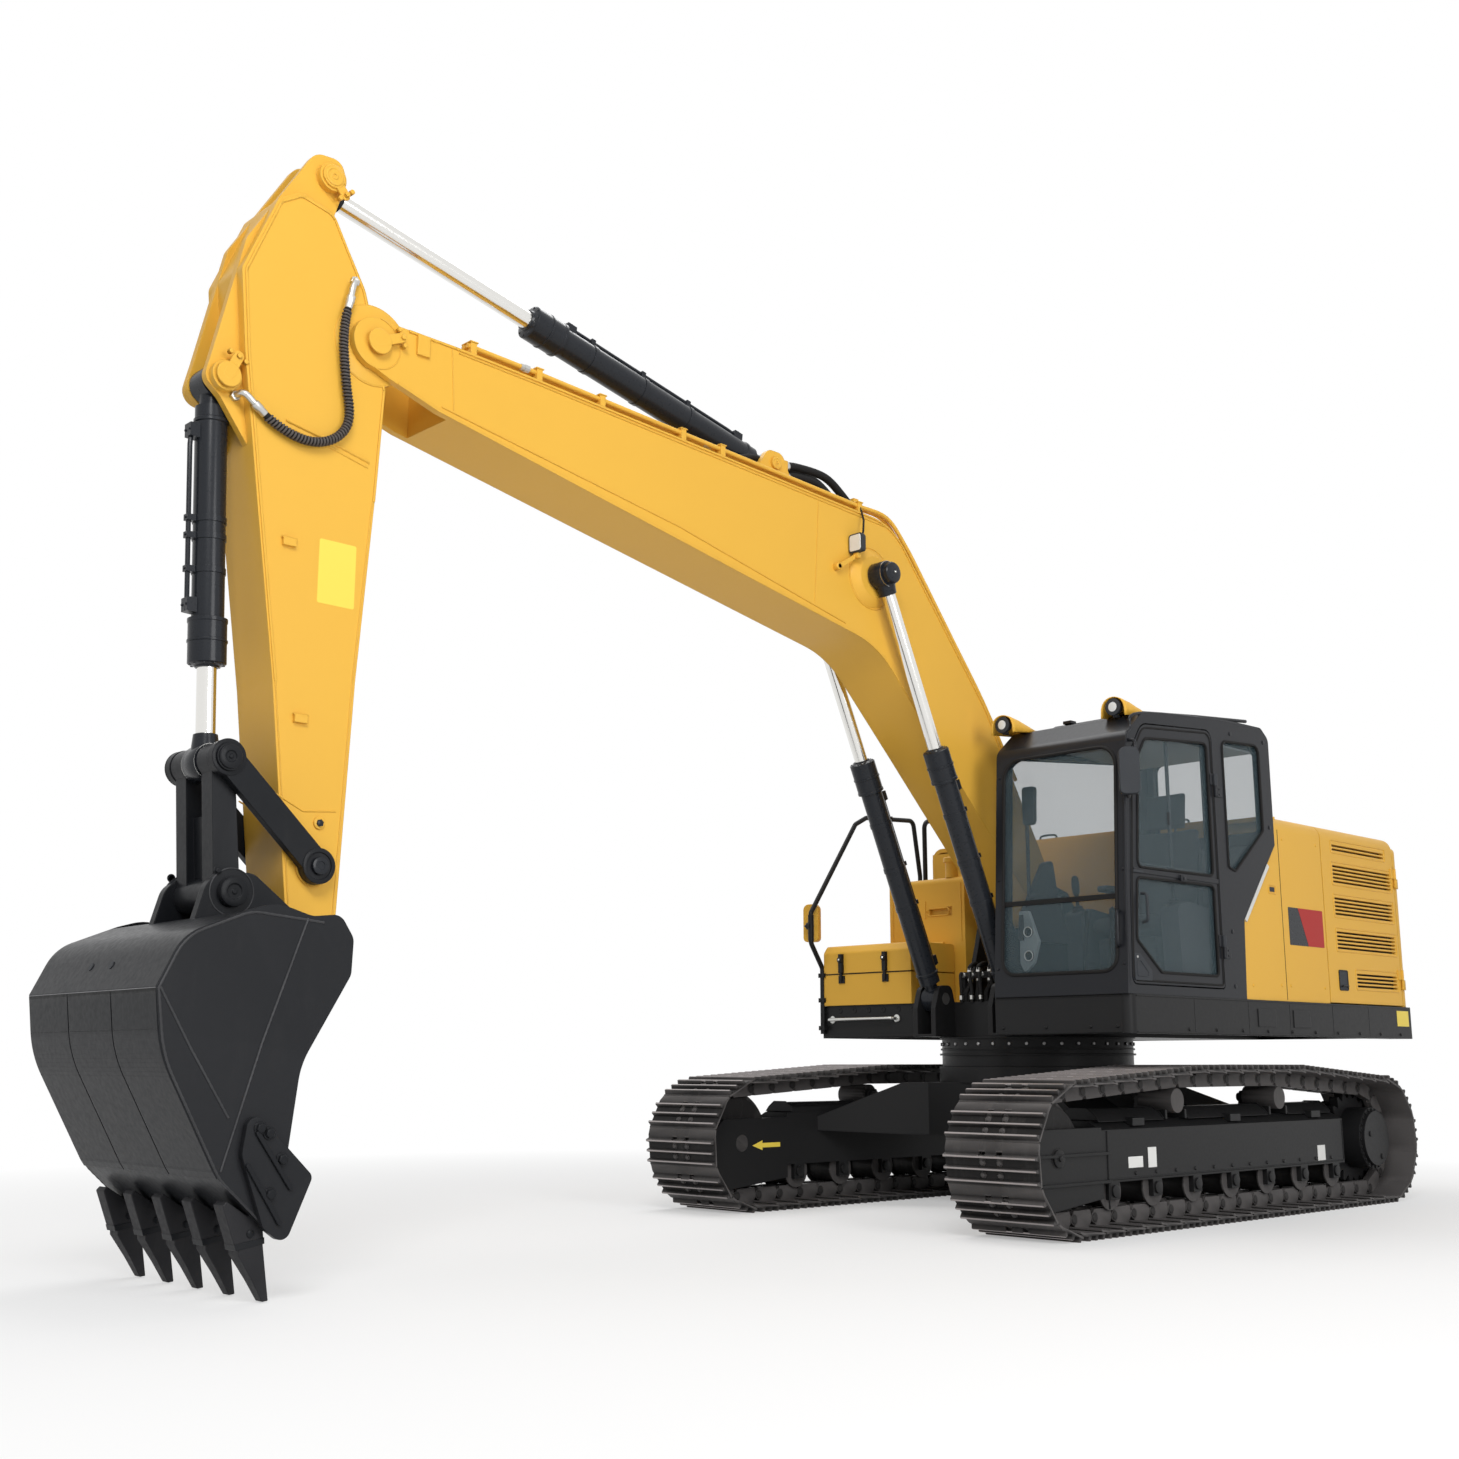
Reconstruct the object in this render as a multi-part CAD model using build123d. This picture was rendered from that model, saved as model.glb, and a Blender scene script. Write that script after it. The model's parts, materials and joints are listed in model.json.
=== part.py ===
from build123d import *
import math
import os

# Crawler excavator, 22 tonne class. Millimetres, +X to the front, +Y to the cab side, +Z up.
# All places below count X from the swing axis and Z from the ground. The last lines move the
# whole machine along X, so that its origin lies under the middle of its box.

# General clearances
seat_gap = 0.3
pin_gap = 0.3
side_gap = 6.0

# Tracks
gauge = 2380.0
shoe_width = 600.0
shoe_pitch = 190.0
end_radius = 410.0
idler_x = 1700.0
sprocket_x = -1860.0
grouser_height = 26.0
grouser_slope = 20.0
shoe_plate = 12.0
shoe_gap = 5.0
link_height = 95.0
strand_inner = 45.0
strand_outer = 95.0
carrier_xs = (450.0, -750.0)
carrier_radius = 70.0
carrier_z = 690.0
bottom_roller_radius = 85.0
bottom_roller_count = 7
bottom_roller_first_x = 1180.0
bottom_roller_last_x = -1380.0
roller_flange = 18.0
roller_flange_width = 12.0
roller_shaft_radius = 26.0

# Track frames
frame_half_width = 145.0
frame_front_x = 1290.0
frame_rear_x = -1500.0
frame_skirt_z = 265.0
frame_floor_z = 335.0
frame_edge_z = 545.0
frame_top_z = 590.0
frame_plate = 14.0
guard_front_x = 1925.0
guard_inner = 112.0
guard_bottom_z = 125.0
guard_top_z = 560.0
hub_radius = 200.0
hub_reach = 205.0
sprocket_teeth = 21
sprocket_root = 262.0
sprocket_tip = 312.0
sprocket_width = 60.0

# Car body and swing ring
body_low_z = 450.0
body_top_z = 780.0
leg_end_z = 560.0
ring_radius = 640.0
ring_bore = 440.0
ring_low_z = 880.0
ring_gap = 0.5
tie_eye_radius = 30.0
eye_plate = 40.0
body_front_x = 620.0

# Deck
deck_half_width = 1360.0
deck_front_x = 985.0
deck_right_front_x = 600.0
deck_rear_x = -2198.0
deck_arm_x = -2600.0
deck_bottom_z = 1070.0
deck_top_z = 1290.0
deck_plate = 16.0
skirt_plate = 40.0
bracket_inner = 215.0
bracket_plate = 34.0
boom_bay_half = 415.0
bay_front_x = 590.0
foot_lug_plate = 36.0
foot_lug_front_x = 790.0

# Pins of the front, X and Z
boom_foot = (100.0, 1920.0)
boom_cylinder_foot = (680.0, 1310.0)
boom_cylinder_top = (1820.0, 3800.0)
boom_tip = (5320.0, 4235.0)
arm_cylinder_foot = (2560.0, 4370.0)
arm_cylinder_top = (5560.0, 5020.0)
bucket_cylinder_foot = (6030.0, 3880.0)
rocker_pin = (5500.0, 1745.0)
bucket_pin = (5490.0, 1310.0)
link_pin = (5950.0, 2170.0)
bucket_link_pin = (5900.0, 1605.0)

# Boom
boom_half_width = 205.0
boom_plate = 14.0
boom_foot_radius = 135.0
boom_tip_radius = 125.0
boom_cheek = 36.0
boom_box_end_x = 4900.0
boom_boss_radius = 130.0
foot_pin_radius = 50.0
tip_pin_radius = 45.0

# Arm
arm_half_width = 160.0
arm_plate = 12.0
arm_hub_radius = 175.0
arm_hub_half = 165.0
arm_end_radius = 110.0
lug_inner = 70.0
lug_outer = 108.0
lug_boss_outer = 145.0
lug_radius = 105.0
rocker_hub_radius = 80.0

# Cylinders
boom_cylinder_y = 300.0
boom_barrel_radius = 68.0
boom_rod_radius = 42.0
arm_barrel_radius = 80.0
arm_rod_radius = 48.0
bucket_barrel_radius = 70.0
bucket_rod_radius = 42.0
gland_extra = 13.0
gland_length = 190.0
barrel_floor = 45.0
eye_radius = 78.0
eye_half = 50.0
cylinder_pin_radius = 38.0
rod_eye_radius = 80.0
rod_eye_half = 60.0

# Rocker bars and link
rocker_bar = 42.0
rocker_width = 62.0
rocker_eye_radius = 78.0
link_lug_inner = 72.0
link_end_radius = 75.0
link_pin_radius = 38.0

# Bucket
bucket_half_width = 600.0
bucket_side_plate = 22.0
bucket_shell_plate = 20.0
ear_gap = 6.0
ear_plate = 44.0
ear_radius = 118.0
tooth_count = 5
tooth_span = 1060.0
tooth_width = 78.0
lip_thickness = 40.0
cutter_plate = 30.0

# Cab
cab_inner_y = 425.0
cab_outer_y = deck_half_width
cab_wall = 45.0
cab_floor_z = deck_top_z
door_gap = 8.0
glass_thickness = 6.0
glass_depth = 14.0
hinge_radius = 10.0
hinge_leaf = 8.0

# Rear body
panel_inset = 10.0
body_side_y = deck_half_width - panel_inset
panel_plate = 30.0
panel_bottom_z = deck_top_z + seat_gap
panel_top_z = 2490.0
panel_round = 90.0
door_top_width = 100.0
door_swing_gap = 12.0
seam_one_x = -850.0
seam_two_x = -1430.0
door_rear_x = -2510.0
panel_gap = 6.0
hood_front_x = -900.0
hood_rear_x = -2190.0
hood_half_width = 900.0
hood_drop = 100.0
hood_rise = 30.0
weight_front_x = deck_rear_x - seat_gap
weight_ear_width = 170.0
weight_recess = body_side_y - weight_ear_width
weight_side_rear_x = -2626.0
weight_step_x = -2725.0
weight_step_y = 800.0
weight_rear_x = -2790.0
weight_corner = 110.0
weight_wall = 70.0
lifting_eye_back = 380.0
lifting_eye_y = 700.0
lifting_eye_radius = 25.0
weight_top_z = 2440.0
grille_slot = 14.0
grille_pitch = 26.0

# Right side
right_side_y = -body_side_y
tank_right_y = -1120.0
tank_left_y = -450.0
toolbox_left_y = -545.0
toolbox_front_x = 620.0
toolbox_rear_x = 160.0
toolbox_lid_z = 1500.0
toolbox_top_z = 1700.0
toolbox_wall = 14.0
tank_wall = 30.0
tank_front_x = 150.0
tank_rear_x = -620.0
tank_top_z = 2165.0
rail_radius = 17.0

os.makedirs("parts", exist_ok=True)


def side_plane(y):
    # Local x is machine X and local y is machine Z, and an extrusion goes towards -Y.
    return Plane(origin=(0, y, 0), x_dir=(1, 0, 0), z_dir=(0, -1, 0))


def outline(corners):
    # Each corner is (u, v) or (u, v, rounding radius).
    points = [(corner[0], corner[1]) for corner in corners]
    radii = [corner[2] if len(corner) > 2 else 0 for corner in corners]
    return make_face(FilletPolyline(*points, radius=radii, close=True).edges())


def side_solid(face, y_low, y_high):
    return extrude(side_plane(y_high) * face, y_high - y_low)


def side_plate(corners, y_low, y_high):
    return side_solid(outline(corners), y_low, y_high)


def plan_plate(corners, z_low, z_high):
    return extrude(Plane.XY.offset(z_low) * outline(corners), z_high - z_low)


def front_plate(corners, x_low, x_high):
    # Local x is machine Y and local y is machine Z.
    plane = Plane(origin=(x_low, 0, 0), x_dir=(0, 1, 0), z_dir=(1, 0, 0))
    return extrude(plane * outline(corners), x_high - x_low)


def block(x_low, x_high, y_low, y_high, z_low, z_high):
    size = (x_high - x_low, y_high - y_low, z_high - z_low)
    return Pos(x_low, y_low, z_low) * Box(*size, align=(Align.MIN, Align.MIN, Align.MIN))


def disc(centre, radius, y_low, y_high):
    return side_solid(Pos(centre[0], centre[1]) * Circle(radius), y_low, y_high)


def upright(x, y, radius, z_low, z_high):
    return Pos(x, y, z_low) * Cylinder(radius, z_high - z_low, align=(Align.CENTER, Align.CENTER, Align.MIN))


def along(start, end, radius):
    # A round bar between two points in space.
    direction = Vector(*end) - Vector(*start)
    plane = Plane(origin=start, z_dir=direction)
    return extrude(plane * Circle(radius), direction.length)


def mirrored(shape):
    return mirror(shape, about=Plane.XZ)


def both_sides(shape):
    return shape + mirrored(shape)


def between(start, end, distance):
    # The point at a distance from start on the line to end, in X and Z.
    length = math.dist(start, end)
    share = distance / length
    return (start[0] + share * (end[0] - start[0]), start[1] + share * (end[1] - start[1]))


def beside(start, end, distance):
    # The step across the line from start to end, to its left with X right and Z up.
    length = math.dist(start, end)
    return (-(end[1] - start[1]) / length * distance, (end[0] - start[0]) / length * distance)


def bent_tube(points, bend_radius, radius):
    path = FilletPolyline(*points, radius=bend_radius)
    start = Plane(origin=path @ 0, z_dir=path % 0)
    return sweep(start * Circle(radius), path=path)


# Track loop

chain_height = link_height + shoe_plate + grouser_height
rail_radius_end = end_radius - chain_height
track_y = gauge / 2
flange_inner = strand_outer + side_gap
flange_outer = flange_inner + roller_flange_width


def belt_wheels():
    # X, Z and radius of what the rail runs round, from the idler over the top to the sprocket.
    wheels = [(idler_x, end_radius, rail_radius_end)]
    for x in carrier_xs:
        wheels.append((x, carrier_z, carrier_radius + seat_gap))
    wheels.append((sprocket_x, end_radius, rail_radius_end))
    return wheels


def belt_parts(offset):
    # Arcs and straight runs of the loop at a distance outside the rail.
    wheels = belt_wheels()
    normals = [-90.0]
    for first, second in zip(wheels, wheels[1:]):
        span = math.dist(first[:2], second[:2])
        heading = math.degrees(math.atan2(second[1] - first[1], second[0] - first[0]))
        turn = math.degrees(math.asin((first[2] - second[2]) / span))
        normals.append((heading - 90 + turn) % 360)
    normals.append(270.0)
    parts = []
    for index, (x, z, radius) in enumerate(wheels):
        parts.append(("arc", x, z, radius + offset, normals[index], normals[index + 1]))
    return parts


def belt_point(part, angle):
    _, x, z, radius, _, _ = part
    return (x + radius * math.cos(math.radians(angle)), z + radius * math.sin(math.radians(angle)))


def belt_face(offset):
    parts = belt_parts(offset)
    edges = []
    for index, part in enumerate(parts):
        following = parts[(index + 1) % len(parts)]
        start_angle, end_angle = part[4], part[5]
        middle = (start_angle + end_angle) / 2
        points = [belt_point(part, angle) for angle in (start_angle, middle, end_angle)]
        edges.append(ThreePointArc(*points))
        edges.append(Line(points[2], belt_point(following, following[4])))
    return make_face(edges)


def belt_stations(offset, count):
    # Even steps along the loop: place, direction of travel and outward direction.
    runs = []
    parts = belt_parts(offset)
    for index, part in enumerate(parts):
        turn = math.radians(part[5] - part[4])
        runs.append(("arc", part, part[3] * turn))
        following = parts[(index + 1) % len(parts)]
        start, end = belt_point(part, part[5]), belt_point(following, following[4])
        runs.append(("line", (start, end, part[5]), math.dist(start, end)))
    total = sum(run[2] for run in runs)
    stations = []
    for number in range(count):
        left = total * (number + 0.5) / count
        for kind, data, length in runs:
            if left <= length:
                break
            left -= length
        if kind == "arc":
            angle = data[4] + math.degrees(left / data[3])
            place = belt_point(data, angle)
        else:
            place = between(data[0], data[1], left)
            angle = data[2]
        outward = (math.cos(math.radians(angle)), math.sin(math.radians(angle)))
        stations.append((place, (-outward[1], outward[0]), outward))
    return stations, total / count


def belt_length(offset):
    _, length = belt_stations(offset, 1)
    return length


def shoe_profile(pitch):
    # Along the chain and out from the rail: notch, three grousers, notch.
    half = pitch / 2 - shoe_gap
    notch = link_height + shoe_plate / 2
    top = link_height + shoe_plate
    return [
        (-half, notch),
        (-half, chain_height),
        (-half + grouser_slope, top),
        (-grouser_slope, top),
        (0, chain_height),
        (grouser_slope, top),
        (half - grouser_slope, top),
        (half, chain_height),
        (half, notch),
    ]


def track():
    count = round(belt_length(link_height / 2) / shoe_pitch)
    stations, pitch = belt_stations(0, count)
    pin_pitch = belt_length(link_height / 2) / count
    points = []
    for place, travel, outward in stations:
        for t, n in shoe_profile(pin_pitch):
            points.append((place[0] + t * travel[0] + n * outward[0], place[1] + t * travel[1] + n * outward[1]))
    shoes = make_face(Polyline(*points, close=True).edges()) - belt_face(link_height)
    strand = belt_face(link_height + shoe_plate / 3) - belt_face(0)
    loop = side_solid(shoes, track_y - shoe_width / 2, track_y + shoe_width / 2)
    for side in (-1, 1):
        edges = sorted((track_y + side * strand_inner, track_y + side * strand_outer))
        loop += side_solid(strand, *edges)
    return loop


def roller(x, z):
    # A tread with a flange outside each side of the chain.
    body = disc((x, z), bottom_roller_radius, track_y - flange_inner, track_y + flange_inner)
    for side in (-1, 1):
        edges = sorted((track_y + side * flange_inner, track_y + side * flange_outer))
        body += disc((x, z), bottom_roller_radius + roller_flange, *edges)
    return body


def bottom_roller_places():
    step = (bottom_roller_last_x - bottom_roller_first_x) / (bottom_roller_count - 1)
    z = chain_height + bottom_roller_radius + seat_gap
    return [(bottom_roller_first_x + step * number, z) for number in range(bottom_roller_count)]


def bottom_rollers():
    return both_sides(Compound([roller(x, z) for x, z in bottom_roller_places()]))


def carrier_rollers():
    reach = flange_outer
    rollers = []
    for x in carrier_xs:
        body = disc((x, carrier_z), carrier_radius, track_y - reach, track_y + reach)
        shaft = disc((x, carrier_z), roller_shaft_radius, track_y - frame_half_width - 30, track_y - reach)
        rollers.append(body + shaft)
    return both_sides(Compound(rollers))


def track_frame():
    # A beam open from below, with the roller pedestals, idler guard and final drive mount.
    low, high = track_y - frame_half_width, track_y + frame_half_width
    section = [
        (low, frame_skirt_z),
        (low, frame_top_z),
        (high - 90, frame_top_z),
        (high, frame_edge_z),
        (high, frame_skirt_z),
        (high - frame_plate, frame_skirt_z),
        (high - frame_plate, frame_floor_z),
        (low + frame_plate, frame_floor_z),
        (low + frame_plate, frame_skirt_z),
    ]
    inside = [
        (low + frame_plate, frame_floor_z + frame_plate),
        (low + frame_plate, frame_top_z - frame_plate),
        (high - 90, frame_top_z - frame_plate),
        (high - frame_plate, frame_edge_z - frame_plate),
        (high - frame_plate, frame_floor_z + frame_plate),
    ]
    beam = front_plate(section, frame_rear_x, frame_front_x)
    beam -= front_plate(inside, frame_rear_x + frame_plate, frame_front_x - frame_plate)
    for x, z in bottom_roller_places():
        inner = flange_outer + seat_gap
        for edges in ((low, track_y - inner), (track_y + inner, high)):
            beam += block(x - 45, x + 45, *edges, z - 45, frame_floor_z + frame_plate)
    for x in carrier_xs:
        post = side_plate(
            [
                (x - 70, frame_top_z),
                (x + 70, frame_top_z),
                (x + 40, carrier_z + 40, 20),
                (x - 40, carrier_z + 40, 20),
            ],
            low,
            low + 26,
        )
        beam += post - disc((x, carrier_z), roller_shaft_radius + pin_gap, low, high)
    guard = [
        (frame_front_x, guard_bottom_z + 60),
        (guard_front_x - 60, guard_bottom_z, 30),
        (guard_front_x, guard_bottom_z + 60, 20),
        (guard_front_x, guard_top_z - 60, 20),
        (guard_front_x - 70, guard_top_z, 20),
        (frame_front_x, guard_top_z),
    ]
    for side in (-1, 1):
        edges = sorted((track_y + side * guard_inner, track_y + side * frame_half_width))
        beam += side_plate(guard, *edges)
        if side == 1:
            for z in (guard_bottom_z + 140, guard_bottom_z + 290):
                beam += block(frame_front_x - 60, guard_front_x - 20, high, high + 18, z, z + 16)
    beam -= disc((idler_x, end_radius), roller_shaft_radius * 2 + pin_gap, low - 1, high + 1)
    drive = disc((sprocket_x, end_radius), hub_radius + 40, low, low + 60)
    drive += side_plate(
        [
            (frame_rear_x, frame_skirt_z + 20),
            (frame_rear_x, frame_top_z),
            (sprocket_x, end_radius + hub_radius + 40),
            (sprocket_x, end_radius - hub_radius - 40),
        ],
        low,
        low + 60,
    )
    drive -= disc((sprocket_x, end_radius), hub_radius - 30, low - 1, high)
    return beam + drive


def idler():
    # A wheel between the guards, with a middle flange between the strands.
    wheel = disc((idler_x, end_radius), rail_radius_end - seat_gap, track_y - strand_outer, track_y + strand_outer)
    wheel += disc(
        (idler_x, end_radius),
        rail_radius_end + 45,
        track_y - strand_inner + side_gap,
        track_y + strand_inner - side_gap,
    )
    reach = frame_half_width
    wheel += disc((idler_x, end_radius), roller_shaft_radius * 2, track_y - reach, track_y + reach)
    return wheel


def sprocket():
    # Toothed ring on the final drive, whose round cover faces out.
    points = []
    for tooth in range(sprocket_teeth):
        for share, radius in ((0.0, sprocket_root), (0.3, sprocket_tip), (0.5, sprocket_tip), (0.8, sprocket_root)):
            angle = 2 * math.pi * (tooth + share) / sprocket_teeth
            points.append((sprocket_x + radius * math.cos(angle), end_radius + radius * math.sin(angle)))
    ring = make_face(Polyline(*points, close=True).edges())
    half = sprocket_width / 2
    wheel = side_solid(ring, track_y - half, track_y + half)
    centre = (sprocket_x, end_radius)
    wheel += disc(centre, hub_radius, track_y, track_y + hub_reach - 25)
    wheel += disc(centre, hub_radius - 22, track_y, track_y + hub_reach)
    low = track_y - frame_half_width
    wheel += disc(centre, hub_radius - 30 - pin_gap, low, track_y)
    wheel += disc(centre, hub_radius - 70, low - 120, low)
    return wheel


def car_body():
    # Centre box with four legs to the track frames, seen in plan, with sloping leg tops.
    low = track_y - frame_half_width - seat_gap
    quarter = [(body_front_x, 0), (body_front_x, 420), (1010, low), (430, low), (330, 640)]
    plan = list(quarter)
    plan += [(-x, y) for x, y in reversed(quarter)]
    plan += [(-x, -y) for x, y in quarter[1:]]
    plan += [(x, -y) for x, y in reversed(quarter[1:])]
    body = plan_plate(plan, body_low_z, body_top_z)
    shape = [
        (-low, body_low_z + 20),
        (-low, leg_end_z),
        (-560, body_top_z),
        (560, body_top_z),
        (low, leg_end_z),
        (low, body_low_z + 20),
        (560, body_low_z),
        (-560, body_low_z),
    ]
    body &= front_plate(shape, -1100, 1100)
    body -= upright(0, 0, ring_bore, body_low_z + 30, body_top_z - 30)
    body += upright(0, 0, ring_radius, body_top_z, ring_low_z) - upright(0, 0, ring_bore, body_top_z, ring_low_z)
    return body


def towing_eye():
    # A level plate on the car body's front wall, drilled for a shackle.
    x = body_front_x
    z = (body_low_z + body_top_z) / 2
    low, high = z - eye_plate / 2, z + eye_plate / 2
    eye = plan_plate([(x, -90), (x, 90), (x + 90, 55, 30), (x + 90, -55, 30)], low, high)
    return eye - upright(x + 45, 0, tie_eye_radius, low - 1, high + 1)


def swing_ring():
    ring = upright(0, 0, ring_radius - 20, ring_low_z + ring_gap, deck_bottom_z)
    return ring - upright(0, 0, ring_bore, ring_low_z, deck_bottom_z)


# Upper structure


def foot_lug_edges():
    # Inner faces of the two lugs beside each boom cylinder's foot.
    return (boom_cylinder_y - eye_half - side_gap, boom_cylinder_y + eye_half + side_gap)


def deck_frame():
    # A pan with skirts round it and a bay for the boom in its front edge.
    bay = boom_bay_half
    plan = [
        (deck_front_x, deck_half_width, 60),
        (deck_arm_x, deck_half_width),
        (deck_arm_x, weight_recess + panel_gap),
        (deck_rear_x, weight_recess + panel_gap),
        (deck_rear_x, -weight_recess - panel_gap),
        (deck_arm_x, -weight_recess - panel_gap),
        (deck_arm_x, -deck_half_width),
        (deck_right_front_x, -deck_half_width),
        (deck_right_front_x, -bay),
        (bay_front_x, -bay),
        (bay_front_x, bay),
        (deck_front_x, bay),
    ]
    pan = plan_plate(plan, deck_bottom_z, deck_top_z)
    left = [
        (deck_front_x - skirt_plate, deck_half_width - skirt_plate),
        (deck_rear_x + skirt_plate, deck_half_width - skirt_plate),
        (deck_rear_x + skirt_plate, bay),
        (bay_front_x, bay + skirt_plate),
        (deck_front_x - skirt_plate, bay + skirt_plate),
    ]
    right = [
        (deck_right_front_x - skirt_plate, -deck_half_width + skirt_plate),
        (deck_rear_x + skirt_plate, -deck_half_width + skirt_plate),
        (deck_rear_x + skirt_plate, -bay),
        (deck_right_front_x - skirt_plate, -bay - skirt_plate),
    ]
    for pocket in (left, right):
        pan -= plan_plate(pocket, deck_bottom_z, deck_top_z - deck_plate)
    pan -= block(
        deck_rear_x + skirt_plate,
        bay_front_x - skirt_plate,
        -bay + skirt_plate,
        bay - skirt_plate,
        deck_bottom_z + deck_plate,
        deck_top_z - deck_plate,
    )
    return pan


def boom_brackets():
    # The two plates of the boom's foot, and the lugs of its cylinders on the deck's front edge.
    base = deck_top_z + seat_gap
    bracket = [
        (-620, base),
        (-60, boom_foot[1] + 90),
        (boom_foot[0], boom_foot[1] + 130, 60),
        (boom_foot[0] + 130, boom_foot[1] + 20, 60),
        (430, base),
    ]
    plate = side_plate(bracket, bracket_inner, bracket_inner + bracket_plate)
    plate -= disc(boom_foot, foot_pin_radius + pin_gap, 0, boom_bay_half)
    brackets = both_sides(plate)
    x, z = boom_cylinder_foot
    front = bay_front_x + seat_gap
    lug = [
        (front, deck_bottom_z),
        (front, deck_top_z),
        (x - 60, z + 85, 50),
        (x + 60, z + 85, 60),
        (foot_lug_front_x, z - 60, 40),
        (foot_lug_front_x, deck_bottom_z),
    ]
    inner, outer = foot_lug_edges()
    for y in (inner - foot_lug_plate, outer):
        ear = side_plate(lug, y, y + foot_lug_plate)
        ear -= disc(boom_cylinder_foot, cylinder_pin_radius + pin_gap, y - 1, y + foot_lug_plate + 1)
        brackets += both_sides(ear)
    shelf = block(
        front,
        foot_lug_front_x,
        inner - foot_lug_plate,
        outer + foot_lug_plate,
        deck_bottom_z,
        deck_bottom_z + deck_plate,
    )
    return brackets + both_sides(shelf)


def boom_foot_pins():
    # Foot pin with its caps, and the two pins of the boom cylinders.
    reach = bracket_inner + bracket_plate
    pin = disc(boom_foot, foot_pin_radius, -reach - 16, reach + 16)
    pin += both_sides(disc(boom_foot, foot_pin_radius + 20, reach + seat_gap, reach + 16))
    inner, outer = foot_lug_edges()
    foot = disc(boom_cylinder_foot, cylinder_pin_radius, inner - foot_lug_plate, outer + foot_lug_plate)
    return Compound([pin, foot, mirrored(foot)])


def counterweight():
    # Reaches forward between the side doors and round the tail.
    side = body_side_y
    front = door_rear_x - panel_gap
    half = [
        (weight_front_x, weight_recess),
        (front, weight_recess),
        (front, side),
        (weight_side_rear_x, side, weight_corner),
        (weight_step_x, weight_step_y, 900),
    ]
    plan = half + [(weight_rear_x, 0, 2500)]
    plan += [(corner[0], -corner[1], *corner[2:]) for corner in reversed(half)]
    weight = plan_plate(plan, deck_bottom_z + 10, weight_top_z)
    for y in (weight_recess, -deck_half_width - 1):
        low, high = y - 1, y + deck_half_width - weight_recess + 2
        weight -= block(deck_arm_x - panel_gap, front + 1, low, high, deck_bottom_z, panel_bottom_z)
    shape = [
        (-side, deck_bottom_z + 10),
        (-side, weight_top_z, 90),
        (side, weight_top_z, 90),
        (side, deck_bottom_z + 10),
    ]
    weight &= front_plate(shape, weight_rear_x - 10, weight_front_x)
    weight -= block(
        weight_side_rear_x + weight_wall,
        weight_front_x - weight_wall,
        weight_wall - weight_recess,
        weight_recess - weight_wall,
        deck_bottom_z + weight_wall,
        weight_top_z - weight_wall,
    )
    for z in hinge_heights:
        lug = hinge_lug(door_rear_x - panel_gap / 2, body_side_y + hinge_radius + 2, z - hinge_length, -1)
        weight += both_sides(lug)
    y = hood_half_width - 150
    x, z = hood_axis()
    for low in (-y - hinge_length, y):
        lug = disc((x, z), hinge_radius, low, low + hinge_length)
        lug += block(x - 60, x, low, low + hinge_length, weight_top_z - 1, z)
        weight += lug
    return weight


hinge_length = 70.0
hinge_heights = (1480.0, 2200.0)


def hinge_lug(x, y, z, direction):
    # A knuckle on an upright axis with a leaf that reaches along the face behind it.
    lug = upright(x, y, hinge_radius, z, z + hinge_length - seat_gap)
    low, high = sorted((x, x + direction * 50))
    return lug + block(low, high, y - hinge_radius - 2, y - hinge_radius - 2 + hinge_leaf, z, z + hinge_length - seat_gap)


def hood_axis():
    return (hood_rear_x - 5, panel_top_z + hood_rise + hinge_radius + 2)


def lifting_eyes():
    eyes = []
    x, z = weight_front_x - lifting_eye_back, weight_top_z
    shape = [(x - 80, z + seat_gap), (x - 60, z + 90, 40), (x + 60, z + 90, 40), (x + 80, z + seat_gap)]
    for y in (-lifting_eye_y, lifting_eye_y):
        eye = side_plate(shape, y - eye_plate / 2, y + eye_plate / 2)
        eyes.append(eye - disc((x, z + 50), lifting_eye_radius, y - eye_plate, y + eye_plate))
    return Compound(eyes)


def cab_back(clearance):
    # The cab's rear lines in side view, moved back by a clearance.
    return [(x - clearance, z) for x, z, _ in cab_sides[5:]]


def wall_section(top_width, bottom):
    # Outer wall with its rounded shoulder and the start of the roof, in Y and Z.
    side, top, plate = body_side_y, panel_top_z, panel_plate
    return [
        (side, bottom),
        (side, top, panel_round),
        (side - top_width, top),
        (side - top_width, top - plate),
        (side - plate, top - plate, panel_round - plate),
        (side - plate, bottom),
    ]


def left_panel():
    # The wall behind the cab's slanted corner with its roof, and the roof strip past the door.
    width = body_side_y - hood_half_width - panel_gap
    wall = front_plate(wall_section(width, panel_bottom_z), seam_two_x + panel_gap / 2, 0)
    rear = cab_back(panel_gap)
    region = [
        (rear[3][0], panel_bottom_z),
        (rear[2][0], rear[2][1]),
        (rear[1][0], rear[1][1]),
        (rear[1][0], panel_top_z + 10),
        (seam_two_x, panel_top_z + 10),
        (seam_two_x, panel_bottom_z),
    ]
    wall &= side_plate(region, 0, deck_half_width)
    start = hood_front_x + door_swing_gap
    bulkhead = block(
        start, start + panel_plate, -hood_half_width, body_side_y - panel_plate + 1, panel_bottom_z, panel_top_z
    )
    return wall + roof_strip() + bulkhead


def roof_strip():
    # The roof between the hood and a side door.
    return block(
        weight_front_x + panel_gap,
        seam_two_x + panel_gap / 2,
        hood_half_width + panel_gap,
        body_side_y - door_top_width - panel_gap,
        panel_top_z - panel_plate,
        panel_top_z,
    )


def slots(x_low, x_high, z_low, z_high):
    count = int((z_high - z_low) // grille_pitch)
    cuts = []
    for number in range(count):
        z = z_low + grille_pitch * number
        cuts.append(block(x_low, x_high, body_side_y - panel_plate - 1, body_side_y + 1, z, z + grille_slot))
    return Compound(cuts)


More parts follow.
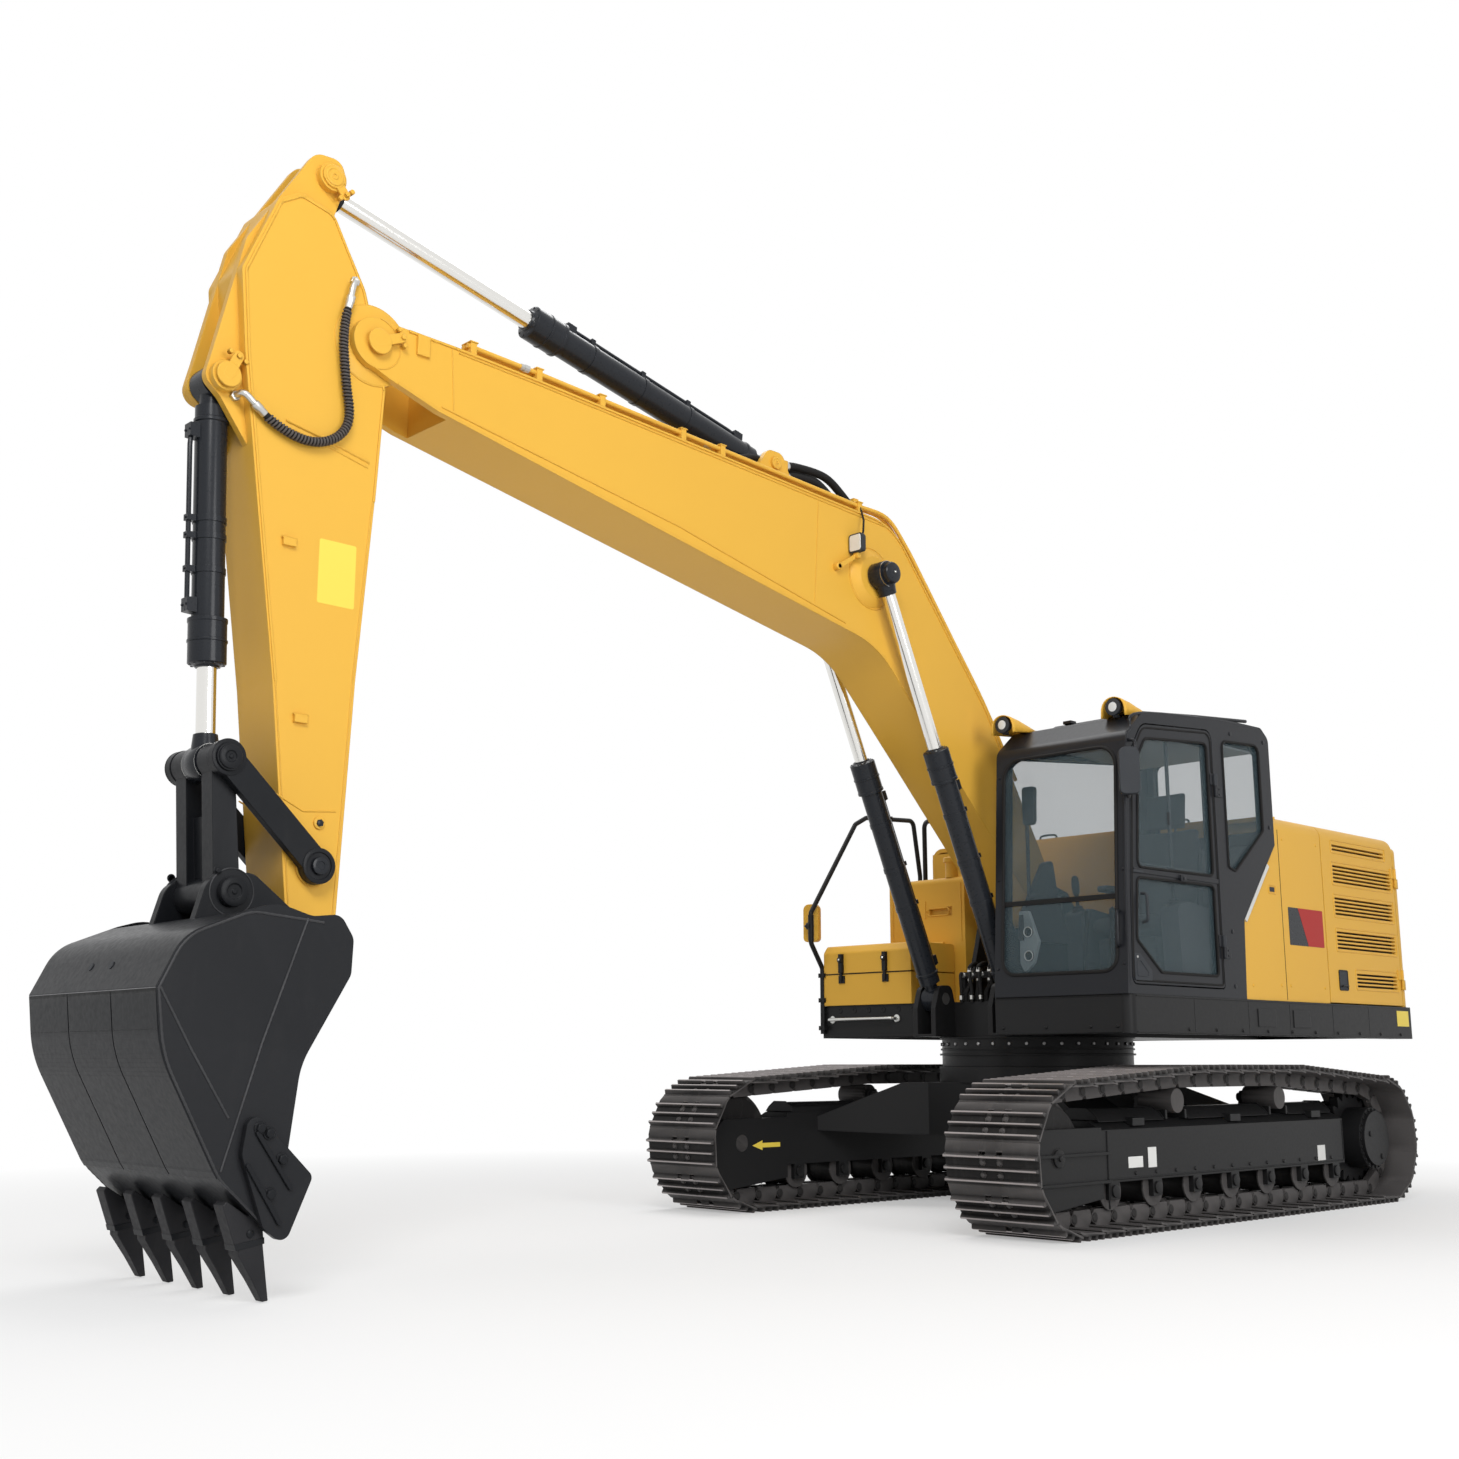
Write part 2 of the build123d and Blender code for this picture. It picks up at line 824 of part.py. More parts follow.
grille_rows = (
    # x low, x high, z low, z high
    (-2380.0, -1600.0, 2330.0, 2390.0),
    (-2460.0, -1590.0, 2110.0, 2240.0),
    (-2460.0, -1590.0, 1890.0, 2020.0),
    (-2460.0, -1590.0, 1660.0, 1790.0),
    (-2450.0, -1840.0, 1410.0, 1520.0),
)


def side_door(rows):
    section = wall_section(door_top_width, panel_bottom_z + door_gap)
    door = front_plate(section, door_rear_x, seam_two_x + panel_gap / 2 - door_swing_gap)
    for row in rows:
        door -= slots(*row)
    for z in hinge_heights:
        door += hinge_lug(door_rear_x - panel_gap / 2, body_side_y + hinge_radius + 2, z, 1)
    return door


def grille_door():
    return side_door(grille_rows)


def pump_door():
    return mirrored(side_door(grille_rows[1:3]))


def engine_hood():
    half, top, low = hood_half_width, panel_top_z + hood_rise, panel_top_z - hood_drop
    shape = [
        (-half, low),
        (-half, top - 50, 40),
        (-half + 60, top, 60),
        (half - 60, top, 60),
        (half, top - 50, 40),
        (half, low),
        (half - panel_plate, low),
        (half - panel_plate, top - 60),
        (half - 80, top - panel_plate),
        (-half + 80, top - panel_plate),
        (-half + panel_plate, top - 60),
        (-half + panel_plate, low),
    ]
    hood = front_plate(shape, hood_rear_x, hood_front_x)
    x, z = hood_axis()
    y = hood_half_width - 150
    for low_y in (-y + seat_gap, y - hinge_length - seat_gap):
        knuckle = disc((x, z), hinge_radius, low_y, low_y + hinge_length)
        hood += knuckle + block(x, x + 60, low_y, low_y + hinge_length, top - 1, top + hinge_leaf)
    return hood


def right_panel():
    # The wall between the tank and the pump door, its roof, and what closes them to the front.
    inner = hood_half_width + panel_gap
    front = tank_rear_x - panel_gap
    rear = hood_front_x + door_swing_gap
    wall = front_plate(wall_section(body_side_y - inner, panel_bottom_z), seam_two_x + panel_gap / 2, front)
    wall += block(front - panel_plate, front, inner, body_side_y - 2, panel_bottom_z, panel_top_z - 40)
    wall += block(rear, front, inner, inner + panel_plate, panel_bottom_z, panel_top_z)
    return mirrored(wall + roof_strip())


def engine_block():
    return block(-2000, -1350, -550, 600, deck_top_z + seat_gap, 2250)


def tanks():
    tank = block(tank_rear_x, tank_front_x, tank_right_y, tank_left_y, deck_top_z + seat_gap, tank_top_z)
    tank = fillet(tank.edges().filter_by(Axis.Y).group_by(Axis.Z)[-1], 40)
    tank -= block(
        tank_rear_x + tank_wall,
        tank_front_x - 2 * tank_wall,
        tank_right_y + tank_wall,
        tank_left_y - tank_wall,
        deck_top_z + tank_wall,
        tank_top_z - tank_wall,
    )
    recess = block(tank_front_x - 30, tank_front_x + 1, -760, -560, 1900, 1960)
    filler = upright(tank_front_x - 60, -600, 45, tank_top_z - 1, tank_top_z + 110)
    x, z = lid_axis()
    for low in lid_hinge_ys:
        filler += disc((x, z), hinge_radius, low - hinge_length, low - seat_gap)
        filler += block(tank_front_x - 1, x, low - hinge_length, low - seat_gap, z - hinge_radius, z + hinge_radius)
    return tank - recess + filler


lid_hinge_ys = (-1000.0, -700.0)


def lid_axis():
    return (toolbox_rear_x + 2, toolbox_top_z + hinge_radius + 2)


def toolbox():
    low, wall = deck_top_z + seat_gap, toolbox_wall
    box = block(toolbox_rear_x, toolbox_front_x, right_side_y + 20, toolbox_left_y, low, toolbox_lid_z)
    return box - block(
        toolbox_rear_x + wall,
        toolbox_front_x - wall,
        right_side_y + 20 + wall,
        toolbox_left_y - wall,
        low + wall,
        toolbox_lid_z + 1,
    )


def toolbox_lid():
    shape = [
        (toolbox_rear_x, toolbox_lid_z + door_gap),
        (toolbox_rear_x, toolbox_top_z, 20),
        (toolbox_front_x - 40, toolbox_top_z, 30),
        (toolbox_front_x, toolbox_top_z - 50, 30),
        (toolbox_front_x, toolbox_lid_z + door_gap),
    ]
    lid = side_plate(shape, right_side_y + 20, toolbox_left_y)
    wall = toolbox_wall
    inside = [
        (toolbox_rear_x + wall, toolbox_lid_z),
        (toolbox_rear_x + wall, toolbox_top_z - wall),
        (toolbox_front_x - 40 - wall, toolbox_top_z - wall),
        (toolbox_front_x - wall, toolbox_top_z - 50 - wall),
        (toolbox_front_x - wall, toolbox_lid_z),
    ]
    lid -= side_plate(inside, right_side_y + 20 + wall, toolbox_left_y - wall)
    for low in lid_hinge_ys:
        x, z = lid_axis()
        lid += disc((x, z), hinge_radius, low, low + hinge_length)
        lid += block(x, x + 50, low, low + hinge_length, toolbox_top_z - 25, toolbox_top_z + hinge_leaf)
    return lid


def handrail():
    # Stands in front of the deck's corner, passes beside the toolbox and ends on the deck.
    y = right_side_y + 20 - rail_radius - seat_gap
    x = deck_right_front_x + rail_radius + seat_gap
    points = [
        (x, y, deck_bottom_z + 30),
        (x, y, 1550),
        (730, y, 1720),
        (730, y, 1930),
        (250, y, 2600),
        (130, y, 2660),
        (-400, y, 2690),
        (-470, y, 2280),
        (-470, y, deck_top_z + seat_gap),
    ]
    return bent_tube(points, 50, rail_radius)


# Cab

cab_sides = (
    # x, z, rounding radius
    (1000.0, cab_floor_z + seat_gap, 0.0),
    (905.0, 2800.0, 90.0),
    (720.0, 2950.0, 60.0),
    (-180.0, 3045.0, 0.0),
    (-700.0, 3055.0, 60.0),
    (-790.0, 2990.0, 60.0),
    (-790.0, 2290.0, 0.0),
    (-345.0, 1780.0, 0.0),
    (-320.0, cab_floor_z + seat_gap, 0.0),
)
door_outline = (
    (-60.0, 1350.0, 20.0),
    (945.0, 1350.0, 40.0),
    (925.0, 1900.0, 0.0),
    (862.0, 2700.0, 120.0),
    (730.0, 2880.0, 120.0),
    (-60.0, 2945.0, 60.0),
)
upper_window = ((0.0, 2030.0, 40.0), (845.0, 2020.0, 40.0), (790.0, 2680.0, 80.0), (700.0, 2800.0, 80.0), (0.0, 2860.0, 40.0))
lower_window = ((0.0, 1420.0, 30.0), (640.0, 1420.0, 30.0), (885.0, 1600.0, 30.0), (855.0, 1960.0, 40.0), (0.0, 1970.0, 40.0))
quarter_window = (
    (-190.0, 2900.0, 50.0),
    (-650.0, 2930.0, 60.0),
    (-650.0, 2370.0, 40.0),
    (-270.0, 2080.0, 40.0),
    (-190.0, 2100.0, 20.0),
)


def cab_shell():
    shell = side_plate(cab_sides, cab_inner_y, cab_outer_y)
    inside = offset(outline(cab_sides), amount=-cab_wall, kind=Kind.INTERSECTION)
    shell -= side_solid(inside, cab_inner_y + cab_wall, cab_outer_y - cab_wall)
    opening = offset(outline(door_outline), amount=door_gap)
    shell -= side_solid(opening, cab_outer_y - cab_wall - 1, cab_outer_y + 1)
    shell -= side_plate(quarter_window, cab_outer_y - cab_wall - 1, cab_outer_y + 1)
    shell -= side_plate(right_window(), cab_inner_y - 1, cab_inner_y + cab_wall + 1)
    shell -= front_plate(windshield(), 800, 1050)
    shell -= front_plate(rear_window(), -800, -700)
    for z in cab_hinge_heights:
        shell += hinge_lug(*cab_hinge(), z - hinge_length, -1)
    return shell


cab_hinge_heights = (1600.0, 2600.0)


def cab_hinge():
    return (door_outline[0][0] - door_gap / 2, cab_outer_y + hinge_radius + 2)


def windshield():
    low, high = cab_inner_y + 60, cab_outer_y - 70
    return ((low, 1420.0, 90.0), (high, 1420.0, 90.0), (high, 2740.0, 120.0), (low, 2740.0, 120.0))


def rear_window():
    low, high = cab_inner_y + 90, cab_outer_y - 90
    return ((low, 2380.0, 40.0), (high, 2380.0, 40.0), (high, 2920.0, 60.0), (low, 2920.0, 60.0))


def right_window():
    return ((-640.0, 2300.0, 60.0), (-200.0, 1700.0, 60.0), (860.0, 1700.0, 60.0), (800.0, 2780.0, 90.0), (-640.0, 2920.0, 60.0))


def pane(corners, y_face, inward):
    face = offset(outline(corners), amount=-seat_gap)
    edges = sorted((y_face + inward * glass_depth, y_face + inward * (glass_depth + glass_thickness)))
    return side_solid(face, *edges)


def cab_glass():
    panes = [pane(quarter_window, cab_outer_y, -1), pane(right_window(), cab_inner_y, 1)]
    front = offset(outline(windshield()), amount=-seat_gap)
    lean = (1000.0 - 905.0) / (2800.0 - cab_floor_z)
    plane = Plane(origin=(0, 0, 0), x_dir=(0, 1, 0), z_dir=(1, 0, 0))
    column = extrude(plane * front, 1200)
    sheet = [
        (1000 - glass_depth - lean * (1300 - cab_floor_z), 1300),
        (1000 - glass_depth - lean * (2790 - cab_floor_z), 2790),
        (1000 - glass_depth - glass_thickness - lean * (2790 - cab_floor_z), 2790),
        (1000 - glass_depth - glass_thickness - lean * (1300 - cab_floor_z), 1300),
    ]
    panes.append(column & side_plate(sheet, cab_inner_y, cab_outer_y))
    rear = offset(outline(rear_window()), amount=-seat_gap)
    x = -790 + glass_depth
    rear_plane = Plane(origin=(x, 0, 0), x_dir=(0, 1, 0), z_dir=(1, 0, 0))
    panes.append(extrude(rear_plane * rear, glass_thickness))
    return Compound(panes)


def cab_door():
    door = side_plate(door_outline, cab_outer_y - cab_wall, cab_outer_y)
    for window in (upper_window, lower_window):
        door -= side_plate(window, cab_outer_y - cab_wall - 1, cab_outer_y + 1)
    for z in cab_hinge_heights:
        door += hinge_lug(*cab_hinge(), z, 1)
    return door


def cab_door_glass():
    return Compound([pane(upper_window, cab_outer_y, -1), pane(lower_window, cab_outer_y, -1)])


def cab_seat():
    y = (cab_inner_y + cab_outer_y) / 2
    floor = cab_floor_z + cab_wall + 2 * seat_gap
    seat = block(-150, 250, y - 190, y + 190, floor, floor + 330)
    seat += block(-210, 290, y - 250, y + 250, floor + 330, floor + 460)
    back = side_plate([(-210, floor + 440), (-110, floor + 440), (-190, floor + 1050, 40), (-290, floor + 1050, 40)], y - 230, y + 230)
    rest = side_plate([(-280, floor + 1040), (-200, floor + 1040), (-215, floor + 1280, 30), (-290, floor + 1280, 30)], y - 140, y + 140)
    return seat + back + rest


def cab_controls():
    floor = cab_floor_z + cab_wall + 2 * seat_gap
    y = (cab_inner_y + cab_outer_y) / 2
    parts = []
    for side in (-1, 1):
        centre = y + side * 345
        box = block(-120, 330, centre - 65, centre + 65, floor, floor + 520)
        box += along((260, centre, floor + 519), (285, centre, floor + 700), 24)
        parts.append(box)
    for side in (-1, 1):
        lever = along((620, y + side * 90, floor + 20), (540, y + side * 90, floor + 560), 14)
        pedal = block(560, 760, y + side * 90 - 60, y + side * 90 + 60, floor, floor + 40)
        parts.append(lever + pedal)
    return Compound(parts)


# Front


def bored(shape, places):
    for centre, radius in places:
        shape -= disc(centre, radius, -800, 800)
    return shape


arm_foot_ear = arm_barrel_radius + side_gap


def boom_outline():
    direction = between(boom_foot, (980.0, 2980.0), 1000.0)
    rear = beside(boom_foot, direction, boom_foot_radius - 8)
    tip = boom_tip
    return (
        (boom_foot[0] + rear[0], boom_foot[1] + rear[1]),
        (700.0, 3135.0, 900.0),
        (1610.0, 4187.0, 420.0),
        (4370.0, 4330.0, 0.0),
        (4880.0, 4350.0, 300.0),
        (tip[0] + 20, tip[1] + boom_tip_radius - 2),
        (tip[0] + 60, tip[1] - boom_tip_radius + 20),
        (5240.0, 4075.0, 200.0),
        (4970.0, 3990.0, 0.0),
        (1775.0, 3386.0, 650.0),
        (boom_foot[0] - rear[0], boom_foot[1] - rear[1]),
    )


def boom():
    face = outline(boom_outline())
    body = side_solid(face, -boom_half_width, boom_half_width)
    body += disc(boom_foot, boom_foot_radius, -boom_half_width, boom_half_width)
    body += disc(boom_tip, boom_tip_radius, -boom_half_width, boom_half_width)
    inside = offset(face, amount=-boom_plate)
    region = Pos(0, 0) * Rectangle(boom_box_end_x - boom_plate - 400, 6000, align=(Align.MIN, Align.MIN))
    region = Pos(400, 0) * region
    body -= side_solid(inside & region, -boom_half_width + boom_plate, boom_half_width - boom_plate)
    fork = boom_half_width - boom_cheek
    body -= block(boom_box_end_x, boom_tip[0] + 400, -fork, fork, 3500, 4800)
    boss_outer = boom_cylinder_y - eye_half - side_gap
    body += both_sides(disc(boom_cylinder_top, boom_boss_radius, boom_half_width, boss_outer))
    x, z = arm_cylinder_foot
    lug = [(x - 170, z - 140), (x - 60, z + 75, 60), (x + 60, z + 75, 60), (x + 190, z - 125)]
    ear = side_plate(lug, arm_foot_ear, arm_foot_ear + foot_lug_plate)
    ear &= side_solid(outline([(x - 300, 4215), (x - 300, 4600), (x + 300, 4600), (x + 300, 4240)]), -300, 300)
    body += both_sides(ear)
    return bored(body, ((boom_foot, foot_pin_radius + pin_gap), (boom_tip, tip_pin_radius + pin_gap))) - disc(
        arm_cylinder_foot, cylinder_pin_radius + pin_gap, -300, 300
    )


def boom_pins():
    reach = boom_half_width + 20
    tip = disc(boom_tip, tip_pin_radius, -reach, reach)
    reach = arm_foot_ear + foot_lug_plate + 12
    foot = disc(arm_cylinder_foot, cylinder_pin_radius, -reach, reach)
    return Compound([tip, foot])


def cylinder_barrel(foot, top, y, radius, eye_width, length, bore):
    # Eye, tube with its wide gland, hollow for the rod.
    neck = between(foot, top, eye_radius * 0.7)
    start = between(foot, top, eye_radius + 35)
    gland = between(foot, top, length - gland_length)
    end = between(foot, top, length)
    barrel = disc(foot, eye_radius, y - eye_width, y + eye_width)
    barrel += along((neck[0], y, neck[1]), (start[0], y, start[1]), eye_width - 8)
    barrel += along((start[0], y, start[1]), (end[0], y, end[1]), radius)
    barrel += along((gland[0], y, gland[1]), (end[0], y, end[1]), radius + gland_extra)
    inside = between(foot, top, eye_radius + barrel_floor)
    barrel -= along((inside[0], y, inside[1]), (end[0], y, end[1]), bore + pin_gap)
    return barrel - disc(foot, cylinder_pin_radius + pin_gap, y - eye_width - 1, y + eye_width + 1)


def cylinder_rod(foot, top, y, radius, eye_width, inner_length):
    span = math.dist(foot, top)
    start = between(foot, top, inner_length)
    end = between(foot, top, span - eye_radius * 0.5)
    rod = along((start[0], y, start[1]), (end[0], y, end[1]), radius)
    return rod + disc(top, rod_eye_radius, y - eye_width, y + eye_width)


boom_barrel_length = 1610.0
arm_barrel_length = 1760.0
bucket_barrel_length = 1270.0


def boom_cylinder_barrels():
    return both_sides(
        cylinder_barrel(
            boom_cylinder_foot, boom_cylinder_top, boom_cylinder_y, boom_barrel_radius, eye_half, boom_barrel_length, boom_rod_radius
        )
    )


def boom_cylinder_rods():
    rod = cylinder_rod(boom_cylinder_foot, boom_cylinder_top, boom_cylinder_y, boom_rod_radius, eye_half, 1000)
    rod += disc(boom_cylinder_top, 62, boom_cylinder_y, boom_cylinder_y + eye_half + 40)
    return both_sides(rod)


def arm_cylinder_barrel():
    return cylinder_barrel(
        arm_cylinder_foot, arm_cylinder_top, 0, arm_barrel_radius, arm_barrel_radius - 10, arm_barrel_length, arm_rod_radius
    )


def arm_cylinder_rod():
    return cylinder_rod(arm_cylinder_foot, arm_cylinder_top, 0, arm_rod_radius, rod_eye_half, 1230)


def bucket_cylinder_barrel():
    return cylinder_barrel(
        bucket_cylinder_foot, link_pin, 0, bucket_barrel_radius, rod_eye_half, bucket_barrel_length, bucket_rod_radius
    )


def bucket_cylinder_rod():
    return cylinder_rod(bucket_cylinder_foot, link_pin, 0, bucket_rod_radius, rod_eye_half, 235)


arm_head = (
    # share of the way from the arm cylinder's pin to the bucket cylinder's, step to the front, radius
    (0.327, -123.0, 0.0),
    (-0.044, -80.0, 60.0),
    (-0.109, -10.0, 60.0),
    (-0.058, 116.0, 90.0),
    (0.454, 202.0, 90.0),
    (0.936, 97.0, 60.0),
    (1.043, 76.0, 60.0),
    (1.071, -25.0, 60.0),
    (1.170, -227.0, 0.0),
    (0.714, -17.0, 0.0),
)


def arm():
    sides = (
        (5240.0, 4075.0, 150.0),
        (5270.0, 3470.0),
        (5330.0, 2610.0),
        (bucket_pin[0] - arm_end_radius + 4, bucket_pin[1] + 20),
        (bucket_pin[0] + arm_end_radius - 4, bucket_pin[1] + 20),
        (5740.0, 2540.0),
        (5860.0, 3330.0),
        (5960.0, 4010.0),
        (6000.0, 4400.0, 60.0),
        (5840.0, 4800.0, 60.0),
        (5730.0, 4870.0, 60.0),
        (5560.0, 4830.0, 80.0),
        (5370.0, 4500.0, 200.0),
    )
    face = outline(sides)
    body = side_solid(face, -arm_half_width, arm_half_width)
    body += disc(bucket_pin, arm_end_radius, -arm_half_width, arm_half_width)
    inside = offset(face, amount=-arm_plate)
    region = Pos(5000, 1870) * Rectangle(1200, 2880, align=(Align.MIN, Align.MIN))
    hollow = side_solid(inside & region, -arm_half_width + arm_plate, arm_half_width - arm_plate)
    hollow -= disc(boom_tip, arm_hub_radius - 40, -arm_half_width, arm_half_width)
    body -= hollow
    body += disc(boom_tip, arm_hub_radius - 40, -arm_hub_half, arm_hub_half)
    head = []
    for share, step, radius in arm_head:
        reach = share * math.dist(arm_cylinder_top, bucket_cylinder_foot)
        place = between(arm_cylinder_top, bucket_cylinder_foot, reach)
        across = beside(arm_cylinder_top, bucket_cylinder_foot, step)
        head.append((place[0] + across[0], place[1] + across[1], radius))
    lug = side_plate(head, lug_inner, lug_outer)
    lug += disc(arm_cylinder_top, 70, lug_outer, lug_boss_outer) + disc(bucket_cylinder_foot, 70, lug_outer, lug_boss_outer)
    body += both_sides(lug)
    body -= disc(arm_cylinder_top, 260, -lug_inner, lug_inner)
    body -= disc(bucket_cylinder_foot, 130, -lug_inner, lug_inner)
    body += both_sides(disc(rocker_pin, rocker_hub_radius, arm_half_width - 5, arm_half_width + 6))
    return bored(
        body,
        (
            (boom_tip, tip_pin_radius + pin_gap),
            (bucket_pin, tip_pin_radius + pin_gap),
            (rocker_pin, link_pin_radius + pin_gap),
            (bucket_cylinder_foot, cylinder_pin_radius + pin_gap),
        ),
    )


rocker_inner = arm_half_width + side_gap + 6


def arm_pins():
    outer = rocker_inner + rocker_bar
    rocker = disc(rocker_pin, link_pin_radius, -outer - 14, outer + 14)
    head = disc(bucket_cylinder_foot, cylinder_pin_radius, -lug_boss_outer - 10, lug_boss_outer + 10)
    return Compound([rocker, head])


def rocker_links():
    # Two bars from the arm to the link's upper pin, and the pin itself outside the rod's eye.
    low, high = rocker_inner, rocker_inner + rocker_bar
    across = beside(rocker_pin, link_pin, rocker_width)
    bar = side_plate(
        [
            (rocker_pin[0] + across[0], rocker_pin[1] + across[1]),
            (link_pin[0] + across[0], link_pin[1] + across[1]),
            (link_pin[0] - across[0], link_pin[1] - across[1]),
            (rocker_pin[0] - across[0], rocker_pin[1] - across[1]),
        ],
        low,
        high,
    )
    bar += disc(rocker_pin, rocker_eye_radius, low, high) + disc(link_pin, rocker_eye_radius, low, high)
    bar -= disc(rocker_pin, link_pin_radius + pin_gap, low - 1, high + 1)
    bar += disc(link_pin, link_pin_radius, link_lug_inner, high + 16)
    bar += disc(link_pin, rocker_eye_radius - 18, high, high + 16)
    return both_sides(bar)


def bucket_link():
    # Two upper lugs, two beams with a web, one wide lower boss.
    outer = rocker_inner - side_gap
    across = beside(link_pin, bucket_link_pin, 52)
    low_across = beside(link_pin, bucket_link_pin, 60)
    start = between(link_pin, bucket_link_pin, 40)
    beam = side_plate(
        [
            (link_pin[0] + across[0], link_pin[1] + across[1]),
            (bucket_link_pin[0] + low_across[0], bucket_link_pin[1] + low_across[1]),
            (bucket_link_pin[0] - low_across[0], bucket_link_pin[1] - low_across[1]),
            (link_pin[0] - across[0], link_pin[1] - across[1]),
        ],
        link_lug_inner,
        outer,
    )
    beam += disc(link_pin, link_end_radius, link_lug_inner, outer)
    beam -= disc(link_pin, link_pin_radius + pin_gap, link_lug_inner - 1, outer + 1)
    body = both_sides(beam)
    web_start = between(link_pin, bucket_link_pin, 230)
    web_across = beside(link_pin, bucket_link_pin, 22)
    body += side_plate(
        [
            (web_start[0] + web_across[0], web_start[1] + web_across[1]),
            (bucket_link_pin[0] + web_across[0], bucket_link_pin[1] + web_across[1]),
            (bucket_link_pin[0] - web_across[0], bucket_link_pin[1] - web_across[1]),
            (web_start[0] - web_across[0], web_start[1] - web_across[1]),
        ],
        -link_lug_inner - 1,
        link_lug_inner + 1,
    )
    body += disc(bucket_link_pin, link_end_radius, -outer, outer)
    return body


def bucket_back():
    # The wrapper's outer line in side view, from the lip round the back to the top's rear end.
    return (
        (5900.0, 300.0),
        (6095.0, 480.0, 200.0),
        (6350.0, 940.0, 500.0),
        (6385.0, 1190.0, 0.0),
        (6290.0, 1390.0, 200.0),
        (6020.0, 1500.0, 200.0),
        (5700.0, 1473.0),
    )


def bucket_shell():
    back = bucket_back()
    sides = back[:-1] + (
        (5900.0, 1535.0, 200.0),
        (5740.0, 1490.0, 100.0),
        (5610.0, 1505.0, 60.0),
        (5545.0, 1410.0, 60.0),
        (5550.0, 1260.0, 60.0),
        (5760.0, 900.0, 300.0),
        (5800.0, 560.0, 100.0),
        (5790.0, 400.0),
    )
    side = side_plate(sides, bucket_half_width - bucket_side_plate, bucket_half_width)
    low = arm_half_width + ear_gap
    ear = side_plate(
        [
            (bucket_pin[0] - 60, bucket_pin[1] - 90, 60),
            (bucket_pin[0] - 60, bucket_pin[1] + 100, 60),
            (bucket_link_pin[0] - 90, bucket_link_pin[1] + 90, 90),
            (bucket_link_pin[0] + 105, bucket_link_pin[1] + 60, 90),
            (6060.0, 1470.0),
            (5700.0, 1460.0),
            (5660.0, 1300.0),
        ],
        low,
        low + ear_plate,
    )
    ear += disc(bucket_pin, ear_radius, low, low + ear_plate)
    ear += disc(bucket_link_pin, ear_radius - 20, low, low + ear_plate)
    ear -= disc(bucket_pin, tip_pin_radius + pin_gap, low - 1, low + ear_plate + 1)
    return wrapper() + both_sides(side) + both_sides(ear)


def wrapper():
    # The bent plate that closes the bucket from the lip to the top.
    back = bucket_back()
    path = FilletPolyline(*[corner[:2] for corner in back], radius=[corner[2] for corner in back[1:-1]])
    band = make_face(offset(path, amount=-bucket_shell_plate, side=Side.LEFT, kind=Kind.INTERSECTION).edges())
    return side_solid(band, -bucket_half_width, bucket_half_width)


def bucket_pins():
    low = arm_half_width + ear_gap
    outer = low + ear_plate
    hinge = disc(bucket_pin, tip_pin_radius, -outer - 14, outer + 14)
    cap = disc(bucket_link_pin, 64, outer + seat_gap, outer + 18)
    return Compound([hinge, cap, mirrored(cap)])


def bucket_teeth():
    # Lip bar with one adapter and tooth at each station.
    teeth = []
    shape = [
        (5905.0, 330.0),
        (5830.0, 5.0),
        (5862.0, 3.0),
        (6010.0, 200.0),
        (6060.0, 410.0),
    ]
    for number in range(tooth_count):
        y = -tooth_span / 2 + tooth_span * number / (tooth_count - 1)
        tooth = side_plate(shape, y - tooth_width / 2, y + tooth_width / 2)
        teeth.append(tooth - wrapper())
    return Compound(teeth)


def side_cutters():
    plate = side_plate(
        [(5985.0, 745.0, 40.0), (5700.0, 470.0, 30.0), (5810.0, 215.0, 40.0), (5905.0, 285.0, 20.0), (6010.0, 560.0, 60.0)],
        bucket_half_width + seat_gap,
        bucket_half_width + cutter_plate,
    )
    return both_sides(plate)


nodes = {
    "car_body": car_body,
    "towing_eye": towing_eye,
    "track_frame_left": track_frame,
    "track_frame_right": lambda: mirrored(track_frame()),
    "track_left": track,
    "track_right": lambda: mirrored(track()),
    "idler_left": idler,
    "idler_right": lambda: mirrored(idler()),
    "sprocket_left": sprocket,
    "sprocket_right": lambda: mirrored(sprocket()),
    "bottom_rollers": bottom_rollers,
    "carrier_rollers": carrier_rollers,
    "swing_ring": swing_ring,
    "deck_frame": deck_frame,
    "boom_brackets": boom_brackets,
    "boom_foot_pins": boom_foot_pins,
    "counterweight": counterweight,
    "lifting_eyes": lifting_eyes,
    "left_panel": left_panel,
    "grille_door": grille_door,
    "engine_hood": engine_hood,
    "right_panel": right_panel,
    "pump_door": pump_door,
    "engine_block": engine_block,
    "tanks": tanks,
    "toolbox": toolbox,
    "toolbox_lid": toolbox_lid,
    "handrail": handrail,
    "cab_shell": cab_shell,
    "cab_glass": cab_glass,
    "cab_door": cab_door,
    "cab_door_glass": cab_door_glass,
    "cab_seat": cab_seat,
    "cab_controls": cab_controls,
    "boom": boom,
    "boom_pins": boom_pins,
    "boom_cylinder_barrels": boom_cylinder_barrels,
    "boom_cylinder_rods": boom_cylinder_rods,
    "arm": arm,
    "arm_pins": arm_pins,
    "arm_cylinder_barrel": arm_cylinder_barrel,
    "arm_cylinder_rod": arm_cylinder_rod,
    "bucket_cylinder_barrel": bucket_cylinder_barrel,
    "bucket_cylinder_rod": bucket_cylinder_rod,
    "rocker_links": rocker_links,
    "bucket_link": bucket_link,
    "bucket_shell": bucket_shell,
    "bucket_pins": bucket_pins,
    "bucket_teeth": bucket_teeth,
    "side_cutters": side_cutters,
}

bucket_back_x = 6385.0
row_shift_x = -(weight_rear_x + bucket_back_x) / 2

for name, build in nodes.items():
    export_step(Pos(row_shift_x, 0, 0) * build(), f"parts/{name}.step")
    print(name)
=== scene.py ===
import json
import math

import bmesh
import bpy
from mathutils import Matrix, Vector


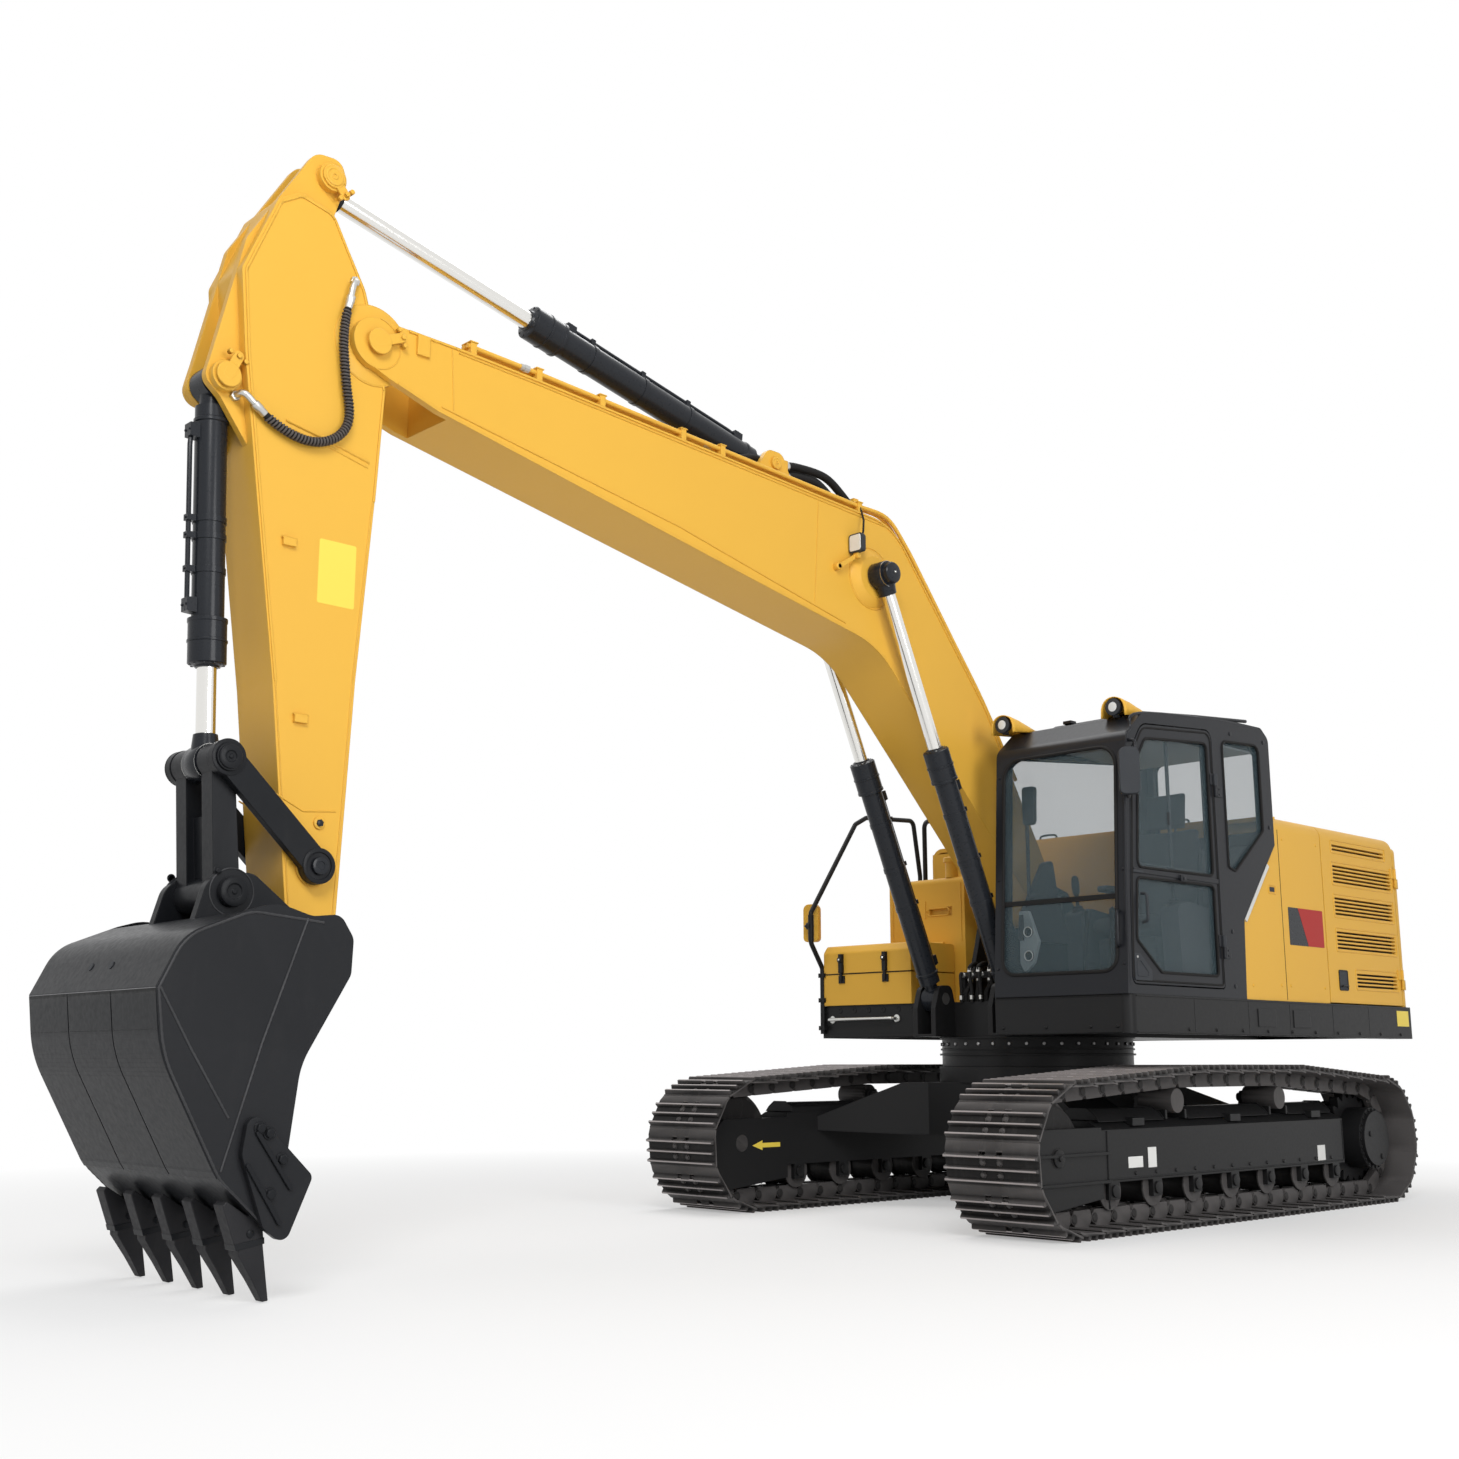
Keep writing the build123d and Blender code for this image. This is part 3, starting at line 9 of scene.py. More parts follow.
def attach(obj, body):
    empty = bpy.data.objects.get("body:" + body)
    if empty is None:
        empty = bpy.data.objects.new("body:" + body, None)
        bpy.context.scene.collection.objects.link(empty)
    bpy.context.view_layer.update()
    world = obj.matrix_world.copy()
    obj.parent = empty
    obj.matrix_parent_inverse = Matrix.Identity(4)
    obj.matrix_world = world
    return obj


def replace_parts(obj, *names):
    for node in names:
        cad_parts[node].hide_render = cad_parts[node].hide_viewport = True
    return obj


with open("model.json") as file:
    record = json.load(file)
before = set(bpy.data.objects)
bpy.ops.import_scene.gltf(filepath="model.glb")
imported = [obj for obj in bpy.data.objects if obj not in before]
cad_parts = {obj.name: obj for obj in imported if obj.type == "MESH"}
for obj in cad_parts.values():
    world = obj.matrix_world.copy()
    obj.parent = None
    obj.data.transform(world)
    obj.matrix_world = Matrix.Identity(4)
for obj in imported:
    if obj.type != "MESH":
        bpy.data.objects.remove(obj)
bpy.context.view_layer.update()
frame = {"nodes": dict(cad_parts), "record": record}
nodes = frame["nodes"]
joints = {joint["name"]: joint for joint in frame["record"]["behaviour"]["joints"]}

# Places count X from the swing axis, in metres.
swingX = joints["swing"]["pos_m"][0]
toRow = Matrix.Translation((swingX, 0.0, 0.0))


def pin(joint):
    # A joint's place in side view, X and Z.
    place = joints[joint]["pos_m"]
    return (place[0] - swingX, place[2])


boomTip = pin("arm_swing")
bucketPin = pin("bucket_curl")
rockerPin = pin("rocker_turn")
linkPin = pin("link_turn")
boomCylinderFoot = pin("boom_barrels_turn")
armCylinderFoot = pin("arm_barrel_turn")
bucketCylinderFoot = pin("bucket_barrel_turn")
boomCylinderTop = (1.820, 3.800)
armCylinderTop = (5.560, 5.020)
bucketLinkPin = (5.900, 1.605)


# Camera, floor and light

cameraView = {
    "place": (9.212, 6.636, 0.911),
    "yaw": 226.059,
    "pitch": 11.301,
    "focalPixels": 1662.9,
    "framePixels": 1459.0,
}


def addCamera():
    yaw, pitch = math.radians(cameraView["yaw"]), math.radians(cameraView["pitch"])
    direction = Vector(
        (math.cos(yaw) * math.cos(pitch), math.sin(yaw) * math.cos(pitch), math.sin(pitch))
    )
    data = bpy.data.cameras.new("camera")
    data.sensor_width = 36.0
    data.lens = data.sensor_width * cameraView["focalPixels"] / cameraView["framePixels"]
    data.clip_end = 200.0
    camera = bpy.data.objects.new("camera", data)
    bpy.context.scene.collection.objects.link(camera)
    camera.location = toRow @ Vector(cameraView["place"])
    camera.rotation_euler = direction.to_track_quat("-Z", "Y").to_euler()
    bpy.context.scene.camera = camera


lighting = {
    "backdrop": (1.0, 1.0, 1.0, 1.0),
    "skyLight": 0.30,
    "floorColour": (0.86, 0.86, 0.86, 1.0),
    "floorRadius": 60.0,
    # Metres from the middle where the floor starts and ends fading, and the glow at the start.
    "fade": (2.5, 8.5, 0.35),
    "lamps": (
        # name, place, target, size in metres, power in watts
        ("key", (10.5, 7.5, 9.0), (1.5, 0.0, 2.0), 5.0, 770.0),
        ("fill", (4.0, 12.0, 4.5), (0.5, 0.0, 1.5), 6.0, 560.0),
        ("top", (1.0, -3.0, 12.0), (1.5, 0.0, 2.0), 8.0, 560.0),
    ),
}


def addAreaLight(name, place, target, size, power):
    data = bpy.data.lights.new(name, "AREA")
    data.energy = power
    data.shape = "DISK"
    data.size = size
    light = bpy.data.objects.new(name, data)
    bpy.context.scene.collection.objects.link(light)
    light.location = toRow @ Vector(place)
    aim = toRow @ Vector(target) - light.location
    light.rotation_euler = aim.to_track_quat("-Z", "Y").to_euler()


def addNode(tree, kind, values=None, **settings):
    # A shader node with its own settings, then the values of its inputs by name or number.
    node = tree.nodes.new("ShaderNode" + kind)
    for name, value in settings.items():
        setattr(node, name, value)
    for name, value in (values or {}).items():
        node.inputs[name].default_value = value
    return node


def newMaterial(name, values):
    # A material whose main shader has the given values.
    material = bpy.data.materials.new(name)
    material.use_nodes = True
    tree = material.node_tree
    shader = tree.nodes["Principled BSDF"]
    for key, value in values.items():
        shader.inputs[key].default_value = value
    return material, tree, shader


def seenRays(tree):
    # 1 for rays that show the backdrop, straight or in glass and metal, 0 for rays that light.
    path = addNode(tree, "LightPath")
    seen = path.outputs["Is Camera Ray"]
    for ray in ("Is Glossy Ray", "Is Transmission Ray"):
        either = addNode(tree, "Math", operation="MAXIMUM")
        tree.links.new(seen, either.inputs[0])
        tree.links.new(path.outputs[ray], either.inputs[1])
        seen = either.outputs[0]
    return seen


def mixShaders(tree, share, first, second, out):
    mix = addNode(tree, "MixShader")
    tree.links.new(share, mix.inputs["Fac"])
    tree.links.new(first.outputs[0], mix.inputs[1])
    tree.links.new(second.outputs[0], mix.inputs[2])
    tree.links.new(mix.outputs[0], out.inputs["Surface"])


def addStage():
    # The world is plain white to the camera and a softer white as a light.
    world = bpy.data.worlds.new("studio")
    bpy.context.scene.world = world
    world.use_nodes = True
    tree = world.node_tree
    tree.nodes.clear()
    soft = addNode(tree, "Background", {"Color": lighting["backdrop"], "Strength": lighting["skyLight"]})
    plain = addNode(tree, "Background", {"Color": lighting["backdrop"]})
    mixShaders(tree, seenRays(tree), soft, plain, addNode(tree, "OutputWorld"))
    bpy.ops.mesh.primitive_circle_add(
        vertices=96, radius=lighting["floorRadius"], fill_type="NGON", location=(0, 0, 0)
    )
    floor = bpy.context.object
    floor.name = "floor"
    floor.data.materials.append(floorMaterial())
    for lamp in lighting["lamps"]:
        addAreaLight(*lamp)
    settings = bpy.context.scene.view_settings
    settings.view_transform = "Standard"
    settings.look = "None"


def floorMaterial():
    # Fades into the white backdrop with distance, so that no horizon shows.
    values = {"Base Color": lighting["floorColour"], "Roughness": 0.9, "Specular IOR Level": 0.1}
    material, tree, shader = newMaterial("pale_floor", values)
    near, far, glow = lighting["fade"]
    place = addNode(tree, "TexCoord")
    centre = addNode(tree, "VectorMath", operation="LENGTH")
    fade = addNode(tree, "MapRange", {"From Min": near, "From Max": far, "To Min": glow})
    share = addNode(tree, "Math", operation="MULTIPLY")
    tree.links.new(place.outputs["Object"], centre.inputs[0])
    tree.links.new(centre.outputs["Value"], fade.inputs["Value"])
    tree.links.new(fade.outputs["Result"], share.inputs[0])
    tree.links.new(seenRays(tree), share.inputs[1])
    mixShaders(tree, share.outputs[0], shader, addNode(tree, "Emission"), tree.nodes["Material Output"])
    return material


# Materials

finishes = {
    # name: colour, second colour, roughness, metal, coat, grain scale, bump strength
    "bodyYellow": ((0.76, 0.43, 0.056), (0.72, 0.40, 0.050), 0.42, 0.0, 0.03, 7.0, 0.010),
    "weightYellow": ((0.74, 0.42, 0.054), (0.70, 0.39, 0.048), 0.46, 0.0, 0.02, 9.0, 0.030),
    "frameBlack": ((0.010, 0.010, 0.011), (0.016, 0.016, 0.016), 0.40, 0.0, 0.04, 6.0, 0.025),
    "cabBlack": ((0.012, 0.013, 0.016), (0.016, 0.017, 0.020), 0.34, 0.0, 0.08, 5.0, 0.010),
    "glossBlack": ((0.012, 0.014, 0.018), (0.018, 0.020, 0.024), 0.28, 0.0, 0.15, 5.0, 0.010),
    "rubber": ((0.010, 0.010, 0.010), (0.016, 0.015, 0.015), 0.66, 0.0, 0.0, 30.0, 0.050),
    "pinSteel": ((0.34, 0.34, 0.35), (0.24, 0.23, 0.22), 0.36, 0.9, 0.0, 20.0, 0.020),
    "zinc": ((0.62, 0.62, 0.60), (0.50, 0.50, 0.48), 0.30, 0.95, 0.0, 30.0, 0.010),
    "seatCloth": ((0.045, 0.047, 0.052), (0.065, 0.067, 0.072), 0.90, 0.0, 0.0, 260.0, 0.200),
    "controlPlastic": ((0.030, 0.033, 0.038), (0.042, 0.045, 0.050), 0.52, 0.0, 0.0, 90.0, 0.050),
    "palePlastic": ((0.30, 0.35, 0.37), (0.26, 0.31, 0.33), 0.50, 0.0, 0.0, 90.0, 0.040),
    "engineMetal": ((0.060, 0.060, 0.062), (0.110, 0.106, 0.100), 0.60, 0.3, 0.0, 12.0, 0.100),
    "silverPaint": ((0.66, 0.66, 0.64), (0.60, 0.60, 0.58), 0.35, 0.5, 0.20, 12.0, 0.010),
    "signYellow": ((0.86, 0.66, 0.09), (0.82, 0.62, 0.08), 0.45, 0.0, 0.20, 20.0, 0.005),
    "signWhite": ((0.80, 0.80, 0.78), (0.72, 0.72, 0.70), 0.45, 0.0, 0.20, 20.0, 0.005),
    "headliner": ((0.30, 0.31, 0.31), (0.26, 0.27, 0.27), 0.85, 0.0, 0.0, 120.0, 0.060),
    "hoseGuard": ((0.105, 0.092, 0.085), (0.070, 0.062, 0.058), 0.55, 0.0, 0.0, 40.0, 0.030),
    "grouserEdge": ((0.42, 0.38, 0.37), (0.27, 0.25, 0.25), 0.34, 0.85, 0.0, 24.0, 0.060),
    "seamSteel": ((0.085, 0.086, 0.090), (0.020, 0.020, 0.022), 0.48, 0.3, 0.0, 26.0, 0.060),
    "bareEdge": ((0.36, 0.36, 0.37), (0.14, 0.14, 0.145), 0.40, 0.8, 0.0, 30.0, 0.060),
    "lensPale": ((0.72, 0.74, 0.74), (0.60, 0.62, 0.63), 0.14, 0.0, 0.60, 60.0, 0.060),
    "mirrorGlass": ((0.75, 0.77, 0.78), (0.70, 0.72, 0.73), 0.06, 1.0, 0.0, 8.0, 0.001),
    "signRed": ((0.42, 0.016, 0.012), (0.36, 0.014, 0.010), 0.42, 0.0, 0.02, 20.0, 0.005),
}


def addGloss(tree, shader, texture, low, high):
    # Roughness that follows a texture between two values.
    gloss = addNode(tree, "MapRange", {"To Min": low, "To Max": min(high, 1.0)})
    tree.links.new(texture.outputs["Fac"], gloss.inputs["Value"])
    tree.links.new(gloss.outputs["Result"], shader.inputs["Roughness"])


def addRelief(tree, shader, texture, strength, distance):
    relief = addNode(tree, "Bump", {"Strength": strength, "Distance": distance})
    tree.links.new(texture.outputs["Fac"], relief.inputs["Height"])
    tree.links.new(relief.outputs["Normal"], shader.inputs["Normal"])


def plainMaterial(name):
    # Paint or plastic with a slow colour drift, a fine grain and slightly uneven gloss.
    first, second, roughness, metal, coat, scale, bump = finishes[name]
    values = {"Metallic": metal, "Coat Weight": coat, "Coat Roughness": 0.12}
    values["Specular IOR Level"] = 0.24 if max(first) > 0.1 else 0.14
    material, tree, shader = newMaterial(name, values)
    place = addNode(tree, "TexCoord")
    drift = addNode(tree, "TexNoise", {"Scale": scale / 8.0, "Detail": 5.0})
    grain = addNode(tree, "TexNoise", {"Scale": scale * 9.0, "Detail": 4.0})
    for texture in (drift, grain):
        tree.links.new(place.outputs["Object"], texture.inputs["Vector"])
    colour = addNode(tree, "Mix", {6: (*first, 1.0), 7: (*second, 1.0)}, data_type="RGBA")
    tree.links.new(drift.outputs["Fac"], colour.inputs[0])
    tree.links.new(colour.outputs[2], shader.inputs["Base Color"])
    addGloss(tree, shader, grain, roughness * 0.8, roughness * 1.25)
    addRelief(tree, shader, grain, bump * 10.0, 0.001)
    return material


def roundedEdges(material, radius):
    # Rounds the light on sharp CAD edges by a radius in metres, under any bump the material has.
    tree = material.node_tree
    rounding = addNode(tree, "Bevel", {"Radius": radius}, samples=4)
    bumps = [node for node in tree.nodes if node.type == "BUMP"]
    target = bumps[0] if bumps else tree.nodes["Principled BSDF"]
    tree.links.new(rounding.outputs["Normal"], target.inputs["Normal"])


def glassMaterial(name, colour, alpha):
    values = {"Base Color": (*colour, 1.0), "Roughness": 0.02, "Alpha": alpha, "Specular IOR Level": 0.35}
    material, _, _ = newMaterial(name, values)
    material.blend_method = "BLEND"
    return material


def chromeMaterial():
    values = {"Base Color": (0.78, 0.77, 0.74, 1.0), "Metallic": 1.0}
    material, tree, shader = newMaterial("rodChrome", values)
    place = addNode(tree, "TexCoord")
    rings = addNode(tree, "TexNoise", {"Scale": 60.0})
    tree.links.new(place.outputs["Object"], rings.inputs["Vector"])
    addGloss(tree, shader, rings, 0.10, 0.20)
    return material


wear = {
    # name: paint, bare metal, dust, roughness, share of wear, share of dust
    "bucketBlack": ((0.010, 0.011, 0.013), (0.06, 0.06, 0.064), (0.035, 0.034, 0.033), 0.34, 0.08, 0.10),
    "trackSteel": ((0.020, 0.019, 0.019), (0.16, 0.15, 0.148), (0.10, 0.095, 0.09), 0.45, 0.26, 0.22),
    "toothSteel": ((0.014, 0.014, 0.016), (0.09, 0.09, 0.094), (0.06, 0.058, 0.056), 0.50, 0.18, 0.10),
}


def wornMaterial(name):
    # Black paint, rubbed bright on the raised edges, with grey dust in streaks.
    paint, bare, dust, roughness, rubbed, dusty = wear[name]
    material, tree, shader = newMaterial(name, {"Coat Weight": 0.04, "Specular IOR Level": 0.10})
    link = tree.links.new
    place = addNode(tree, "TexCoord")
    streaks = addNode(tree, "Mapping", {"Scale": (3.0, 3.0, 0.8)})
    link(place.outputs["Object"], streaks.inputs["Vector"])
    dustNoise = addNode(tree, "TexNoise", {"Scale": 3.2, "Detail": 9.0, "Roughness": 0.72})
    link(streaks.outputs["Vector"], dustNoise.inputs["Vector"])
    scratch = addNode(tree, "TexNoise", {"Scale": 42.0, "Detail": 6.0})
    link(place.outputs["Object"], scratch.inputs["Vector"])
    dustShare = addNode(tree, "MapRange", {"From Min": 0.52, "From Max": 0.78, "To Max": dusty * 2.0})
    link(dustNoise.outputs["Fac"], dustShare.inputs["Value"])
    edges = addNode(tree, "NewGeometry")
    edgeShare = addNode(tree, "MapRange", {"From Min": 0.52, "From Max": 0.62, "To Max": rubbed * 2.2})
    link(edges.outputs["Pointiness"], edgeShare.inputs["Value"])
    dusted = addNode(tree, "Mix", {6: (*paint, 1.0), 7: (*dust, 1.0)}, data_type="RGBA")
    link(dustShare.outputs["Result"], dusted.inputs[0])
    worn = addNode(tree, "Mix", {7: (*bare, 1.0)}, data_type="RGBA")
    link(edgeShare.outputs["Result"], worn.inputs[0])
    link(dusted.outputs[2], worn.inputs[6])
    link(worn.outputs[2], shader.inputs["Base Color"])
    addGloss(tree, shader, scratch, roughness * 0.7, roughness * 1.5)
    addRelief(tree, shader, scratch, 0.25, 0.002)
    return material


materials = {name: plainMaterial(name) for name in finishes}
materials.update({name: wornMaterial(name) for name in wear})
materials["rodChrome"] = chromeMaterial()
materials["windowGlass"] = glassMaterial("windowGlass", (0.10, 0.15, 0.17), 0.22)
for name in ("bodyYellow", "frameBlack", "cabBlack", "bucketBlack", "trackSteel"):
    roundedEdges(materials[name], 0.006)
roundedEdges(materials["weightYellow"], 0.02)

nodesOf = {
    # finish: the CAD nodes that have it
    "frameBlack": (
        "car_body", "towing_eye", "track_frame_left", "track_frame_right", "sprocket_left",
        "sprocket_right", "swing_ring", "deck_frame", "boom_brackets", "lifting_eyes", "handrail",
    ),
    "trackSteel": (
        "track_left", "track_right", "idler_left", "idler_right", "bottom_rollers", "carrier_rollers",
    ),
    "pinSteel": ("boom_foot_pins",),
    "weightYellow": ("counterweight",),
    "bodyYellow": (
        "left_panel", "right_panel", "grille_door", "pump_door", "engine_hood", "tanks", "toolbox",
        "toolbox_lid", "boom", "boom_pins", "arm",
    ),
    "engineMetal": ("engine_block",),
    "cabBlack": ("cab_shell", "cab_door",),
    "windowGlass": ("cab_glass", "cab_door_glass",),
    "seatCloth": ("cab_seat",),
    "controlPlastic": ("cab_controls",),
    "glossBlack": ("boom_cylinder_barrels", "arm_pins", "arm_cylinder_barrel", "bucket_cylinder_barrel",),
    "rodChrome": ("boom_cylinder_rods", "arm_cylinder_rod", "bucket_cylinder_rod",),
    "bucketBlack": ("rocker_links", "bucket_link", "bucket_shell", "bucket_pins", "side_cutters",),
    "toothSteel": ("bucket_teeth",),
}


def dressNodes():
    for finish, names in nodesOf.items():
        for name in names:
            if name in nodes:
                for place in nodes[name].material_slots:
                    place.material = materials[finish]


# Mesh building, in machine places

views = {
    "side": lambda a, b, depth: (a, depth, b),
    "plan": lambda a, b, depth: (a, b, depth),
    "front": lambda a, b, depth: (depth, a, b),
}


def addPrism(mesh, corners, low, high, view="side"):
    # Corners are X and Z from the side, X and Y in plan, Y and Z from the front.
    place = views[view]
    first = [mesh.verts.new(place(a, b, low)) for a, b in corners]
    second = [mesh.verts.new(place(a, b, high)) for a, b in corners]
    mesh.faces.new(first)
    mesh.faces.new(second[::-1])
    for index in range(len(corners)):
        after = (index + 1) % len(corners)
        mesh.faces.new((first[index], first[after], second[after], second[index]))


def addBox(mesh, low, high):
    # Between two corners; the Y of either may be the lower.
    corners = ((low[0], low[2]), (high[0], low[2]), (high[0], high[2]), (low[0], high[2]))
    addPrism(mesh, corners, *sorted((low[1], high[1])))


def joinRings(mesh, ring, following):
    count = max(len(ring), len(following))
    for index in range(count):
        after = (index + 1) % count
        corners = [ring[index % len(ring)], ring[after % len(ring)]]
        corners += [following[after % len(following)], following[index % len(following)]]
        mesh.faces.new(list(dict.fromkeys(corners)))


def addTurned(mesh, start, direction, profile, sides=20):
    # A turned form: the profile's rows are the distance along and the radius.
    direction = Vector(direction).normalized()
    across = direction.orthogonal().normalized()
    other = direction.cross(across)
    rings = []
    for along, radius in profile:
        centre = Vector(start) + direction * along
        ring = []
        for number in range(sides if radius else 1):
            angle = 2 * math.pi * number / sides
            ring.append(
                mesh.verts.new(centre + (across * math.cos(angle) + other * math.sin(angle)) * radius)
            )
        rings.append(ring)
    for ring, following in zip(rings, rings[1:]):
        joinRings(mesh, ring, following)
    for ring in (rings[0], rings[-1]):
        if len(ring) > 2:
            mesh.faces.new(ring)


def addTube(mesh, points, radius, sides=10, closed=False):
    # A tube along points, open tubes with flat ends; radius is one value or a value for each point.
    points = [Vector(point) for point in points]
    count = len(points)
    across = None
    rings = []
    for index, point in enumerate(points):
        before = points[index - 1] if closed or index else point
        after = points[(index + 1) % count] if closed or index < count - 1 else point
        heading = (after - before).normalized()
        if across is None:
            across = heading.orthogonal().normalized()
        across = (across - heading * across.dot(heading)).normalized()
        other = heading.cross(across)
        size = radius[index] if isinstance(radius, list) else radius
        ring = []
        for number in range(sides):
            angle = 2 * math.pi * number / sides
            ring.append(
                mesh.verts.new(point + (across * math.cos(angle) + other * math.sin(angle)) * size)
            )
        rings.append(ring)
    for ring, following in zip(rings, rings[1:]):
        joinRings(mesh, ring, following)
    if closed:
        # The last ring may be turned against the first, so it joins at the nearest corner.
        nearest = min(range(sides), key=lambda turn: (rings[0][turn].co - rings[-1][0].co).length)
        joinRings(mesh, rings[-1], rings[0][nearest:] + rings[0][:nearest])
    else:
        mesh.faces.new(rings[0])
        mesh.faces.new(rings[-1])


def bentLine(corners, closed=True, steps=5):
    # Rows of two coordinates and a rounding radius, made into points with round corners.
    points = []
    count = len(corners)
    for index, corner in enumerate(corners):
        here = Vector(corner[:2])
        radius = corner[2] if len(corner) > 2 else 0.0
        if radius == 0.0 or (not closed and index in (0, count - 1)):
            points.append(tuple(here))
            continue
        back = (Vector(corners[index - 1][:2]) - here).normalized()
        ahead = (Vector(corners[(index + 1) % count][:2]) - here).normalized()
        half = back.angle(ahead) / 2
        reach = radius / math.tan(half)
        centre = here + (back + ahead).normalized() * (radius / math.sin(half))
        first, last = here + back * reach - centre, here + ahead * reach - centre
        turn = first.angle_signed(last)
        for step in range(steps + 1):
            points.append(tuple(centre + Matrix.Rotation(-turn * step / steps, 2) @ first))
    return points


def roundPlate(left, low, right, high, radius):
    # A rectangle's outline with rounded corners.
    corners = ((left, low, radius), (right, low, radius), (right, high, radius), (left, high, radius))
    return bentLine(corners)


def turnOnSide(mesh, centre, y, side, profile, sides):
    # A turned form that stands out to one side, at a centre in side view.
    addTurned(mesh, (centre[0], y, centre[1]), (0, side, 0), profile, sides)


def addBolt(mesh, place, direction, size, washer=True):
    # A hexagon head of half width size, on a washer.
    direction = Vector(direction).normalized()
    start = Vector(place) - direction * size * 0.1
    if washer:
        addTurned(mesh, start, direction, ((0.0, size * 1.35), (size * 0.3, size * 1.35)), 14)
    profile = ((0.0, size), (size * 0.85, size), (size, size * 0.8))
    addTurned(mesh, start, direction, profile, 6)


def addBead(mesh, points, radius):
    # A weld bead: a low tube whose size ripples from step to step.
    line = [Vector(point) for point in points]
    steps = []
    for start, end in zip(line, line[1:]):
        count = max(1, round((end - start).length / (radius * 2.4)))
        steps += [start.lerp(end, number / count) for number in range(count)]
    steps.append(line[-1])
    sizes = [radius * (1.0 if number % 2 else 0.8) for number in range(len(steps))]
    addTube(mesh, steps, sizes, 6)


def circlePoints(centre, radius, y, first=0.0, last=360.0, count=32):
    # Points on a circle in side view, at the given Y.
    points = []
    for number in range(count + 1):
        angle = math.radians(first + (last - first) * number / count)
        points.append((centre[0] + radius * math.cos(angle), y, centre[1] + radius * math.sin(angle)))
    return points


def finishPiece(mesh, name, material, body, bevel=0.0, sharp=35.0):
    # Moves a piece into the row's frame, gives it its finish and lets it ride on its body.
    bmesh.ops.recalc_face_normals(mesh, faces=mesh.faces)
    mesh.transform(toRow)
    data = bpy.data.meshes.new(name)
    mesh.to_mesh(data)
    mesh.free()
    data.materials.append(materials[material])
    data.shade_smooth()
    data.set_sharp_from_angle(angle=math.radians(sharp))
    piece = bpy.data.objects.new(name, data)
    bpy.context.scene.collection.objects.link(piece)
    if bevel:
        rounding = piece.modifiers.new("rounding", "BEVEL")
        rounding.width = bevel
        rounding.segments = 2
        rounding.limit_method = "ANGLE"
        rounding.angle_limit = math.radians(40.0)
        rounding.harden_normals = True
    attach(piece, body)
    return piece


def between(start, end, distance):
    # The point at a distance from start towards end, in side view.
    return tuple(Vector(start) + (Vector(end) - Vector(start)).normalized() * distance)


# Tracks

trackSizes = {
    "middle": 1.190,
    "shoeWidth": 0.600,
    "shoePitch": 0.190,
    "shoeGap": 0.003,
    "lip": 0.046,
    "idler": (1.700, 0.410),
    "sprocket": (-1.860, 0.410),
    "carriers": ((0.450, 0.690), (-0.750, 0.690)),
    "carrierRadius": 0.0703,
    "linkHeight": 0.095,
    "plate": 0.012,
    "barHeight": 0.026,
    "barXs": (-0.066, -0.004, 0.058),
    "slotYs": (-0.055, 0.055),
    "boltXs": (-0.036, 0.027),
    "linkYs": (0.045, 0.070, 0.095),
}


def loopArcs(offset):
    # Arcs of the loop at a distance outside the rail: X, Z, radius, first and last angle.
    sizes = trackSizes
    endRadius = sizes["idler"][1] - sizes["linkHeight"] - sizes["plate"] - sizes["barHeight"]
    wheels = [(*sizes["idler"], endRadius)]
    wheels += [(x, z, sizes["carrierRadius"]) for x, z in sizes["carriers"]]
    wheels.append((*sizes["sprocket"], endRadius))
    normals = [-90.0]
    for first, second in zip(wheels, wheels[1:]):
        span = math.dist(first[:2], second[:2])
        heading = math.degrees(math.atan2(second[1] - first[1], second[0] - first[0]))
        turn = math.degrees(math.asin((first[2] - second[2]) / span))
        normals.append((heading - 90.0 + turn) % 360.0)
    normals.append(270.0)
    return [(x, z, r + offset, normals[i], normals[i + 1]) for i, (x, z, r) in enumerate(wheels)]


def arcPoint(arc, angle):
    return (
        arc[0] + arc[2] * math.cos(math.radians(angle)), arc[1] + arc[2] * math.sin(math.radians(angle))
    )


def loopStations(offset, count):
    # Even steps along the loop: place, direction of travel and outward direction, and the step.
    arcs = loopArcs(offset)
    runs = []
    for index, arc in enumerate(arcs):
        following = arcs[(index + 1) % len(arcs)]
        start, end = arcPoint(arc, arc[4]), arcPoint(following, following[3])
        runs.append((arc, None, arc[2] * math.radians(arc[4] - arc[3])))
        runs.append((arc, (start, end), math.dist(start, end)))
    total = sum(run[2] for run in runs)
    stations = []
    for number in range(count):
        left = total * (number + 0.5) / count
        for arc, line, length in runs:
            if left <= length:
                break
            left -= length
        angle = arc[4] if line else arc[3] + math.degrees(left / arc[2])
        place = between(*line, left) if line else arcPoint(arc, angle)
        outward = (math.cos(math.radians(angle)), math.sin(math.radians(angle)))
        stations.append((place, (-outward[1], outward[0]), outward))
    return stations, total / count


def pinStations(count):
    # Stations in even steps along the line of the pins, moved in to the rail.
    inward = trackSizes["linkHeight"] / 2
    stations, _ = loopStations(inward, count)
    return [
        (
            (place[0] - out[0] * inward, place[1] - out[1] * inward), travel, out
        ) for place, travel, out in stations
    ]


def onStation(station, corners):
    # Places given along the chain and out from the rail, as X and Z.
    place, travel, outward = station
    return [
        (
            place[0] + t * travel[0] + n * outward[0], place[1] + t * travel[1] + n * outward[1]
        ) for t, n in corners
    ]


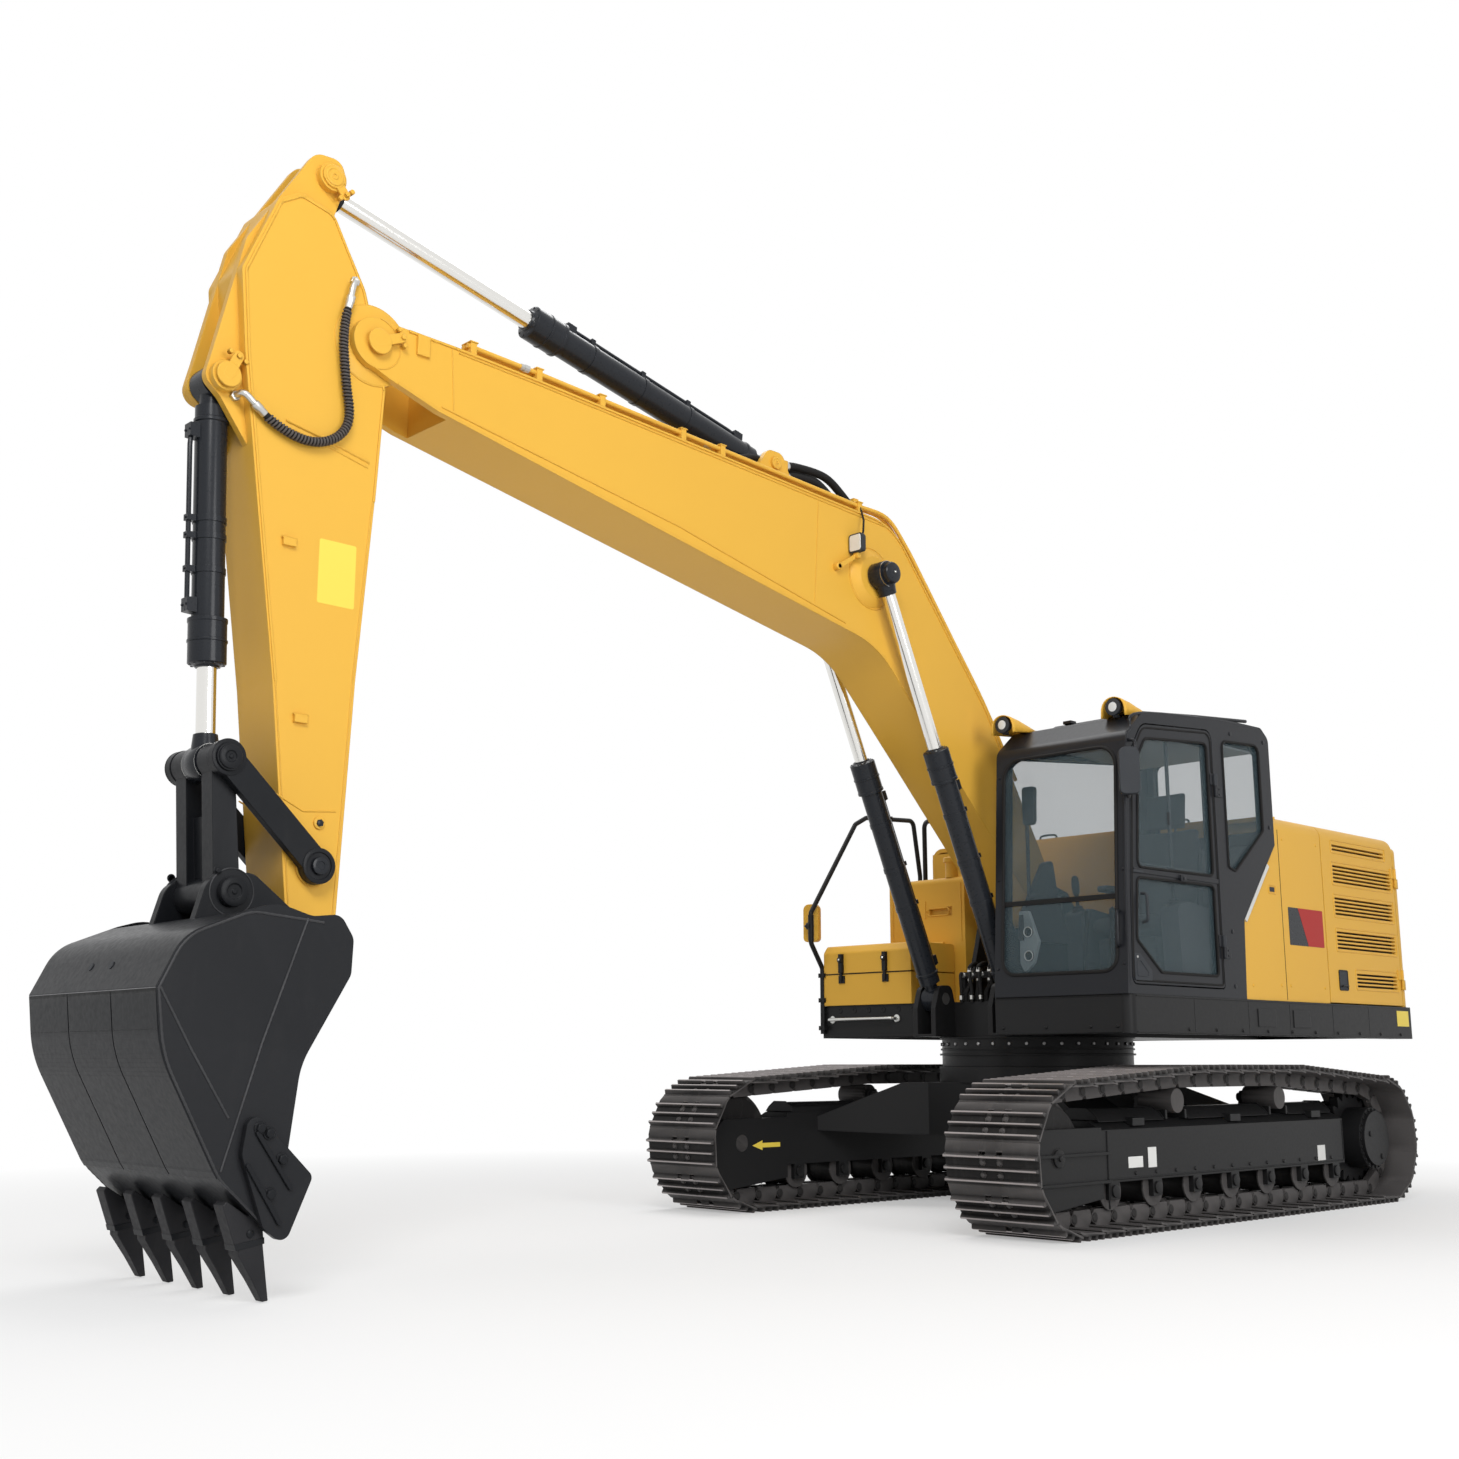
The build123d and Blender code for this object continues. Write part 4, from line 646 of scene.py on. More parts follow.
def shoeProfile(first, last):
    # A shoe's outline between two places along the chain, with the bars that stand between them.
    sizes = trackSizes
    low = sizes["linkHeight"] + 0.0006
    top = sizes["linkHeight"] + sizes["plate"]
    tip = top + sizes["barHeight"]
    corners = [(first, low), (first, top)]
    for x in sizes["barXs"]:
        if first < x - 0.014 and x + 0.014 < last:
            corners += [
                (x - 0.014, top), (x - 0.006, tip - 0.002), (x + 0.006, tip - 0.002), (x + 0.014, top)
            ]
    if last < trackSizes["shoePitch"] / 2 - 0.02:
        return corners + [(last, top), (last, low)]
    # The leading edge bends in under the next shoe.
    lip = trackSizes["lip"]
    return corners + [
        (last, top), (last + lip, low - 0.006), (last + lip, low - 0.016), (last, low - 0.006)
    ]


def linkProfile(back, front, half):
    # A link plate with round ends.
    return (
        (-back, 0.030),
        (-back + 0.012, 0.003),
        (front - 0.012, 0.003),
        (front, 0.030),
        (front, 0.062),
        (front - 0.020, 0.085),
        (half, 0.095),
        (-half, 0.095),
        (-back + 0.020, 0.085),
        (-back, 0.062),
    )


def buildTrack(name, side):
    sizes = trackSizes
    _, length = loopStations(sizes["linkHeight"] / 2, 1)
    count = round(length / sizes["shoePitch"])
    stations = pinStations(count)
    pitch = length / count
    half = pitch / 2 - sizes["shoeGap"]
    middle = side * sizes["middle"]
    edge = sizes["shoeWidth"] / 2
    slotLow, slotHigh = half - 0.028, half - 0.010
    shoes, tips, bolts, links, pins = (bmesh.new() for _ in range(5))
    for station in stations:
        outward = (station[2][0], 0.0, station[2][1])
        whole = onStation(station, shoeProfile(-half, half))
        rear = onStation(station, shoeProfile(-half, slotLow))
        front = onStation(station, shoeProfile(slotHigh, half))
        cuts = [y + step for y in sizes["slotYs"] for step in (-0.020, 0.020)]
        edges = [-edge, *cuts, edge]
        for index, (low, high) in enumerate(zip(edges, edges[1:])):
            if index % 2:
                addPrism(shoes, rear, middle + low, middle + high)
                addPrism(shoes, front, middle + low, middle + high)
            else:
                addPrism(shoes, whole, middle + low, middle + high)
        barTop = sizes["linkHeight"] + sizes["plate"] + sizes["barHeight"]
        for x in sizes["barXs"]:
            strip = [
                (x - 0.0065, barTop - 0.006), (x - 0.004, barTop), (x + 0.004, barTop),
                (x + 0.0065, barTop - 0.006),
            ]
            addPrism(tips, onStation(station, strip), middle - edge + 0.004, middle + edge - 0.004)
        for x in sizes["boltXs"]:
            for y in sizes["slotYs"]:
                place = onStation(station, [(x, sizes["linkHeight"] + sizes["plate"])])[0]
                addBolt(bolts, (place[0], middle + y, place[1]), outward, 0.014)
        inner, middleY, outer = sizes["linkYs"]
        for hand in (-1, 1):
            for back, ahead, low, high in (
                (0.104, 0.070, inner, middleY), (0.070, 0.104, middleY, outer)
            ):
                edges = sorted((middle + hand * low, middle + hand * high))
                addPrism(links, onStation(station, linkProfile(back, ahead, 0.050)), *edges)
            place = onStation(station, [(0.095, 0.047)])[0]
            start = (place[0], middle + hand * (outer - 0.004), place[1])
            profile = ((0.0, 0.030), (0.008, 0.030), (0.008, 0.021), (0.011, 0.019))
            addTurned(pins, start, (0.0, hand, 0.0), profile, 14)
    track = finishPiece(shoes, name + "_shoes", "trackSteel", "undercarriage")
    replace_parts(track, name)
    finishPiece(tips, name + "_bar_tips", "grouserEdge", "undercarriage")
    finishPiece(bolts, name + "_bolts", "trackSteel", "undercarriage")
    finishPiece(links, name + "_links", "trackSteel", "undercarriage")
    finishPiece(pins, name + "_pins", "trackSteel", "undercarriage")


# Undercarriage details

underSizes = {
    "frameFace": 1.336,
    "hubFace": 1.395,
    "hubBolts": 24,
    "hubBoltRadius": 0.188,
    "edgeBolts": 12,
    "rollers": 7,
    "firstRoller": 1.180,
    "rollerRun": 2.56,
    "rollerHalf": 0.155,
    "rollerZ": 0.2183,
    "plates": (
        # X low, X high, Z low, Z high
        (0.895, 1.040, 0.335, 0.395),
        (0.755, 0.840, 0.330, 0.440),
        (-1.240, -1.140, 0.290, 0.385),
    ),
}


ringSizes = {"radius": 0.62, "bolts": 36}


def buildFrameCovers():
    # Raised covers on the track frames between the carrier rollers, with a lip and stiffeners.
    covers = bmesh.new()
    for side in (-1, 1):
        section = (
            (1.050, 0.585), (1.290, 0.585), (1.262, 0.618), (1.215, 0.652), (1.110, 0.652), (1.050, 0.620)
        )
        corners = [(side * y, z) for y, z in section]
        for low, high in ((-1.440, -0.880), (-0.620, 0.320), (0.580, 1.240)):
            addPrism(covers, corners, low, high, "front")
            for x in (low, high):
                rim = [(side * y, z + 0.008) for y, z in section]
                addPrism(covers, rim, x - 0.006, x + 0.006, "front")
            middle = (low + high) / 2
            addBox(covers, (middle - 0.060, side * 1.262, 0.560), (middle + 0.060, side * 1.330, 0.604))
        for x in trackSizes["carriers"]:
            for step in (-0.105, 0.105):
                addBox(
                    covers, (x[0] + step - 0.010, side * 1.120, 0.586),
                    (x[0] + step + 0.010, side * 1.290, 0.640),
                )
    finishPiece(covers, "track_frame_covers", "frameBlack", "undercarriage", bevel=0.003)


def buildRingDetails():
    bands, bolts = bmesh.new(), bmesh.new()
    radius = ringSizes["radius"]
    for z, wide in ((1.056, 0.014), (0.985, 0.010), (0.952, 0.016)):
        addTurned(
            bands, (0.0, 0.0, z), (0, 0, 1),
            ((0, radius - 0.004), (0.0, radius + wide), (0.012, radius + wide), (0.012, radius - 0.004)),
            72,
        )
    for number in range(ringSizes["bolts"]):
        angle = 2 * math.pi * number / ringSizes["bolts"]
        spot = (radius * math.cos(angle), radius * math.sin(angle), 1.024)
        addBolt(bolts, spot, (math.cos(angle), math.sin(angle), 0), 0.011, washer=False)
    finishPiece(bands, "ring_bands", "frameBlack", "upper", bevel=0.002)
    finishPiece(bolts, "ring_bolts", "pinSteel", "upper")


def buildUnderDetails():
    sizes = underSizes
    bolts, welds, marks, arrow = (bmesh.new() for _ in range(4))
    for side in (-1, 1):
        face = side * sizes["frameFace"]
        hub = trackSizes["sprocket"]
        reach = sizes["hubBoltRadius"]
        for number in range(sizes["hubBolts"]):
            angle = 2 * math.pi * number / sizes["hubBolts"]
            place = (hub[0] + reach * math.cos(angle), side * 1.370, hub[1] + reach * math.sin(angle))
            addBolt(bolts, place, (0, side, 0), 0.009, washer=False)
        for x in (0.090, -0.060):
            place = (hub[0] + x, side * sizes["hubFace"], hub[1] - 0.06 + x)
            addTurned(bolts, place, (0, side, 0), ((-0.005, 0.018), (0.006, 0.018), (0.008, 0.014)), 12)
        for number in range(sizes["edgeBolts"]):
            x = -1.32 + 0.208 * number
            addBolt(bolts, (x, side * (sizes["frameFace"] - 0.004), 0.305), (0, side, 0), 0.011)
        addBead(welds, [(1.24, face, 0.128), (1.24, face, 0.540)], 0.006)
        addBead(welds, [(-1.49, face - side * 0.002, 0.285), (-1.49, face - side * 0.002, 0.535)], 0.006)
        addBead(welds, [(-1.49, face, 0.281), (1.235, face, 0.281)], 0.005)
        idler = trackSizes["idler"]
        turnOnSide(bolts, idler, side * 1.334, side, ((0, 0.048), (0.012, 0.048), (0.014, 0.040)), 24)
        turnOnSide(bolts, idler, side * 1.346, side, ((0, 0.016), (0.012, 0.016), (0.013, 0.012)), 6)
        cap = ((0, 0.034), (0.012, 0.034), (0.014, 0.022))
        for number in range(sizes["rollers"]):
            x = sizes["firstRoller"] - sizes["rollerRun"] / 6 * number
            for inward in (-1, 1):
                y = trackSizes["middle"] + inward * (sizes["rollerHalf"] - 0.012)
                start = (x, side * y, sizes["rollerZ"])
                addTurned(bolts, start, (0, side * inward, 0), cap, 16)
    for low, high, bottom, top in sizes["plates"]:
        addBox(
            marks, (low, sizes["frameFace"] - 0.0005, bottom), (high, sizes["frameFace"] + 0.0012, top)
        )
    shaft = (
        (1.36, 0.378), (1.52, 0.378), (1.52, 0.362), (1.61, 0.392), (1.52, 0.422), (1.52, 0.406),
        (1.36, 0.406),
    )
    addPrism(arrow, shaft, -1.0462, -1.0440)
    finishPiece(bolts, "under_bolts", "frameBlack", "undercarriage")
    finishPiece(welds, "under_welds", "frameBlack", "undercarriage")
    finishPiece(marks, "frame_plates", "signWhite", "undercarriage", bevel=0.0004)
    finishPiece(arrow, "guard_arrow", "signYellow", "undercarriage")


# Cylinders

rams = {
    # name: foot, top, Y, barrel radius, barrel length, rod radius, barrel body, rod body
    "boom_left": (
        boomCylinderFoot, boomCylinderTop, 0.300, 0.068, 1.610, 0.042, "boom_barrels", "boom_rods"
    ),
    "boom_right": (
        boomCylinderFoot, boomCylinderTop, -0.300, 0.068, 1.610, 0.042, "boom_barrels", "boom_rods"
    ),
    "arm": (armCylinderFoot, armCylinderTop, 0.0, 0.080, 1.760, 0.048, "arm_barrel", "arm_rod"),
    "bucket": (bucketCylinderFoot, linkPin, 0.0, 0.070, 1.270, 0.042, "bucket_barrel", "bucket_rod"),
}


def buildRam(name):
    # The head's bolts and wiper, the ports, a pipe along the barrel in clamps, and the rod's eye.
    foot, top, y, radius, length, rodRadius, barrelBody, rodBody = rams[name]
    heading = (Vector(top) - Vector(foot)).normalized()
    ahead = Vector((heading[0], 0.0, heading[1]))
    upward = Vector((-heading[1], 0.0, heading[0]))
    sideways = Vector((0.0, 1.0 if y >= 0 else -1.0, 0.0))

    def place(along, out=0.0, across=0.0):
        start = Vector((foot[0], y, foot[1]))
        return start + ahead * along + upward * out + sideways * across

    head, pipe, eye = (bmesh.new() for _ in range(3))
    collar = radius + 0.013
    addTurned(
        head, place(length - 0.006), ahead,
        (
            (0, collar), (0.012, collar), (0.016, collar - 0.006), (0.022, rodRadius + 0.014),
            (0.030, rodRadius + 0.008), (0.030, rodRadius + 0.001), (0.010, rodRadius + 0.001),
        ),
        40,
    )
    addTurned(
        head, place(length - 0.196), ahead,
        ((0, radius - 0.001), (0.004, collar + 0.003), (0.020, collar + 0.003), (0.024, collar - 0.002)),
        40,
    )
    addTurned(
        head, place(length - 0.100), ahead,
        ((0, collar - 0.002), (0.003, collar + 0.004), (0.012, collar + 0.004), (0.015, collar - 0.002)),
        40,
    )
    for number in range(10):
        angle = 2 * math.pi * (number + 0.5) / 10
        spot = place(
            length + 0.008, math.cos(angle) * (collar - 0.013), math.sin(angle) * (collar - 0.013)
        )
        addBolt(head, spot, ahead, 0.0075, washer=False)
    addTurned(
        head, place(0.165), ahead,
        ((0, radius - 0.002), (0.006, radius + 0.006), (0.020, radius + 0.006), (0.026, radius - 0.002)),
        36,
    )
    # Ports stand on the barrel, and the pipe runs between them.
    out = radius + 0.028
    for along in (0.235, length - 0.245):
        corners = []
        for t, n in (
            (-0.035, radius - 0.01), (0.035, radius - 0.01), (0.030, out + 0.012), (-0.030, out + 0.012)
        ):
            spot = place(along + t, n)
            corners.append((spot.x, spot.z))
        addPrism(head, corners, y - 0.028, y + 0.028)
        for across in (-0.018, 0.018):
            addBolt(head, place(along, out + 0.012, across), upward, 0.006, washer=False)
    run = [place(length - 0.245, out), place(length - 0.30, out), place(0.40, out)]
    addTube(
        pipe, [place(length - 0.215, out + 0.004), *run, place(0.30, out), place(0.255, out - 0.004)],
        0.011, 10,
    )
    for along in (0.62, length * 0.55, length - 0.42):
        band = (
            (0, radius - 0.001), (0.0, radius + 0.004), (0.028, radius + 0.004), (0.028, radius - 0.001)
        )
        addTurned(head, place(along), ahead, band, 36)
        corners = []
        for t, n in ((0.0, radius), (0.028, radius), (0.028, out + 0.014), (0.0, out + 0.014)):
            spot = place(along + t, n)
            corners.append((spot.x, spot.z))
        addPrism(head, corners, y - 0.018, y + 0.018)
        addBolt(head, place(along + 0.014, out + 0.014), upward, 0.006, washer=False)
    # The rod's eye is painted, so a thin shell goes over the plated one.
    half = {"boom": 0.050, "arm": 0.060, "bucket": 0.060}[name.split("_")[0]]
    faces = (
        (-half - 0.0012, 0.040), (-half - 0.0012, 0.078), (-half + 0.004, 0.0815),
        (half - 0.004, 0.0815), (half + 0.0012, 0.078), (half + 0.0012, 0.040),
    )
    addTurned(eye, (top[0], y, top[1]), (0, 1, 0), faces, 40)
    start = Vector((top[0], y, top[1])) - ahead * 0.128
    addTurned(
        eye, start, ahead,
        ((0, rodRadius + 0.0008), (0.004, rodRadius + 0.010), (0.050, rodRadius + 0.016), (0.085, 0.062)),
        32,
    )
    finishPiece(head, "ram_head_" + name, "glossBlack", barrelBody, bevel=0.0015)
    finishPiece(pipe, "ram_pipe_" + name, "glossBlack", barrelBody)
    finishPiece(eye, "ram_eye_" + name, "glossBlack", rodBody)


def buildRams():
    for name in rams:
        buildRam(name)
    caps = bmesh.new()
    shine = bmesh.new()
    for side in (-1, 1):
        x, z = boomCylinderTop
        profile = (
            (0.0, 0.0655), (0.076, 0.0655), (0.083, 0.060), (0.087, 0.046), (0.088, 0.024), (0.088, 0.0)
        )
        turnOnSide(caps, (x, z), side * 0.3100, side, profile, 40)
        turnOnSide(shine, (x, z), side * 0.397, side, ((0, 0.007), (0.008, 0.007), (0.012, 0.004)), 12)
    finishPiece(caps, "boom_ram_caps", "glossBlack", "boom_rods")
    finishPiece(shine, "boom_ram_nipples", "zinc", "boom_rods")


# Boom and arm

frontSizes = {
    "boomHalf": 0.205,
    "boomWeb": 0.206,
    "armHalf": 0.160,
    "armPlacard": (5.355, 2.935, 5.545, 3.235),
    "lamp": (2.000, 0.262, 3.970),
    "boomKeeper": (5.200, 4.290),
    "armKeeper": (5.495, 4.945),
    "bucketKeeper": (5.990, 3.975),
    "armPads": ((5.700, 3.180), (5.600, 2.390)),
    "armPlug": (5.480, 1.940),
}


def keeperBolts(mesh, centre, end, y, side):
    # The bolt on a keeper's tab, and the stops welded beside it.
    heading = (Vector(end) - Vector(centre)).normalized()
    across = Vector((-heading[1], heading[0]))
    addBolt(mesh, (end[0], side * (y + 0.019), end[1]), (0, side, 0), 0.013, washer=False)
    for hand in (-1, 1):
        spot = Vector(end) + across * hand * 0.040
        addTurned(
            mesh, (spot[0], side * (y - 0.002), spot[1]), (0, side, 0),
            ((0, 0.012), (0.022, 0.012), (0.024, 0.009)), 10,
        )


def pinFace(mesh, centre, radius, y, side):
    # Turned rings and the grease hole on a pin's end.
    profile = (
        (-0.002, radius),
        (0.0030, radius),
        (0.0045, radius - 0.003),
        (0.0045, radius * 0.72),
        (0.0020, radius * 0.68),
        (0.0020, radius * 0.40),
        (0.0050, radius * 0.36),
        (0.0050, 0.0085),
        (0.0005, 0.0075),
        (0.0005, 0.0),
    )
    turnOnSide(mesh, centre, side * y, side, profile, 32)


def buildBoomDetails():
    pins, welds, lamp, lens, cable = (bmesh.new() for _ in range(5))
    for side in (-1, 1):
        pinFace(pins, boomTip, 0.044, 0.2253, side)
        keeperBolts(pins, boomTip, frontSizes["boomKeeper"], 0.2053, side)
        pinFace(pins, armCylinderFoot, 0.037, 0.1340, side)
        pinFace(pins, boomCylinderTop, 0.030, 0.2465, side)
        web = side * frontSizes["boomWeb"]
        addBead(welds, circlePoints(boomCylinderTop, 0.191, web, count=60), 0.006)
        addBead(welds, circlePoints(boomTip, 0.127, side * 0.2052, 95, 265, 30), 0.004)
        # Beads where the web meets the top and bottom plates.
        top = [(1.66, web, 4.162), (3.0, web, 4.232), (4.36, web, 4.305), (4.86, web, 4.325)]
        low = [(4.95, web, 4.020), (3.4, web, 3.772), (2.05, web, 3.476)]
        addBead(welds, top, 0.0055)
        addBead(welds, low, 0.0055)
        addBead(welds, [(4.88, side * 0.2055, 4.02), (4.90, side * 0.2055, 4.335)], 0.0045)
        addBead(welds, [(2.32, web, 3.550), (2.28, web, 4.180)], 0.0035)
        for x in (2.48, 2.64):
            addBead(welds, circlePoints(armCylinderFoot, 0.150, side * 0.123, 215, 325, 16), 0.004)
    x, y, z = frontSizes["lamp"]
    addPrism(
        lamp, roundPlate(y - 0.052, z - 0.058, y + 0.052, z + 0.058, 0.018), x - 0.010, x + 0.0205,
        "front",
    )
    for number in range(5):
        addBox(
            lamp, (x - 0.036, y - 0.036, z - 0.034 + number * 0.016),
            (x - 0.024, y + 0.036, z - 0.028 + number * 0.016),
        )
    addPrism(
        lens, roundPlate(y - 0.044, z - 0.050, y + 0.044, z + 0.050, 0.014), x + 0.018, x + 0.0245,
        "front",
    )
    route = [
        (1.97, 0.262, 3.99), (1.945, 0.262, 4.06), (1.92, 0.245, 4.14), (1.90, 0.212, 4.20),
        (1.895, 0.196, 4.24),
    ]
    addTube(cable, route, 0.006, 8)
    finishPiece(pins, "boom_pin_faces", "bodyYellow", "boom")
    finishPiece(welds, "boom_welds", "bodyYellow", "boom")
    finishPiece(lamp, "boom_lamp_frame", "controlPlastic", "boom", bevel=0.001)
    finishPiece(lens, "boom_lamp_lens", "lensPale", "boom", bevel=0.003)
    finishPiece(cable, "boom_lamp_cable", "rubber", "boom")


def buildArmDetails():
    pins, welds, blackPins = (bmesh.new() for _ in range(3))
    half = frontSizes["armHalf"]
    for side in (-1, 1):
        pinFace(pins, armCylinderTop, 0.048, 0.1555, side)
        keeperBolts(pins, armCylinderTop, frontSizes["armKeeper"], 0.1455, side)
        pinFace(pins, bucketCylinderFoot, 0.048, 0.1555, side)
        keeperBolts(pins, bucketCylinderFoot, frontSizes["bucketKeeper"], 0.1455, side)
        face = side * half
        addBead(welds, circlePoints(boomTip, 0.197, side * 0.1605, count=64), 0.005)
        addBead(welds, [(5.745, face, 3.745), (5.52, face, 3.705), (5.310, face, 3.655)], 0.009)
        addBead(welds, [(5.735, face, 3.715), (5.515, face, 3.675), (5.315, face, 3.628)], 0.006)
        addBead(welds, [(5.845, face, 3.34), (5.728, face, 2.55), (5.600, face, 1.50)], 0.0045)
        addBead(welds, [(5.284, face, 3.47), (5.344, face, 2.62), (5.392, face, 1.52)], 0.0045)
        addBead(welds, [(5.700, face, 2.050), (5.560, face, 1.985), (5.400, face, 2.000)], 0.0045)
        addBead(welds, circlePoints(rockerPin, 0.082, side * 0.1662, count=36), 0.004)
        for x, z in frontSizes["armPads"]:
            addBox(
                pins, (x - 0.036, side * 0.169 - 0.006, z + 0.014),
                (x + 0.036, side * 0.169 + 0.006, z + 0.022),
            )
        turnOnSide(
            blackPins, frontSizes["armPlug"], side * 0.168, side,
            ((0, 0.017), (0.008, 0.017), (0.010, 0.012), (0.010, 0.0)), 6,
        )
        profile = (
            (0, 0.038), (0.004, 0.038), (0.006, 0.032), (0.006, 0.020), (0.003, 0.018), (0.003, 0.0)
        )
        turnOnSide(blackPins, rockerPin, side * 0.2275, side, profile, 28)
    finishPiece(pins, "arm_pin_faces", "bodyYellow", "arm")
    finishPiece(welds, "arm_welds", "bodyYellow", "arm")
    finishPiece(blackPins, "arm_plugs", "glossBlack", "arm")
    placard = bmesh.new()
    corners = roundPlate(*frontSizes["armPlacard"], 0.010)
    addPrism(placard, corners, half - 0.0004, half + 0.0010)
    addPrism(placard, corners, -half - 0.0010, -half + 0.0004)
    finishPiece(placard, "arm_blank_plates", "signYellow", "arm")


# The hose on the arm

armHoseRoute = (
    # X, Z
    (5.462, 4.425),
    (5.485, 4.330),
    (5.492, 4.200),
    (5.478, 4.080),
    (5.462, 3.970),
    (5.440, 3.870),
    (5.448, 3.785),
    (5.500, 3.715),
    (5.590, 3.668),
    (5.690, 3.662),
    (5.795, 3.692),
    (5.868, 3.731),
    (5.915, 3.765),
)
armHose = {"y": 0.190, "radius": 0.0165, "guardRadius": 0.0185, "guardWire": 0.0050, "turnPitch": 0.0165}


def hoseSpline(name):
    curve = bpy.data.curves.new(name, "CURVE")
    curve.dimensions = "3D"
    curve.resolution_u = 16
    spline = curve.splines.new("NURBS")
    spline.points.add(len(armHoseRoute) - 1)
    for point, (x, z) in zip(spline.points, armHoseRoute):
        point.co = (*(toRow @ Vector((x, armHose["y"], z))), 1.0)
    spline.order_u = 3
    spline.use_endpoint_u = True
    return curve


def splineLine(curve):
    # The points of the curve's own line, and its length.
    probe = bpy.data.objects.new("probe", curve)
    bpy.context.scene.collection.objects.link(probe)
    line = bpy.data.meshes.new_from_object(probe)
    points = [vertex.co.copy() for vertex in line.vertices]
    bpy.data.meshes.remove(line)
    bpy.data.objects.remove(probe)
    return points, sum((b - a).length for a, b in zip(points, points[1:]))


def buildArmHose():
    curve = hoseSpline("arm_hose_line")
    points, length = splineLine(curve)
    curve.bevel_depth = armHose["radius"]
    curve.bevel_resolution = 4
    curve.use_fill_caps = True
    curve.materials.append(materials["rubber"])
    hose = bpy.data.objects.new("arm_hose_tube", curve)
    bpy.context.scene.collection.objects.link(hose)
    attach(hose, "arm")
    # The spiral guard winds along the spline's own line.
    guard = bmesh.new()
    along = [0.0]
    for a, b in zip(points, points[1:]):
        along.append(along[-1] + (b - a).length)
    turns = (length - 0.16) / armHose["turnPitch"]
    steps = int(turns * 10)
    helix = []
    index = 0
    for number in range(steps + 1):
        reach = 0.08 + (length - 0.16) * number / steps
        while along[index + 1] < reach and index < len(points) - 2:
            index += 1
        share = (reach - along[index]) / (along[index + 1] - along[index])
        centre = points[index].lerp(points[index + 1], share)
        heading = (points[index + 1] - points[index]).normalized()
        outward = heading.cross(Vector((0.0, 1.0, 0.0))).normalized()
        angle = 2 * math.pi * turns * number / steps
        helix.append(
            centre + (
                outward * math.cos(angle) + Vector((0.0, 1.0, 0.0)) * math.sin(angle)
            ) * armHose["guardRadius"]
        )
    backwards = toRow.inverted()
    addTube(guard, [backwards @ point for point in helix], armHose["guardWire"], 6)
    spiral = finishPiece(guard, "arm_hose_guard", "hoseGuard", "arm")
    ends = bmesh.new()
    for first, second in ((points[0], points[6]), (points[-1], points[-7])):
        start, direction = backwards @ first, (second - first).normalized()
        profile = (
            (-0.004, 0.014), (-0.002, 0.021), (0.030, 0.0215), (0.034, 0.0190), (0.060, 0.0190),
            (0.064, 0.0170),
        )
        addTurned(ends, start, direction, profile, 20)
    cuffs = finishPiece(ends, "arm_hose_cuffs", "zinc", "arm")
    print("arm hose length", round(length, 3))


# Bucket

bucketLine = (
    (5.900, 0.300),
    (6.095, 0.480, 0.200),
    (6.350, 0.940, 0.500),
    (6.385, 1.190),
    (6.290, 1.390, 0.200),
    (6.020, 1.500, 0.200),
    (5.700, 1.473),
)


bucketSizes = {"teeth": 5, "firstTooth": -0.530, "toothStep": 0.265, "wearProud": 0.0035}


def toothYs():
    return [bucketSizes["firstTooth"] + bucketSizes["toothStep"] * n for n in range(bucketSizes["teeth"])]


